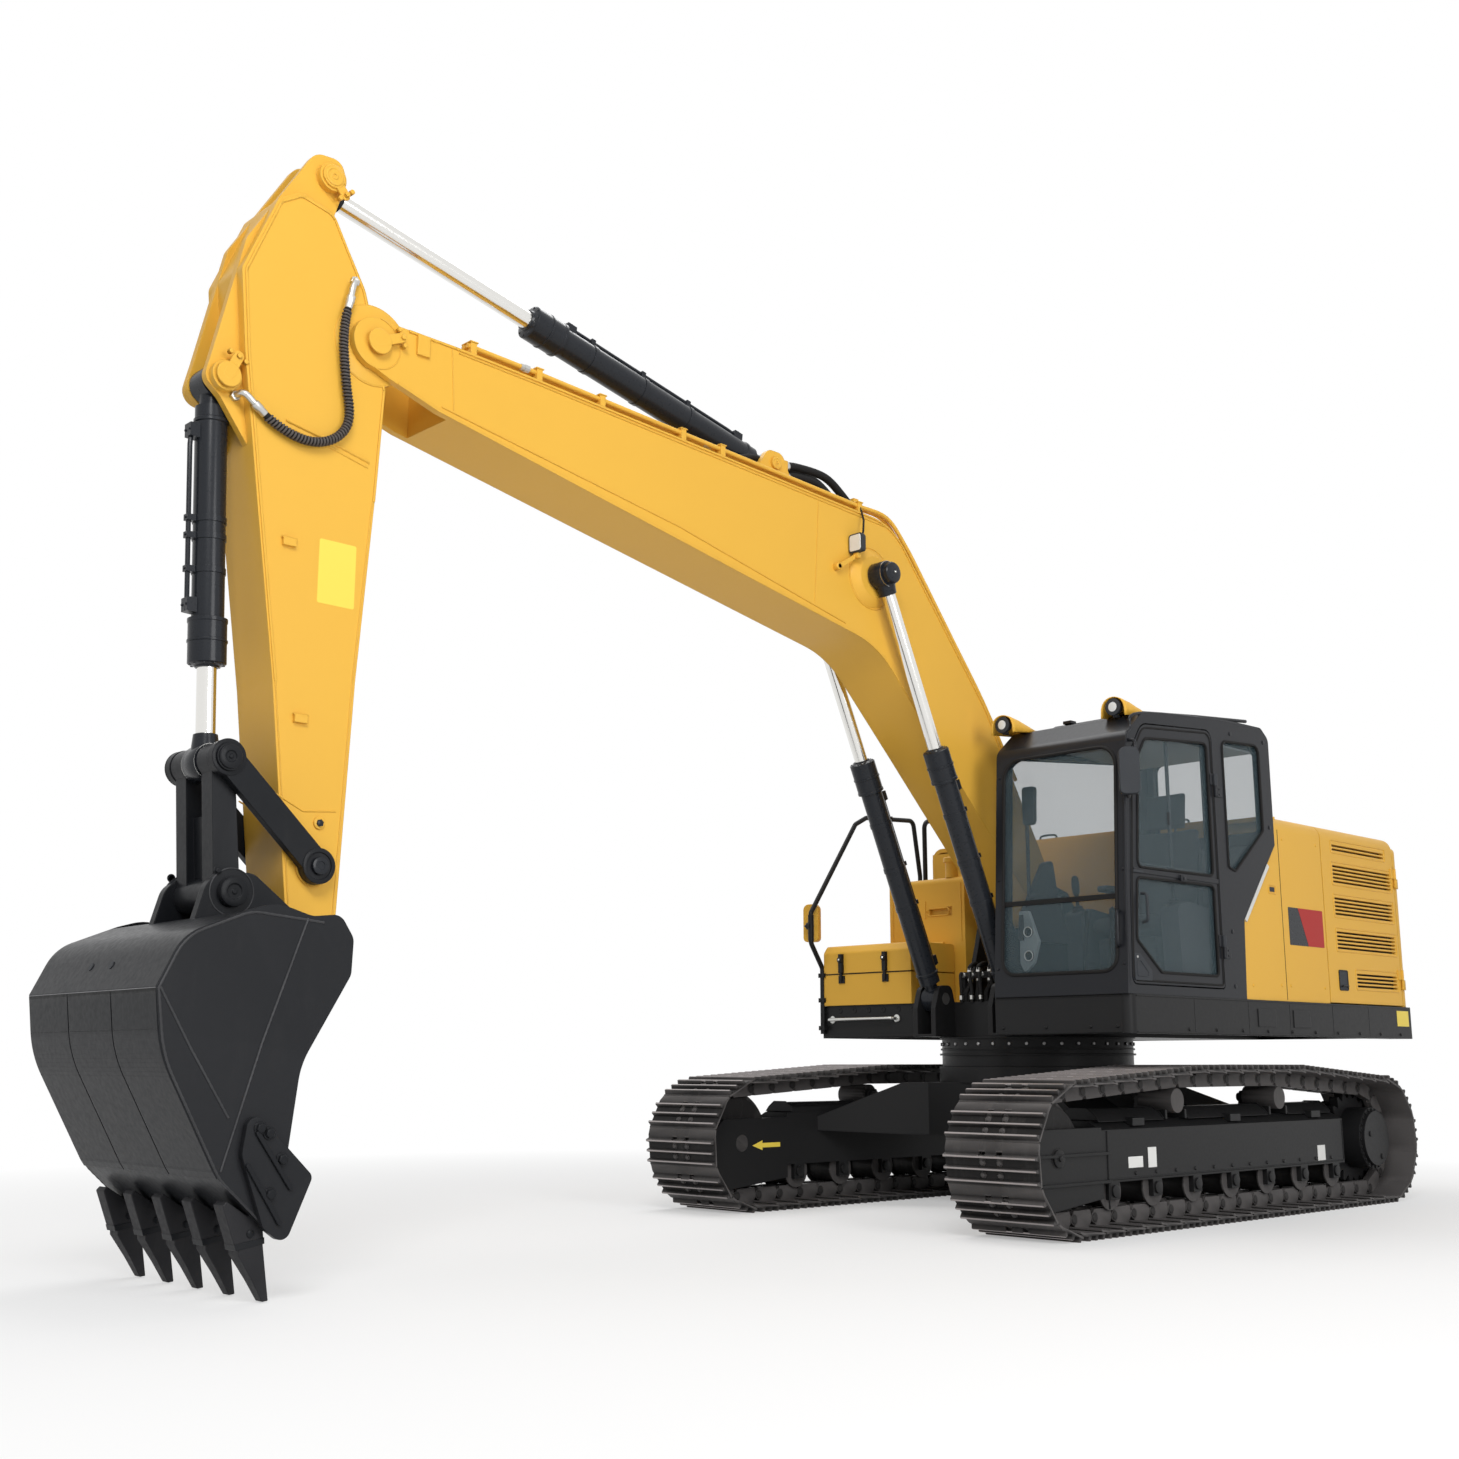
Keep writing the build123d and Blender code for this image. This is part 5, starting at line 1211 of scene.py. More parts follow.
def buildBucketDetails():
    bolts, welds, edges, holes = (bmesh.new() for _ in range(4))
    for side in (-1, 1):
        face = side * 0.6303
        for x, z in ((5.940, 0.660), (5.840, 0.540), (5.885, 0.410), (5.900, 0.640)):
            addBolt(bolts, (x, face, z), (0, side, 0), 0.020)
        plate = side * 0.6002
        addBead(welds, [(6.368, plate, 1.190), (6.230, plate, 0.960), (6.060, plate, 0.700)], 0.006)
        addBead(welds, [(5.760, plate, 1.480), (5.935, plate, 0.985), (6.080, plate, 0.500)], 0.0055)
        line = bentLine(bucketLine, closed=False)
        addBead(welds, [(x - 0.012, side * 0.5995, z - 0.006) for x, z in line], 0.006)
        for centre, radius in ((bucketPin, 0.119), (bucketLinkPin, 0.099)):
            addBead(welds, circlePoints(centre, radius, side * 0.2105, 0, 360, 40), 0.0035)
        profile = (
            (0, 0.063), (0.010, 0.063), (0.013, 0.056), (0.013, 0.034), (0.008, 0.031), (0.008, 0.012),
            (0.012, 0.010), (0.012, 0.0),
        )
        turnOnSide(bolts, bucketLinkPin, side * 0.2275, side, profile, 36)
        turnOnSide(
            bolts, bucketPin, side * 0.2225, side,
            ((0, 0.062), (0.010, 0.062), (0.014, 0.054), (0.014, 0.030), (0.008, 0.027), (0.008, 0.0)),
            36,
        )
        for centre in ((5.430, 1.402), (5.968, 1.690)):
            addBolt(bolts, (centre[0], side * 0.2103, centre[1]), (0, side, 0), 0.014)
    # Two bright seams across the bucket, and two drain holes.
    for x, z, radius in ((6.3805, 1.186, 0.0043), (6.0655, 0.464, 0.004)):
        addTube(edges, [(x, y, z) for y in (-0.598, 0.0, 0.598)], radius, 8)
    for y in (-0.100, 0.092):
        addTurned(
            holes, (6.338, y, 1.290), (0.92, 0, 0.38), ((0, 0.017), (0.0030, 0.017), (0.0030, 0.0)), 20
        )
    # Each tooth's locking pin, and the seam between tooth and adapter.
    for y in toothYs():
        for hand in (-1, 1):
            start = (5.925, y + hand * 0.038, 0.262)
            addTurned(bolts, start, (0, hand, 0), ((0, 0.016), (0.006, 0.016), (0.008, 0.010)), 12)
        band = ((5.864, 0.222), (5.982, 0.202), (5.990, 0.226), (5.866, 0.246))
        addPrism(bolts, band, y - 0.043, y + 0.043)
    finishPiece(bolts, "bucket_bolts", "bucketBlack", "bucket", bevel=0.001)
    finishPiece(welds, "bucket_welds", "seamSteel", "bucket")
    finishPiece(edges, "bucket_seams", "bareEdge", "bucket")
    finishPiece(holes, "bucket_drain_holes", "controlPlastic", "bucket")


def buildLinkDetails():
    caps = bmesh.new()
    profile = (
        (0, 0.052), (0.008, 0.052), (0.011, 0.046), (0.011, 0.026), (0.006, 0.023), (0.006, 0.010),
        (0.011, 0.008), (0.011, 0.0),
    )
    for side in (-1, 1):
        turnOnSide(caps, linkPin, side * 0.2285, side, profile, 32)
        for place in (rockerPin, linkPin):
            ring = ((0, 0.079), (0.004, 0.079), (0.006, 0.074), (0.006, 0.060), (0.0, 0.058))
            turnOnSide(caps, place, side * 0.2135, side, ring, 40)
    finishPiece(caps, "rocker_caps", "bucketBlack", "rocker")


# Forms of the front that stand on the CAD's plates

boomTop = ((1.610, 4.187), (4.370, 4.330), (4.880, 4.350), (5.340, 4.358))
pipeSizes = {
    "radius": 0.013,
    "above": 0.046,
    "ys": (0.148, 0.184),
    "route": (
        (0.385, 2.722), (0.700, 3.181), (1.000, 3.545), (1.300, 3.905), (1.470, 4.100), (1.640, 4.2345),
        (1.900, 4.249),
    ),
    "clampXs": (1.900, 3.060, 3.360, 3.940, 4.360, 4.770),
    "hoseRadius": 0.025,
}


def topZ(x):
    # Height of the boom's top edge along its straight runs.
    for start, end in zip(boomTop, boomTop[1:]):
        if x <= end[0]:
            break
    return start[1] + (end[1] - start[1]) * (x - start[0]) / (end[0] - start[0])


def curvedLine(points, steps=6):
    # A smooth line through points, each run a Catmull-Rom curve.
    points = [Vector(point) for point in points]
    ends = [points[0] * 2 - points[1], *points, points[-1] * 2 - points[-2]]
    line = []
    for a, b, c, d in zip(ends, ends[1:], ends[2:], ends[3:]):
        for step in range(steps):
            t = step / steps
            line.append(
                0.5 * (
                    2 * b + (c - a) * t + (
                        2 * a - 5 * b + 4 * c - d
                    ) * t**2 + (3 * b - a - 3 * c + d) * t**3
                )
            )
    line.append(points[-1])
    return line


def addStrap(mesh, start, end, half, low, high, sides=10):
    # A bar with round ends between two places in side view, from low to high in Y.
    heading = math.atan2(end[1] - start[1], end[0] - start[0])
    corners = []
    for centre, first in ((end, heading - math.pi / 2), (start, heading + math.pi / 2)):
        for number in range(sides + 1):
            angle = first + math.pi * number / sides
            corners.append((centre[0] + half * math.cos(angle), centre[1] + half * math.sin(angle)))
    addPrism(mesh, corners, *sorted((low, high)))


def addKeeper(mesh, centre, radius, end, y, side):
    # A pin's end plate with its tab.
    profile = ((0.0, radius), (0.009, radius), (0.011, radius - 0.002), (0.011, 0.0))
    turnOnSide(mesh, centre, side * y, side, profile, 36)
    addStrap(mesh, centre, end, 0.024, side * y, side * (y + 0.010))
    keeperBolts(mesh, centre, end, y - 0.009, side)


def buildBoomForms():
    plates, flanges, pipes, clamps, hoses, blocks = (bmesh.new() for _ in range(6))
    for side in (-1, 1):
        half = side * frontSizes["boomHalf"]
        addKeeper(plates, boomTip, 0.062, frontSizes["boomKeeper"], 0.2255, side)
        cone = ((0.0, 0.188), (0.006, 0.184), (0.036, 0.134), (0.0385, 0.131), (0.0385, 0.050))
        addTurned(plates, (boomCylinderTop[0], half, boomCylinderTop[1]), (0, side, 0), cone, 48)
        corners = (
            (5.035, topZ(5.035) - 0.110), (5.105, topZ(5.105) - 0.112), (5.105, topZ(5.1) - 0.006),
            (5.035, topZ(5.035) - 0.006),
        )
        addPrism(plates, corners, *sorted((half, half + side * 0.015)))
        # The top and bottom plates stand out from the side plates by a weld's width.
        low = bentLine(
            ((1.20, 2.83), (1.775, 3.386, 0.65), (4.970, 3.990), (5.200, 4.060)), closed=False, steps=8
        )
        high = bentLine(
            (
                (0.330, 2.490), (0.700, 3.135, 0.9), (1.610, 4.187, 0.42), (4.370, 4.330),
                (4.880, 4.350, 0.3), (5.150, 4.354),
            ),
            closed=False, steps=8,
        )
        for line, step in ((low, 0.012), (high, -0.012)):
            strip = []
            for index, (x, z) in enumerate(line):
                before = line[max(index - 1, 0)]
                after = line[min(index + 1, len(line) - 1)]
                run = Vector((after[0] - before[0], after[1] - before[1])).normalized()
                strip.append(((x, z), (x - run[1] * step, z + run[0] * step)))
            for (a, b), (c, d) in zip(strip, strip[1:]):
                addPrism(flanges, (a, c, d, b), *sorted((half, half + side * 0.006)))
        for y in pipeSizes["ys"]:
            route = curvedLine([(x, side * y, z) for x, z in pipeSizes["route"]])
            ends = [
                (x, side * y, topZ(x) + pipeSizes["above"]) for x in (2.600, 3.600, 4.370, 4.700, 4.800)
            ]
            addTube(pipes, [*route, *ends], pipeSizes["radius"], 12)
        for x in pipeSizes["clampXs"]:
            z = topZ(x) - 0.002
            corners = ((x - 0.018, z), (x - 0.018, z + 0.068), (x + 0.018, z + 0.068), (x + 0.018, z))
            addPrism(clamps, corners, *sorted((side * 0.130, side * 0.202)))
            addBox(
                clamps, (x - 0.024, side * 0.166 - 0.040, z + 0.066),
                (x + 0.024, side * 0.166 + 0.040, z + 0.073),
            )
            addBolt(clamps, (x, side * 0.166, z + 0.073), (0, 0, 1), 0.011)
        for x, y in ((3.060, 0.148), (4.360, 0.184)):
            profile = (
                (0, 0.0125), (0.0, 0.020), (0.030, 0.020), (0.030, 0.017), (0.052, 0.017), (0.052, 0.0125)
            )
            addTurned(blocks, (x + 0.06, side * y, topZ(x + 0.06) + 0.046), (1, 0, 0.05), profile, 6)
        outer = [(2.430, 4.405), (2.300, 4.432), (2.050, 4.432), (1.880, 4.345), (1.790, 4.270)]
        inner = [(2.430, 4.330), (2.320, 4.365), (2.120, 4.365), (1.960, 4.285), (1.800, 4.225)]
        for line, y in ((outer, 0.045), (inner, 0.049)):
            line = curvedLine([(x, side * y, z) for x, z in line])
            addTube(hoses, line, pipeSizes["hoseRadius"], 14)
            for end, after in ((line[0], line[1]), (line[-1], line[-2])):
                profile = ((-0.002, 0.018), (0.0, 0.029), (0.050, 0.029), (0.056, 0.025))
                addTurned(blocks, end, after - end, profile, 16)
    for x, height in ((2.430, 0.205), (1.800, 0.150)):
        z = topZ(x)
        corners = (
            (x - 0.022, z - 0.003), (x - 0.022, z + height), (x + 0.022, z + height),
            (x + 0.022, z - 0.003),
        )
        addPrism(clamps, corners, -0.080, 0.080)
    # The lines from the hoses to the arm cylinder's foot, low over the boom's top.
    for y in (0.045, -0.045):
        line = [(2.430, y, 4.400), (2.520, y, 4.395), (2.700, y * 1.6, 4.385), (2.900, y * 2.2, 4.320)]
        addTube(hoses, curvedLine(line), 0.020, 12)
    x, y, z = frontSizes["lamp"]
    body = roundPlate(y - 0.046, z - 0.052, y + 0.046, z + 0.052, 0.014)
    lampBody, bracket = bmesh.new(), bmesh.new()
    addPrism(lampBody, body, x - 0.025, x + 0.020, "front")
    addStrap(bracket, (x + 0.140, z - 0.165), (x - 0.005, z - 0.075), 0.014, 0.235, 0.245)
    addTurned(
        bracket, (x + 0.140, 0.204, z - 0.165), (0, 1, 0), ((0, 0.022), (0.036, 0.022), (0.041, 0.015)),
        20,
    )
    addBox(bracket, (x - 0.020, 0.235, z - 0.089), (x + 0.010, y + 0.008, z - 0.050))
    finishPiece(plates, "boom_keepers_bosses", "bodyYellow", "boom", bevel=0.0015)
    finishPiece(flanges, "boom_flange_lips", "bodyYellow", "boom")
    finishPiece(pipes, "boom_pipes", "bodyYellow", "boom")
    finishPiece(clamps, "boom_pipe_clamps", "bodyYellow", "boom", bevel=0.001)
    finishPiece(hoses, "boom_bend_hoses", "rubber", "boom")
    finishPiece(blocks, "boom_hose_ends", "zinc", "boom")
    finishPiece(lampBody, "boom_lamp_body", "controlPlastic", "boom", bevel=0.002)
    finishPiece(bracket, "boom_lamp_bracket", "bodyYellow", "boom", bevel=0.001)


def buildArmForms():
    plates, flanges = bmesh.new(), bmesh.new()
    for side in (-1, 1):
        addKeeper(plates, bucketCylinderFoot, 0.058, frontSizes["bucketKeeper"], 0.1553, side)
        addKeeper(plates, armCylinderTop, 0.058, frontSizes["armKeeper"], 0.1453, side)
        hub = ((-0.003, 0.196), (0.004, 0.196), (0.006, 0.192), (0.006, 0.050))
        turnOnSide(plates, boomTip, side * 0.160, side, hub, 56)
        for x, z in frontSizes["armPads"]:
            addBox(
                plates, (x - 0.032, side * 0.168 - 0.010, z - 0.018),
                (x + 0.032, side * 0.168 + 0.010, z + 0.018),
            )
        turnOnSide(
            plates, frontSizes["armPlug"], side * 0.158, side,
            ((0, 0.028), (0.009, 0.028), (0.011, 0.025), (0.011, 0.0)), 24,
        )
        line = bentLine(
            (
                (5.270, 3.47), (5.241, 4.03), (5.372, 4.49, 0.2), (5.556, 4.822, 0.08),
                (5.728, 4.858, 0.06), (5.832, 4.788, 0.06), (5.985, 4.400, 0.06), (5.948, 4.01),
                (5.850, 3.33), (5.732, 2.54),
            ),
            closed=False,
        )
        for a, c in zip(line, line[1:]):
            run = Vector((c[0] - a[0], c[1] - a[1])).normalized()
            inside = [(p[0] + run[1] * 0.012, p[1] - run[0] * 0.012) for p in (a, c)]
            addPrism(flanges, (a, c, inside[1], inside[0]), *sorted((side * 0.160, side * 0.1645)))
    finishPiece(plates, "arm_keepers_bosses", "bodyYellow", "arm", bevel=0.0015)
    finishPiece(flanges, "arm_flange_lips", "bodyYellow", "arm")
    elbows = bmesh.new()
    y = armHose["y"]
    for line in (
        [
            (5.462, y, 4.426), (5.456, y, 4.470), (5.446, y * 0.99, 4.502), (5.436, 0.178, 4.518),
            (5.434, 0.158, 4.520),
        ],
        [
            (5.915, y, 3.765), (5.945, y, 3.788), (5.962, y * 0.98, 3.800), (5.972, 0.165, 3.806),
            (5.974, 0.108, 3.806),
        ],
    ):
        addTube(elbows, curvedLine(line, 4), 0.015, 12)
        end = line[-1]
        addTurned(elbows, end, (0, 1, 0), ((-0.002, 0.024), (0.020, 0.024), (0.022, 0.020)), 6)
    finishPiece(elbows, "arm_hose_elbows", "zinc", "arm")


def buildBucketForms():
    # Wear plates over the back, adapters with pointed tips, and the side cutters' ribs.
    wears, teeth, ribs = (bmesh.new() for _ in range(3))
    line = [point for point in bentLine(bucketLine, closed=False, steps=10) if 0.50 < point[1] < 1.18]
    line = [(6.089, 0.476), *line, (6.385, 1.183)]
    proud = bucketSizes["wearProud"]
    outer = []
    for index, (x, z) in enumerate(line):
        before, after = line[max(index - 1, 0)], line[min(index + 1, len(line) - 1)]
        run = Vector((after[0] - before[0], after[1] - before[1])).normalized()
        outer.append((min(x + run[1] * proud, 6.3849), z - run[0] * proud))
    for low, high in ((-0.599, -0.209), (-0.201, 0.201), (0.209, 0.599)):
        for (a, b), (c, d) in zip(zip(line, outer), zip(line[1:], outer[1:])):
            addPrism(wears, (a, c, d, b), low, high)
    adapter = (
        (5.880, 0.350), (5.866, 0.235), (5.880, 0.216), (5.968, 0.200), (5.984, 0.212), (6.046, 0.372),
        (6.030, 0.388), (5.940, 0.330),
    )
    for y in toothYs():
        addPrism(teeth, adapter, y - 0.040, y + 0.040)
        rings = []
        for x0, x1, z0, z1, half in (
            (5.872, 5.974, 0.256, 0.226, 0.040),
            (5.868, 5.970, 0.214, 0.184, 0.041),
            (5.846, 5.905, 0.100, 0.090, 0.034),
            (5.826, 5.852, 0.006, 0.0035, 0.026),
        ):
            rings.append(
                [
                    teeth.verts.new(p)
                    for p in (
                        (x0, y - half, z0), (x1, y - half, z1), (x1, y + half, z1), (x0, y + half, z0)
                    )
                ]
            )
        for ring, following in zip(rings, rings[1:]):
            joinRings(teeth, ring, following)
        teeth.faces.new(rings[0])
        teeth.faces.new(rings[-1])
    for side in (-1, 1):
        for start, end in (((5.950, 0.640), (5.800, 0.430)), ((5.985, 0.520), (5.840, 0.300))):
            addStrap(ribs, start, end, 0.009, side * 0.629, side * 0.642)
    finishPiece(wears, "bucket_wear_plates", "bucketBlack", "bucket")
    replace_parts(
        finishPiece(teeth, "bucket_tooth_points", "toothSteel", "bucket", bevel=0.004), "bucket_teeth"
    )
    finishPiece(ribs, "side_cutter_ribs", "bucketBlack", "bucket", bevel=0.001)


# Deck, toolbox and handrail

deckSizes = {"side": 1.360, "front": 0.985, "rightFront": 0.600, "low": 1.070, "top": 1.290}


def buildDeckDetails():
    trim, bolts, marks, yellowMarks = (bmesh.new() for _ in range(4))
    side, low, top = deckSizes["side"], deckSizes["low"], deckSizes["top"]
    for hand in (-1, 1):
        face = hand * side
        front = deckSizes["front"] if hand > 0 else deckSizes["rightFront"]
        for z in (low + 0.004, top - 0.012):
            addBox(trim, (-2.590, face - 0.004, z), (front - 0.062, face + 0.004, z + 0.008))
        for x in (-1.95, -1.43, -0.85, -0.33, 0.30):
            addBox(
                trim, (x - 0.0025, face - 0.002, low + 0.012), (x + 0.0025, face + 0.0012, top - 0.012)
            )
        for number in range(10):
            addBolt(bolts, (-2.42 + 0.31 * number, face, low + 0.028), (0, hand, 0), 0.009)
        for x in (-1.0, -0.55):
            addBox(trim, (x - 0.11, face - 0.003, low + 0.055), (x + 0.11, face + 0.005, low + 0.165))
    front = deckSizes["front"]
    for z in (top - 0.012, low + 0.004):
        addBox(trim, (front - 0.004, 0.420, z), (front + 0.004, 1.300, z + 0.008))
    for y in (0.47, 0.78, 1.09, 1.27):
        addBolt(bolts, (front, y, low + 0.040), (1, 0, 0), 0.009)
    addBox(marks, (0.590, 0.130, 1.120), (0.5925, 0.190, 1.165))
    addPrism(
        yellowMarks, ((-2.560, 1.155), (-2.380, 1.155), (-2.380, 1.262), (-2.560, 1.262)), side - 0.0006,
        side + 0.0012,
    )
    # The deck's face below the toolbox: round plugs, a lower edge and the grab bar.
    x = deckSizes["rightFront"]
    for number in range(9):
        y = -1.33 + 0.13 * number
        addTurned(
            trim, (x, y, 1.255), (1, 0, 0),
            ((-0.002, 0.020), (0.003, 0.020), (0.003, 0.012), (0.0005, 0.010), (0.0005, 0.0)), 14,
        )
    addBox(trim, (x - 0.004, -1.355, low + 0.004), (x + 0.006, -0.420, low + 0.022))
    bar = curvedLine(
        [
            (x + 0.002, -1.270, 1.195), (x + 0.040, -1.262, 1.195), (x + 0.052, -1.20, 1.195),
            (x + 0.052, -0.76, 1.195), (x + 0.040, -0.698, 1.195), (x + 0.002, -0.690, 1.195),
        ],
        5,
    )
    rail = bmesh.new()
    addTube(rail, bar, 0.011, 12)
    for y in (-1.270, -0.690):
        addTurned(
            rail, (x - 0.001, y, 1.195), (1, 0, 0), ((0, 0.026), (0.006, 0.026), (0.008, 0.022)), 18
        )
    finishPiece(trim, "deck_trim", "frameBlack", "upper", bevel=0.001)
    finishPiece(bolts, "deck_bolts", "frameBlack", "upper")
    finishPiece(marks, "deck_blank_plate", "signWhite", "upper")
    finishPiece(yellowMarks, "deck_side_plate", "signYellow", "upper")
    finishPiece(rail, "step_grab_bar", "zinc", "upper")


def buildRails():
    # The inner rail over the tank, foot plates, and the clamps along the outer rail.
    inner, plates = bmesh.new(), bmesh.new()
    y = -0.960
    route = bentLine(
        ((-0.060, 2.160), (-0.060, 2.620, 0.060), (-0.680, 2.620, 0.060), (-0.680, 2.489)), closed=False
    )
    addTube(inner, [(x, y, z) for x, z in route], 0.017, 14)
    for x, z in ((-0.060, 2.165), (-0.680, 2.490)):
        addTurned(plates, (x, y, z - 0.001), (0, 0, 1), ((0, 0.045), (0.008, 0.045), (0.010, 0.040)), 20)
        for hand in (-1, 1):
            addBolt(plates, (x, y + hand * 0.032, z + 0.008), (0, 0, 1), 0.007, washer=False)
    outerY = -1.3473
    for z in (1.140, 1.330, 1.500):
        addBox(plates, (0.592, outerY - 0.020, z - 0.015), (0.640, outerY + 0.032, z + 0.015))
        addBolt(plates, (0.640, outerY, z), (1, 0, 0), 0.007)
    addTurned(
        plates, (-0.470, outerY, 1.290), (0, 0, 1), ((0, 0.045), (0.008, 0.045), (0.010, 0.040)), 20
    )
    grip = [(0.7305, outerY, 1.735), (0.7305, outerY, 1.915)]
    addTube(plates, grip, 0.0205, 14)
    finishPiece(inner, "inner_rail", "frameBlack", "upper")
    finishPiece(plates, "rail_plates", "frameBlack", "upper", bevel=0.001)


toolboxSizes = {"front": 0.620, "latchYs": (-1.160, -0.765), "tankFront": 0.150}


def buildToolboxDetails():
    latches, seams, knobs, hooks = (bmesh.new() for _ in range(4))
    front = toolboxSizes["front"]
    for y in toolboxSizes["latchYs"]:
        addBox(latches, (front - 0.002, y - 0.016, 1.512), (front + 0.024, y + 0.016, 1.640))
        addBox(latches, (front + 0.006, y - 0.010, 1.455), (front + 0.020, y + 0.010, 1.520))
        addTurned(
            latches, (front + 0.022, y, 1.600), (1, 0, 0), ((0, 0.020), (0.010, 0.020), (0.012, 0.016)),
            18,
        )
        addTurned(
            knobs, (front + 0.030, y, 1.600), (1, 0, 0), ((0, 0.008), (0.007, 0.008), (0.009, 0.005)), 6
        )
        addBox(hooks, (front - 0.002, y - 0.026, 1.440), (front + 0.010, y + 0.026, 1.492))
        addBolt(hooks, (front + 0.010, y, 1.452), (1, 0, 0), 0.007)
    # Rubber edge under the lid.
    addBox(seams, (front - 0.010, -1.318, 1.5005), (front + 0.0025, -0.550, 1.5072))
    finishPiece(latches, "toolbox_latches", "frameBlack", "toolbox_lid", bevel=0.0015)
    finishPiece(knobs, "toolbox_latch_bolts", "zinc", "toolbox_lid")
    finishPiece(hooks, "toolbox_hooks", "frameBlack", "upper", bevel=0.001)
    finishPiece(seams, "toolbox_seams", "rubber", "upper")
    tank, cap = bmesh.new(), bmesh.new()
    x = toolboxSizes["tankFront"]
    for y in (-1.09, -0.48):
        addTube(tank, [(x + 0.001, y, 1.72), (x + 0.001, y, 2.12)], 0.004, 8)
    addBox(tank, (x - 0.006, -0.800, 1.890), (x + 0.005, -0.790, 2.010))
    handle = roundPlate(-0.780, 1.905, -0.580, 1.955, 0.03)
    addTube(tank, [(x + 0.001, y, z) for y, z in handle], 0.005, 8, closed=True)
    profile = ((0.0, 0.058), (0.030, 0.058), (0.036, 0.052), (0.036, 0.030), (0.044, 0.026), (0.044, 0.0))
    addTurned(cap, (0.090, -0.600, 2.270), (0, 0, 1), profile, 24)
    for x in (-0.30, -0.48):
        addTurned(
            cap, (x, -0.80, 2.164), (0, 0, 1),
            ((0, 0.070), (0.006, 0.070), (0.006, 0.055), (0.030, 0.052), (0.034, 0.046), (0.034, 0.0)),
            28,
        )
    finishPiece(tank, "tank_trim", "bodyYellow", "upper")
    finishPiece(cap, "tank_caps", "bodyYellow", "upper", bevel=0.001)


hoseBank = {"place": (0.520, 1.440)}


def buildHoseBank():
    # A manifold between the boom's brackets, with its hoses and their bright unions.
    block, hoses, unions = (bmesh.new() for _ in range(3))
    x, z = hoseBank["place"]
    addBox(block, (x - 0.022, -0.192, z), (x + 0.022, 0.192, z + 0.042))
    for y in (-0.175, 0.175):
        addBox(block, (x - 0.018, y - 0.012, 1.289), (x + 0.018, y + 0.012, z + 0.001))
    for y, lean in ((-0.130, -0.015), (-0.060, 0.010), (0.030, -0.010), (0.110, 0.020)):
        down = [
            (x, y, z + 0.002), (x + 0.006, y, z - 0.045), (x + 0.030, y + lean, 1.345),
            (x + 0.030, y + lean, 1.285),
        ]
        over = [
            (x, y, z + 0.040), (x - 0.004, y, z + 0.075), (x - 0.065, y + lean / 2, z + 0.098),
            (x - 0.126, y + lean, z + 0.060), (x - 0.134, y + lean, 1.380), (x - 0.134, y + lean, 1.285),
        ]
        addTube(hoses, curvedLine(down), 0.016, 12)
        addTube(hoses, curvedLine(over), 0.016, 12)
        for place, up in (((x, y, z + 0.034), 1), ((x, y, z + 0.006), -1)):
            addTurned(
                unions, place, (0, 0, up), ((0, 0.021), (0.020, 0.021), (0.022, 0.018), (0.034, 0.018)), 6
            )
    for y, reach in ((-0.165, 0.020), (-0.095, 0.034), (-0.015, 0.026), (0.070, 0.038), (0.150, 0.022)):
        start = Vector((x + 0.020, y, z + 0.020))
        line = [
            start, start + Vector((0.030, 0.0, 0.012)), start + Vector((0.050, reach / 2, -0.020)),
            (x + 0.078, y + reach, 1.370), (x + 0.078, y + reach, 1.285),
        ]
        addTube(hoses, curvedLine(line), 0.011, 10)
        addTurned(
            unions, start, (1, 0, 0.3),
            ((-0.002, 0.017), (0.014, 0.017), (0.016, 0.014), (0.026, 0.014)), 6,
        )
        addTurned(unions, (x + 0.078, y + reach, 1.330), (0, 0, -1), ((0, 0.0150), (0.026, 0.0150)), 6)
    # Thick hoses from the deck to the boom's foot stay inside its sides.
    for y in (0.060, 0.120):
        line = [(0.300, y, 1.285), (0.300, y, 1.420), (0.270, y, 1.560), (0.220, y, 1.660)]
        addTube(hoses, curvedLine(line), 0.024, 12)
    finishPiece(block, "hose_manifold", "frameBlack", "upper", bevel=0.002)
    finishPiece(hoses, "manifold_hoses", "rubber", "upper")
    finishPiece(unions, "manifold_unions", "zinc", "upper")
    # Lines to each boom cylinder's foot.
    foot = bmesh.new()
    for side in (-1, 1):
        line = [
            (0.592, side * 0.235, 1.200), (0.640, side * 0.228, 1.215), (0.700, side * 0.226, 1.260),
            (0.720, side * 0.228, 1.310),
        ]
        addTube(foot, curvedLine(line), 0.012, 10)
    finishPiece(foot, "foot_lines", "rubber", "upper")


mirrorSizes = {"width": 0.118, "depth": 0.050}


def addMirror(heads, glass, centre, low, high, turn):
    # A head with rounded corners, turned about the upright by turn degrees; the glass faces back.
    half, deep = mirrorSizes["width"] / 2, mirrorSizes["depth"] / 2
    spin = Matrix.Translation((centre[0], centre[1], 0.0)) @ Matrix.Rotation(math.radians(turn), 4, "Z")
    corners = bentLine(
        ((-half, low, 0.030), (half, low, 0.030), (half, high, 0.040), (-half, high, 0.040))
    )
    shell, pane = bmesh.new(), bmesh.new()
    addPrism(shell, corners, -deep, deep, "front")
    inner = bentLine(
        (
            (-half + 0.007, low + 0.007, 0.024), (half - 0.007, low + 0.007, 0.024),
            (half - 0.007, high - 0.007, 0.034), (-half + 0.007, high - 0.007, 0.034),
        )
    )
    addPrism(pane, inner, -deep - 0.002, -deep + 0.001, "front")
    for part, target in ((shell, heads), (pane, glass)):
        part.transform(spin)
        data = bpy.data.meshes.new("part")
        part.to_mesh(data)
        target.from_mesh(data)
        bpy.data.meshes.remove(data)
        part.free()


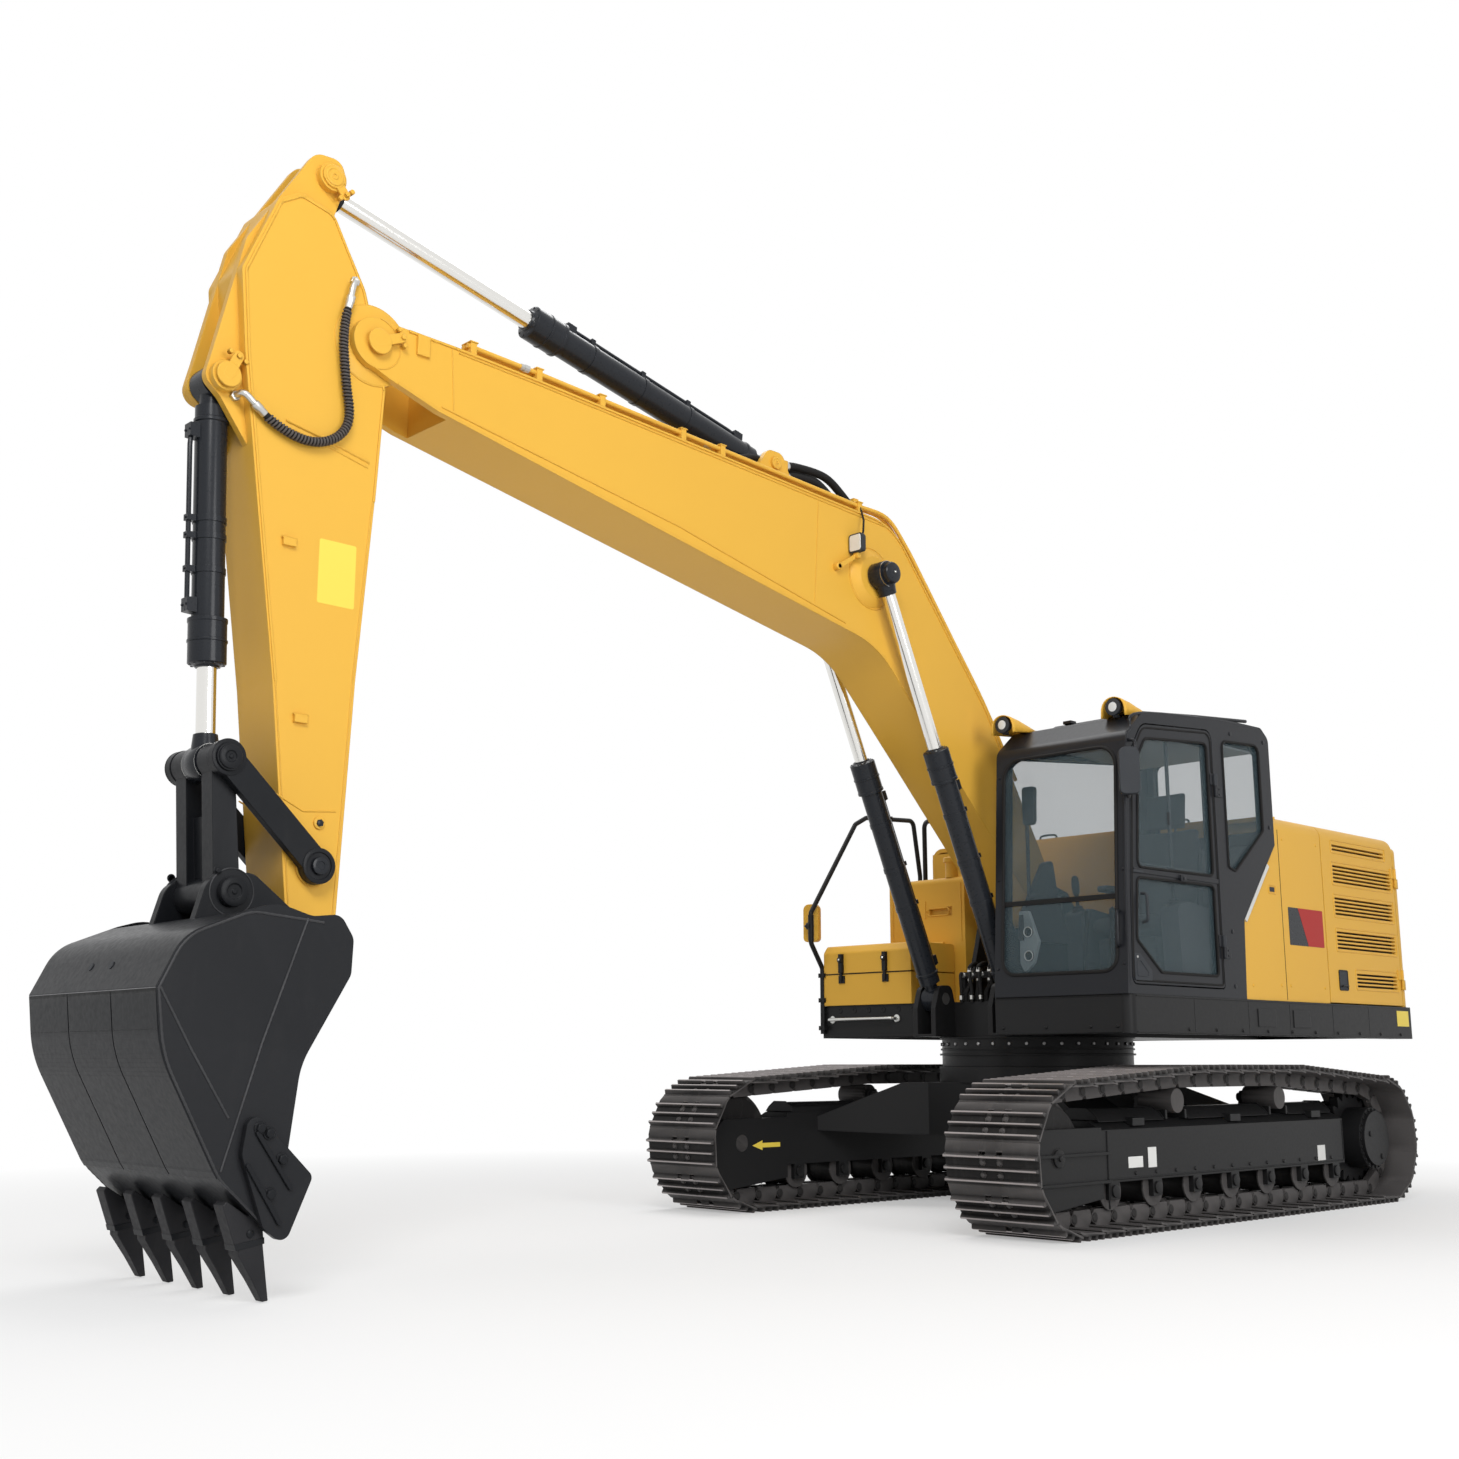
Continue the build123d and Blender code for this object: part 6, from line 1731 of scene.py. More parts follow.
def buildMirrors():
    heads, yellowHeads, glass, arms = (bmesh.new() for _ in range(4))
    addMirror(heads, glass, (0.975, 1.418), 2.425, 2.700, 40.0)
    addMirror(yellowHeads, glass, (0.640, -1.420), 1.735, 2.000, 18.0)
    left = [(0.905, 1.345, 2.440), (0.925, 1.385, 2.440), (0.975, 1.420, 2.445), (0.985, 1.420, 2.480)]
    right = [
        (0.732, -1.364, 1.840), (0.732, -1.395, 1.840), (0.690, -1.425, 1.850), (0.655, -1.425, 1.870)
    ]
    for line in (left, right):
        addTube(arms, curvedLine(line), 0.010, 12)
    addTurned(arms, (0.905, 1.352, 2.440), (0, 1, 0), ((0, 0.026), (0.012, 0.026), (0.015, 0.020)), 18)
    addTurned(arms, (0.732, -1.340, 1.840), (0, -1, 0), ((0, 0.026), (0.034, 0.026), (0.037, 0.020)), 18)
    finishPiece(heads, "mirror_heads", "controlPlastic", "upper", bevel=0.006)
    finishPiece(yellowHeads, "mirror_head_right", "bodyYellow", "upper", bevel=0.006)
    finishPiece(glass, "mirror_glass", "mirrorGlass", "upper")
    finishPiece(arms, "mirror_arms", "frameBlack", "upper")


# Cab

cabSizes = {
    "side": 1.360,
    "frontLow": (1.000, 1.2903),
    "frontHigh": (0.905, 2.800),
    "lamps": ((0.800, 1.215, 2.996), (0.890, 0.464, 2.982)),
    "lampRadius": 0.048,
    "lampHalf": 0.084,
    "seal": 0.011,
    "rightWall": 0.425,
    "rearWall": -0.790,
    "splitZ": 1.850,
    "hingeZs": (1.600, 2.600),
    "hingeX": -0.064,
    # The roof's height at its front end, at its rear end, and the front end's X and the run.
    "roof": (2.950, 3.045, 0.720, 0.900),
    "railYs": (0.470, 1.300),
    "vents": ((0.545, 1.690), (0.545, 1.545)),
}
doorLine = (
    (-0.060, 1.350, 0.020),
    (0.945, 1.350, 0.040),
    (0.925, 1.900),
    (0.862, 2.700, 0.120),
    (0.730, 2.880, 0.120),
    (-0.060, 2.945, 0.060),
)
upperWindow = (
    (0.000, 2.030, 0.040), (0.845, 2.020, 0.040), (0.790, 2.680, 0.080), (0.700, 2.800, 0.080),
    (0.000, 2.860, 0.040),
)
lowerWindow = (
    (0.000, 1.420, 0.030), (0.640, 1.420, 0.030), (0.885, 1.600, 0.030), (0.855, 1.960, 0.040),
    (0.000, 1.970, 0.040),
)
quarterWindow = (
    (-0.190, 2.900, 0.050),
    (-0.650, 2.930, 0.060),
    (-0.650, 2.370, 0.040),
    (-0.270, 2.080, 0.040),
    (-0.190, 2.100, 0.020),
)
rightWindow = (
    (-0.640, 2.300, 0.060), (-0.200, 1.700, 0.060), (0.860, 1.700, 0.060), (0.800, 2.780, 0.090),
    (-0.640, 2.920, 0.060),
)
frontWindow = ((0.485, 1.420, 0.090), (1.290, 1.420, 0.090), (1.290, 2.740, 0.120), (0.485, 2.740, 0.120))
rearWindow = ((0.515, 2.380, 0.040), (1.270, 2.380, 0.040), (1.270, 2.920, 0.060), (0.515, 2.920, 0.060))


def frontX(z, out=0.0):
    # X of the cab's leaning front wall at a height.
    (lowX, lowZ), (highX, highZ) = cabSizes["frontLow"], cabSizes["frontHigh"]
    return lowX + (highX - lowX) * (z - lowZ) / (highZ - lowZ) + out


def roofZ(x):
    front, rear, start, run = cabSizes["roof"]
    return front + (rear - front) * (start - x) / run


def buildCabSeals():
    seals, doorSeals, doorTrim = (bmesh.new() for _ in range(3))
    side, seal = cabSizes["side"], cabSizes["seal"]
    addTube(
        seals, [(frontX(z, 0.001), y, z) for y, z in bentLine(frontWindow, steps=8)], seal, 8, closed=True
    )
    addTube(seals, [(x, side, z) for x, z in bentLine(quarterWindow)], seal * 0.8, 8, closed=True)
    addTube(
        seals, [(x, cabSizes["rightWall"], z) for x, z in bentLine(rightWindow)], seal * 0.8, 8,
        closed=True,
    )
    addTube(
        seals, [(cabSizes["rearWall"], y, z) for y, z in bentLine(rearWindow)], seal * 0.8, 8, closed=True
    )
    for window in (upperWindow, lowerWindow):
        addTube(doorSeals, [(x, side, z) for x, z in bentLine(window)], seal * 0.8, 8, closed=True)
    edge = bentLine(doorLine, steps=7)
    centre = Vector((sum(p[0] for p in edge) / len(edge), sum(p[1] for p in edge) / len(edge)))
    inner = []
    for point in edge:
        away = Vector(point) - centre
        inner.append(centre + away * (1 - 0.020 / away.length))
    addTube(doorTrim, [(p[0], side - 0.001, p[1]) for p in inner], 0.007, 6, closed=True)
    # The split in the windscreen, and the sliding frame in the door's upper window.
    z = cabSizes["splitZ"]
    bar = [
        (frontX(z, -0.016) + dx, z + dz)
        for dx, dz in ((-0.010, -0.014), (0.012, -0.014), (0.012, 0.014), (-0.010, 0.014))
    ]
    addPrism(seals, bar, 0.487, 1.288)
    slider = bmesh.new()
    y0, y1 = side - 0.036, side - 0.022
    addBox(slider, (0.415, y0, 2.045), (0.438, y1, 2.815))
    addBox(slider, (0.004, y0, 2.045), (0.026, y1, 2.850))
    addBox(slider, (0.004, y0, 2.034), (0.835, y1, 2.054))
    addBox(slider, (0.004, y0, 2.835), (0.640, y1, 2.850))
    addBox(slider, (0.448, y1 - 0.002, 2.300), (0.470, y1 + 0.008, 2.380))
    sill = bmesh.new()
    addBox(sill, (-0.045, side - 0.002, 1.985), (0.895, side + 0.008, 2.012))
    addBox(sill, (0.345, side, 1.968), (0.405, side + 0.020, 2.006))
    addTurned(
        sill, (0.375, side + 0.012, 1.986), (0, 1, 0), ((0, 0.012), (0.012, 0.012), (0.014, 0.008)), 14
    )
    finishPiece(seals, "cab_seals", "rubber", "upper")
    finishPiece(doorSeals, "door_seals", "rubber", "cab_door")
    finishPiece(doorTrim, "door_edge_trim", "rubber", "cab_door")
    finishPiece(slider, "door_sliding_frame", "cabBlack", "cab_door", bevel=0.001)
    finishPiece(sill, "door_sill_bar", "cabBlack", "cab_door", bevel=0.002)


def buildCabFittings():
    side = cabSizes["side"]
    door, bright, shell = (bmesh.new() for _ in range(3))
    # The latch housing at the door's low front corner.
    plate = bentLine(
        (
            (0.930, 1.368, 0.008), (0.930, 1.520, 0.008), (0.868, 1.520, 0.012), (0.752, 1.425, 0.012),
            (0.752, 1.368, 0.008),
        )
    )
    addPrism(door, plate, side - 0.001, side + 0.008)
    inner = bentLine(
        (
            (0.905, 1.392, 0.008), (0.905, 1.480, 0.008), (0.870, 1.480, 0.012), (0.790, 1.415, 0.012),
            (0.790, 1.392, 0.008),
        )
    )
    addTube(door, [(x, side + 0.008, z) for x, z in inner], 0.004, 6, closed=True)
    addTurned(
        bright, (0.902, side + 0.006, 1.500), (0, 1, 0), ((0, 0.007), (0.005, 0.007), (0.006, 0.004)), 12
    )
    # Pull handle and lock on the door's middle.
    addPrism(
        door, bentLine(((0.800, 1.985), (0.905, 1.985), (0.905, 2.000), (0.800, 2.000))), side + 0.004,
        side + 0.012,
    )
    handle = [
        (0.820, side, 1.700), (0.820, side + 0.034, 1.712), (0.820, side + 0.038, 1.760),
        (0.820, side + 0.034, 1.856), (0.820, side, 1.868),
    ]
    hingeX = cabSizes["hingeX"]
    for z in cabSizes["hingeZs"]:
        start = (hingeX, side + 0.012, z - 0.072)
        addTurned(shell, start, (0, 0, 1), ((0, 0.0140), (0.0715, 0.0140), (0.0715, 0.006)), 16)
        addTurned(
            door, (hingeX, side + 0.012, z), (0, 0, 1),
            ((0, 0.0140), (0.070, 0.0140), (0.072, 0.010), (0.072, 0.0)), 16,
        )
        addBox(shell, (-0.150, side - 0.001, z - 0.068), (-0.072, side + 0.006, z - 0.004))
        for step in (-0.052, -0.020):
            addBolt(shell, (-0.115, side + 0.006, z + step), (0, 1, 0), 0.007)
    # Front post: grab bars, gutter and bolts.
    grab = [
        (0.905, side - 0.002, 2.480), (0.903, side + 0.040, 2.492), (0.895, side + 0.046, 2.560),
        (0.885, side + 0.046, 2.690), (0.880, side + 0.040, 2.752), (0.878, side - 0.002, 2.765),
    ]
    low = [
        (0.985, 1.300, 1.560), (1.010, 1.312, 1.572), (1.012, 1.314, 1.640), (1.008, 1.314, 1.740),
        (0.978, 1.300, 1.760),
    ]
    grabs = bmesh.new()
    addTube(grabs, curvedLine(low, 4), 0.010, 10)
    addTube(
        shell,
        curvedLine(
            [
                (0.975, 1.352, 1.345), (0.962, 1.352, 1.900), (0.905, 1.352, 2.700),
                (0.845, 1.352, 2.838), (0.735, 1.352, 2.946), (-0.150, 1.352, 3.028),
                (-0.660, 1.352, 3.040),
            ],
            6,
        ),
        0.010, 8,
    )
    for z in (1.46, 2.0, 2.64):
        addBolt(shell, (frontX(z), 1.335, z), (1, 0, 0), 0.008)
        addBolt(shell, (frontX(z), 0.450, z), (1, 0, 0), 0.008)
    # Round plugs on the cab's side, behind the door.
    for x, z in ((-0.190, 1.365), (-0.190, 1.700), (-0.720, 2.960), (-0.300, 2.960), (-0.735, 2.400)):
        addTurned(
            shell, (x, side - 0.001, z), (0, 1, 0),
            ((0, 0.014), (0.004, 0.014), (0.006, 0.008), (0.006, 0.0)), 14,
        )
    # Roof: a raised hatch with two latches, and a rail along each side.
    hatch = bmesh.new()
    rows = []
    for x, inset, up in (
        (0.560, 0.0, 0.0), (0.500, 0.03, 0.034), (-0.350, 0.03, 0.040), (-0.420, 0.0, 0.0)
    ):
        z = roofZ(x) + up
        rows.append([hatch.verts.new((x, y, z)) for y in (0.560 + inset, 1.220 - inset)])
    for row, after in zip(rows, rows[1:]):
        hatch.faces.new((row[0], row[1], after[1], after[0]))
    under = [
        [hatch.verts.new((row[0].co.x, vertex.co.y, roofZ(row[0].co.x) - 0.004)) for vertex in row]
        for row in rows
    ]
    for row, after in zip(under, under[1:]):
        hatch.faces.new((row[0], row[1], after[1], after[0]))
    for hand in (0, 1):
        for a, b, c, d in zip(rows, rows[1:], under[1:], under):
            hatch.faces.new((a[hand], b[hand], c[hand], d[hand]))
    for a, b in ((rows[0], under[0]), (rows[-1], under[-1])):
        hatch.faces.new((a[0], a[1], b[1], b[0]))
    for y in (0.700, 1.080):
        addBox(hatch, (0.470, y - 0.030, roofZ(0.5) + 0.032), (0.530, y + 0.030, roofZ(0.5) + 0.052))
    for y in cabSizes["railYs"]:
        line = [(x, y, roofZ(x) + up) for x, up in ((0.640, 0.012), (0.0, 0.012), (-0.620, 0.004))]
        addTube(hatch, line, 0.012, 8)
    finishPiece(door, "door_fittings", "controlPlastic", "cab_door", bevel=0.001)
    pull = bmesh.new()
    addTube(pull, curvedLine(handle, 4), 0.009, 10)
    finishPiece(pull, "door_pull", "controlPlastic", "cab_door")
    finishPiece(bright, "door_key_lock", "zinc", "cab_door")
    finishPiece(shell, "cab_fittings", "cabBlack", "upper", bevel=0.001)
    addTube(grabs, curvedLine(grab, 4), 0.011, 12)
    finishPiece(grabs, "cab_grab_bars", "cabBlack", "upper")
    finishPiece(hatch, "cab_roof_hatch", "cabBlack", "upper", bevel=0.004)


def buildCabLamps():
    covers, bodies, lenses, rings = (bmesh.new() for _ in range(4))
    radius, half = cabSizes["lampRadius"], cabSizes["lampHalf"]
    for x, y, z in cabSizes["lamps"]:
        # The cover is a crowned shell that runs back onto the roof.
        sections = []
        for share in (0.0, 0.12, 0.35, 0.65, 1.0):
            px = x + 0.004 - share * 0.250
            rise = (z + radius + 0.014 - roofZ(px)) * (1.0 - share**2.0) + 0.006
            wide = half * (1.0 + 0.25 * share)
            section = []
            for number in range(13):
                angle = math.pi * number / 12
                section.append(
                    covers.verts.new(
                        (
                            px, y + wide * math.cos(angle),
                            roofZ(px) - 0.006 + rise * math.sin(angle) ** 0.6,
                        )
                    )
                )
            sections.append(section)
        for first, second in zip(sections, sections[1:]):
            for a, b, c, d in zip(first, first[1:], second[1:], second):
                covers.faces.new((a, b, c, d))
        addTurned(
            bodies, (x - 0.060, y, z), (1, 0, 0),
            (
                (0, 0.030), (0.030, radius), (0.062, radius), (0.064, radius - 0.004),
                (0.058, radius - 0.007), (0.058, 0.0),
            ),
            32,
        )
        addTurned(
            lenses, (x - 0.004, y, z), (1, 0, 0),
            ((0, radius - 0.0065), (0.004, radius - 0.0065), (0.009, radius - 0.022), (0.0105, 0.0)), 32,
        )
        addTurned(
            rings, (x - 0.014, y, z), (1, 0, 0),
            (
                (0, radius + 0.0005), (0.012, radius + 0.0035), (0.016, radius + 0.0035),
                (0.018, radius - 0.002),
            ),
            32,
        )
        addBox(
            bodies, (x - 0.050, y - 0.014, roofZ(x - 0.03) - 0.010),
            (x - 0.020, y + 0.014, z - radius + 0.006),
        )
    cover = finishPiece(covers, "cab_lamp_covers", "bodyYellow", "upper")
    thick = cover.modifiers.new("thickness", "SOLIDIFY")
    thick.thickness = 0.004
    finishPiece(bodies, "cab_lamp_bodies", "controlPlastic", "upper")
    finishPiece(rings, "cab_lamp_rings", "controlPlastic", "upper")
    finishPiece(lenses, "cab_lamp_lenses", "lensPale", "upper")


# Cab inside

seatSizes = {"middle": 0.8925, "floor": 1.3358}


def softPad(name, length, width, height, place, lean, crown):
    # A crowned closed pad: a rounded box whose faces swell and whose sides pull in between corners.
    mesh = bmesh.new()
    bmesh.ops.create_grid(mesh, x_segments=14, y_segments=14, size=0.5)
    top = mesh.verts[:]
    for vertex in top:
        vertex.co.z = 0.5
    copy = bmesh.ops.duplicate(mesh, geom=mesh.verts[:] + mesh.edges[:] + mesh.faces[:])["geom"]
    for item in copy:
        if isinstance(item, bmesh.types.BMVert):
            item.co.z = -0.5
    outer = [edge for edge in mesh.edges if edge.is_boundary]
    bmesh.ops.bridge_loops(mesh, edges=outer)
    for vertex in mesh.verts:
        x, y, z = vertex.co
        edge = max(abs(x), abs(y)) * 2
        swell = (1 - (2 * x) ** 2) * (1 - (2 * y) ** 2)
        pull = 1 - 0.035 * (1 - (2 * min(abs(x), abs(y))) ** 2) * edge**6
        up = 0.5 * (1 - 0.42 * edge**8)
        channel = crown * 0.22 * math.exp(-((abs(y) - 0.27) / 0.022) ** 2) if z > 0 else 0.0
        vertex.co = (
            x * pull * length, y * pull * width,
            math.copysign(up * height, z) + (crown * swell - channel if z > 0 else 0.0),
        )
    turn = Matrix.Rotation(math.radians(-lean), 4, "Y")
    mesh.transform(Matrix.Translation(place) @ turn)
    piece = finishPiece(mesh, name, "seatCloth", "upper", sharp=80.0)
    smooth = piece.modifiers.new("smooth", "SUBSURF")
    smooth.levels = smooth.render_levels = 1
    return piece


def buildCabInside():
    middle, floor = seatSizes["middle"], seatSizes["floor"]
    base = bmesh.new()
    profile = bentLine(
        ((-0.150, floor), (0.250, floor), (0.270, floor + 0.330, 0.03), (-0.180, floor + 0.330, 0.03))
    )
    addPrism(base, profile, middle - 0.200, middle + 0.200)
    for number in range(7):
        z = floor + 0.060 + 0.036 * number
        addBox(base, (-0.150 - 0.006, middle - 0.206, z), (0.262, middle + 0.206, z + 0.016))
    for hand in (-1, 1):
        addPrism(
            base,
            (
                (-0.300, floor + 0.500), (-0.250, floor + 0.500), (-0.300, floor + 0.980),
                (-0.330, floor + 0.980),
            ),
            middle + hand * 0.200 - 0.010, middle + hand * 0.200 + 0.010,
        )
        addTube(
            base,
            [
                (-0.262, middle + hand * 0.060, floor + 0.960),
                (-0.275, middle + hand * 0.060, floor + 1.120),
            ],
            0.008, 8,
        )
    frameBase = finishPiece(base, "seat_base", "controlPlastic", "upper", bevel=0.003)
    pads = [
        softPad("seat_cushion", 0.480, 0.480, 0.120, (0.045, middle, floor + 0.395), 4.0, 0.018),
        softPad("seat_back", 0.600, 0.450, 0.100, (-0.225, middle, floor + 0.745), 98.0, 0.022),
        softPad("seat_headrest", 0.230, 0.270, 0.080, (-0.265, middle, floor + 1.165), 96.0, 0.012),
    ]
    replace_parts(frameBase, "cab_seat")
    console, levers, pale, dials, screen, red = (bmesh.new() for _ in range(6))
    for hand in (-1, 1):
        y = middle + hand * 0.345
        shape = bentLine(
            (
                (-0.120, floor), (0.300, floor), (0.330, floor + 0.500, 0.05),
                (0.200, floor + 0.530, 0.05), (-0.120, floor + 0.490, 0.04),
            )
        )
        addPrism(console, shape, y - 0.062, y + 0.062)
        stick = [(0.265, y, floor + 0.505), (0.272, y, floor + 0.580), (0.280, y, floor + 0.620)]
        addTube(levers, stick, [0.014, 0.010, 0.012], 10)
        grip = ((0, 0.014), (0.020, 0.024), (0.070, 0.026), (0.110, 0.022), (0.125, 0.012), (0.128, 0.0))
        addTurned(levers, (0.279, y, floor + 0.612), (0.10, 0, 1), grip, 16)
        boot = (
            (0, 0.045), (0.012, 0.046), (0.016, 0.036), (0.028, 0.038), (0.032, 0.028), (0.044, 0.028),
            (0.050, 0.016),
        )
        addTurned(levers, (0.263, y, floor + 0.500), (0.10, 0, 1), boot, 20)
        arm = bentLine(
            (
                (-0.240, floor + 0.640, 0.02), (0.060, floor + 0.650, 0.02),
                (0.060, floor + 0.690, 0.02), (-0.240, floor + 0.690, 0.02),
            )
        )
        addPrism(console, arm, middle + hand * 0.300 - 0.035, middle + hand * 0.300 + 0.035)
        pedalX, pedalY = 0.600, middle + hand * 0.090
        addTube(
            levers, [(pedalX + 0.02, pedalY, floor + 0.01), (pedalX - 0.05, pedalY, floor + 0.420)],
            0.012, 8,
        )
        addTurned(
            levers, (pedalX - 0.05, pedalY, floor + 0.410), (-0.1, 0, 1),
            ((0, 0.014), (0.03, 0.022), (0.07, 0.022), (0.09, 0.0)), 12,
        )
        addPrism(
            console, ((0.560, floor), (0.760, floor), (0.760, floor + 0.060), (0.740, floor + 0.070)),
            pedalY - 0.058, pedalY + 0.058,
        )
    deckPlate = finishPiece(console, "cab_consoles", "controlPlastic", "upper", bevel=0.003)
    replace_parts(deckPlate, "cab_controls")
    finishPiece(levers, "cab_levers", "rubber", "upper")
    # The pale panel with two round vents in front of the right console.
    shape = bentLine(
        (
            (0.475, 1.820, 0.012), (0.545, 1.820, 0.012), (0.615, 1.630, 0.020), (0.575, 1.500, 0.020),
            (0.505, 1.440, 0.020), (0.475, 1.500, 0.012),
        )
    )
    addPrism(pale, shape, 0.770, 0.800, "front")
    finishPiece(pale, "side_panel", "palePlastic", "upper", bevel=0.004)
    rims = bmesh.new()
    for y, z in cabSizes["vents"]:
        addTurned(
            dials, (0.799, y, z), (1, 0, 0),
            (
                (0, 0.034), (0.006, 0.034), (0.009, 0.030), (0.004, 0.027), (0.004, 0.010),
                (0.009, 0.008), (0.009, 0.0),
            ),
            28,
        )
        addTube(
            rims,
            [
                (0.808, y + 0.030 * math.cos(a * math.pi / 12), z + 0.030 * math.sin(a * math.pi / 12))
                for a in range(24)
            ],
            0.0035, 6, closed=True,
        )
    finishPiece(dials, "side_panel_vents", "rubber", "upper")
    finishPiece(rims, "side_panel_rims", "signWhite", "upper")
    body = bentLine(
        ((0.480, 2.360, 0.02), (0.560, 2.360, 0.02), (0.575, 2.600, 0.02), (0.480, 2.600, 0.02))
    )
    addPrism(screen, body, 0.700, 0.735, "front")
    addTube(screen, [(0.720, 0.500, 1.830), (0.715, 0.500, 2.370)], 0.012, 10)
    finishPiece(screen, "monitor", "controlPlastic", "upper", bevel=0.004)
    glow = bmesh.new()
    addPrism(
        glow, ((0.488, 2.380), (0.562, 2.380), (0.566, 2.580), (0.488, 2.580)), 0.696, 0.702, "front"
    )
    finishPiece(glow, "monitor_face", "palePlastic", "upper")
    # The right-hand dash below the side window, and the rear shelf seen through the door.
    dash = bmesh.new()
    shape = bentLine(
        (
            (0.300, 1.640), (0.820, 1.640), (0.800, 1.800, 0.04), (0.560, 2.140, 0.05),
            (0.470, 2.160, 0.03), (0.420, 1.900),
        )
    )
    addPrism(dash, shape, 0.476, 0.512)
    shelf = ((-0.740, 1.790), (-0.400, 1.790), (-0.345, 1.900), (-0.400, 2.100), (-0.740, 2.300))
    addPrism(dash, shelf, 0.480, 1.300)
    finishPiece(dash, "cab_dash", "controlPlastic", "upper", bevel=0.003)
    box = bmesh.new()
    shape = bentLine(
        ((-0.300, 1.560, 0.03), (0.060, 1.560, 0.03), (0.080, 1.850, 0.02), (-0.300, 1.850, 0.02))
    )
    addPrism(box, shape, 1.160, 1.176)
    finishPiece(box, "console_side", "palePlastic", "upper", bevel=0.004)
    addTube(
        red, [(0.250, 1.245, 1.560), (0.215, 1.245, 1.700), (0.190, 1.245, 1.810)],
        [0.010, 0.009, 0.014], 10,
    )
    finishPiece(red, "safety_lever", "signRed", "upper")
    liner = bmesh.new()
    addBox(liner, (-0.640, 0.472, 2.880), (0.680, 1.313, 2.893))
    addBox(liner, (-0.250, 0.472, 1.3355), (0.930, 1.313, 1.3400))
    finishPiece(liner, "cab_liner", "headliner", "upper")
    print("cab inside has", len(pads), "soft pads")


# Rear body

bodySizes = {"side": 1.350}


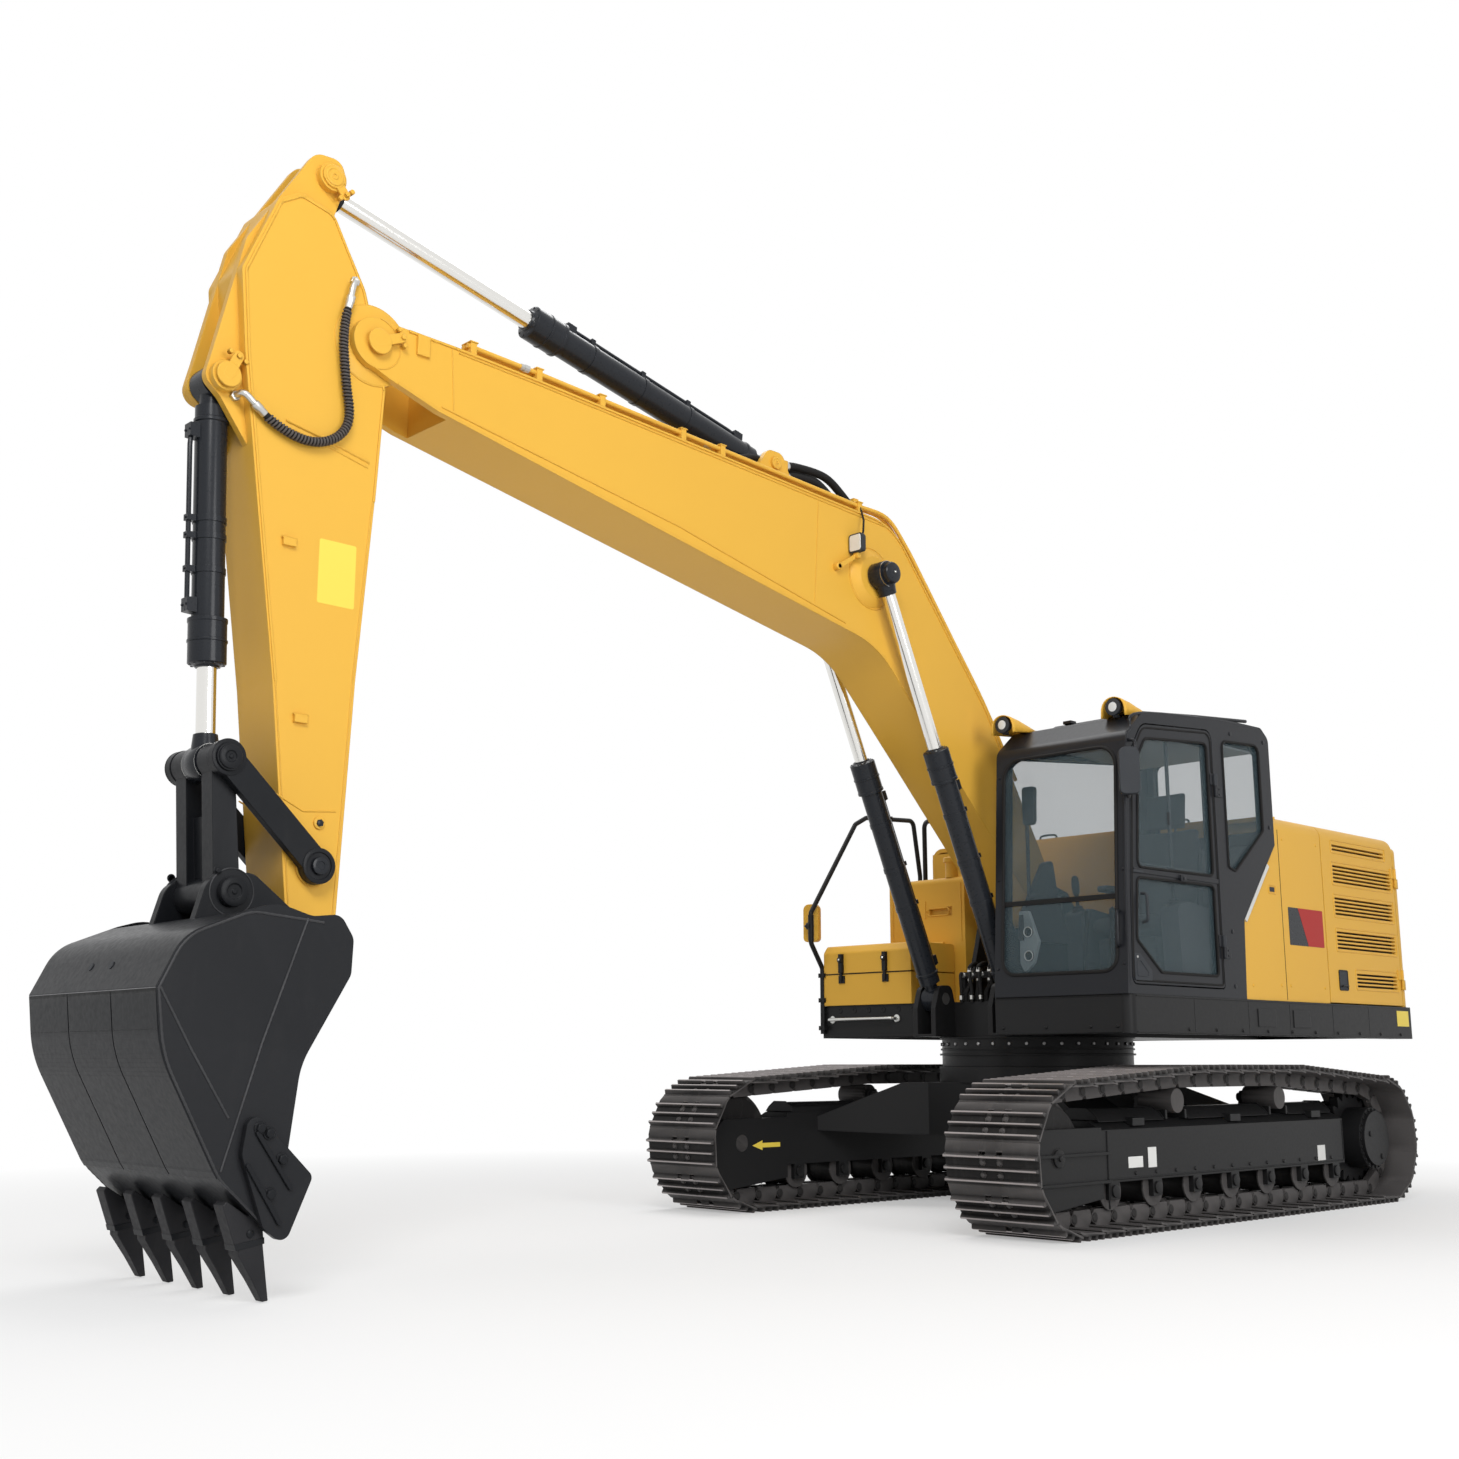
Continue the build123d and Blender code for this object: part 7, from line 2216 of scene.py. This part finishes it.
def buildBodyDetails():
    seams, bolts, latch, stripe, mark, markRed = (bmesh.new() for _ in range(6))
    side = bodySizes["side"]
    addBox(seams, (-0.8525, side - 0.0006, 1.300), (-0.8475, side + 0.0012, 2.400))
    shape = ((-0.372, 1.770), (-0.350, 1.788), (-0.672, 2.160), (-0.694, 2.142))
    addPrism(stripe, shape, side - 0.002, side + 0.0135)
    for x, z in (
        (-0.430, 1.380), (-0.790, 1.390), (-0.800, 2.300), (-0.910, 1.390), (-1.370, 1.390),
        (-1.370, 2.340), (-0.910, 2.340),
    ):
        addTurned(
            bolts, (x, side - 0.001, z), (0, 1, 0),
            ((0, 0.010), (0.003, 0.010), (0.006, 0.006), (0.006, 0.0)), 12,
        )
    square = roundPlate(-0.780, 1.975, -0.690, 2.025, 0.008)
    addTube(bolts, [(x, side, z) for x, z in square], 0.005, 6, closed=True)
    addPrism(latch, roundPlate(-0.765, 1.985, -0.705, 2.015, 0.005), side - 0.001, side + 0.002)
    grip = roundPlate(-1.695, 1.385, -1.575, 1.515, 0.010)
    doorLatch, rim = bmesh.new(), bmesh.new()
    addPrism(doorLatch, grip, side - 0.001, side + 0.003)
    addTube(rim, [(x, side + 0.002, z) for x, z in grip], 0.0045, 6, closed=True)
    addTube(
        rim,
        [
            (-1.675, side + 0.004, 1.405), (-1.675, side + 0.016, 1.412), (-1.595, side + 0.016, 1.412),
            (-1.595, side + 0.004, 1.405),
        ],
        0.005, 6,
    )
    addPrism(mark, roundPlate(-1.395, 1.655, -0.930, 1.900, 0.006), side - 0.0004, side + 0.0010)
    addPrism(
        markRed,
        bentLine(((-1.395, 1.655, 0.006), (-1.180, 1.655), (-1.060, 1.900), (-1.395, 1.900, 0.006))),
        side - 0.0002, side + 0.0018,
    )
    finishPiece(seams, "body_seams", "rubber", "upper")
    finishPiece(stripe, "body_silver_strip", "silverPaint", "upper", bevel=0.001)
    finishPiece(bolts, "body_bolts", "bodyYellow", "upper")
    finishPiece(latch, "panel_latch", "controlPlastic", "upper")
    finishPiece(doorLatch, "grille_door_latch", "controlPlastic", "grille_door")
    finishPiece(rim, "grille_door_latch_rim", "frameBlack", "grille_door")
    finishPiece(mark, "body_plate_dark", "glossBlack", "upper")
    finishPiece(markRed, "body_plate_red", "signRed", "upper")
    # Dark screens behind the grilles, painted as dark as the shade of the engine bay behind them, and the
    # slats' pressed frames.
    for hand, body, rows in (
        (
            1, "grille_door",
            (
                (-2.380, -1.600, 2.330, 2.390), (-2.460, -1.590, 2.110, 2.240),
                (-2.460, -1.590, 1.890, 2.020), (-2.460, -1.590, 1.660, 1.790),
                (-2.450, -1.840, 1.410, 1.520),
            ),
        ),
        (-1, "pump_door", ((-2.460, -1.590, 2.110, 2.240), (-2.460, -1.590, 1.890, 2.020))),
    ):
        shaded_screens, frames = bmesh.new(), bmesh.new()
        for low, high, bottom, top in rows:
            face = hand * side
            # Each row of openings is backed by a dark panel: the screen, painted dark for the shade of
            # the bay behind it.
            addBox(
                shaded_screens, (low - 0.010, face - hand * 0.034, bottom - 0.010),
                (high + 0.010, face - hand * 0.031, top + 0.010),
            )
            border = roundPlate(low - 0.018, bottom - 0.018, high + 0.018, top + 0.010, 0.012)
            addTube(frames, [(x, face, z) for x, z in border], 0.004, 6, closed=True)
        finishPiece(shaded_screens, body + "_screens", "rubber", body)
        finishPiece(frames, body + "_grille_frames", "bodyYellow", body)
    # Hood: handles and raised ribs; counterweight: tail lamps.
    hood = bmesh.new()
    for y in (-0.55, 0.55):
        addTube(
            hood,
            curvedLine(
                [
                    (-1.000, y - 0.07, 2.519), (-1.000, y - 0.06, 2.556), (-1.000, y + 0.06, 2.556),
                    (-1.000, y + 0.07, 2.519),
                ],
                4,
            ),
            0.008, 8,
        )
    finishPiece(hood, "hood_handles", "frameBlack", "engine_hood")
    ribs = bmesh.new()
    for y in (-0.45, 0.0, 0.45):
        addPrism(ribs, roundPlate(-2.050, y - 0.100, -1.120, y + 0.100, 0.03), 2.518, 2.525, "plan")
    finishPiece(ribs, "hood_ribs", "bodyYellow", "engine_hood", bevel=0.002)
    tail, glass = bmesh.new(), bmesh.new()
    for y in (-1.0, 1.0):
        addPrism(tail, roundPlate(y - 0.09, 1.34, y + 0.09, 1.42, 0.02), -2.688, -2.668, "front")
        addPrism(glass, roundPlate(y - 0.075, 1.350, y + 0.075, 1.410, 0.015), -2.692, -2.686, "front")
    finishPiece(tail, "tail_lamp_bodies", "controlPlastic", "upper", bevel=0.002)
    finishPiece(glass, "tail_lamp_lenses", "signRed", "upper", bevel=0.002)


addCamera()
addStage()
dressNodes()
print("stage and finishes done")
for side, name in ((1, "track_left"), (-1, "track_right")):
    buildTrack(name, side)
buildFrameCovers()
buildUnderDetails()
buildRingDetails()
print("undercarriage done")
buildRams()
buildBoomForms()
buildBoomDetails()
buildArmForms()
buildArmDetails()
buildArmHose()
print("boom and arm done")
buildBucketForms()
buildBucketDetails()
buildLinkDetails()
print("bucket done")
buildDeckDetails()
buildRails()
buildToolboxDetails()
buildHoseBank()
buildMirrors()
print("deck done")
buildCabSeals()
buildCabFittings()
buildCabLamps()
buildCabInside()
print("cab done")
buildBodyDetails()
print("body done")
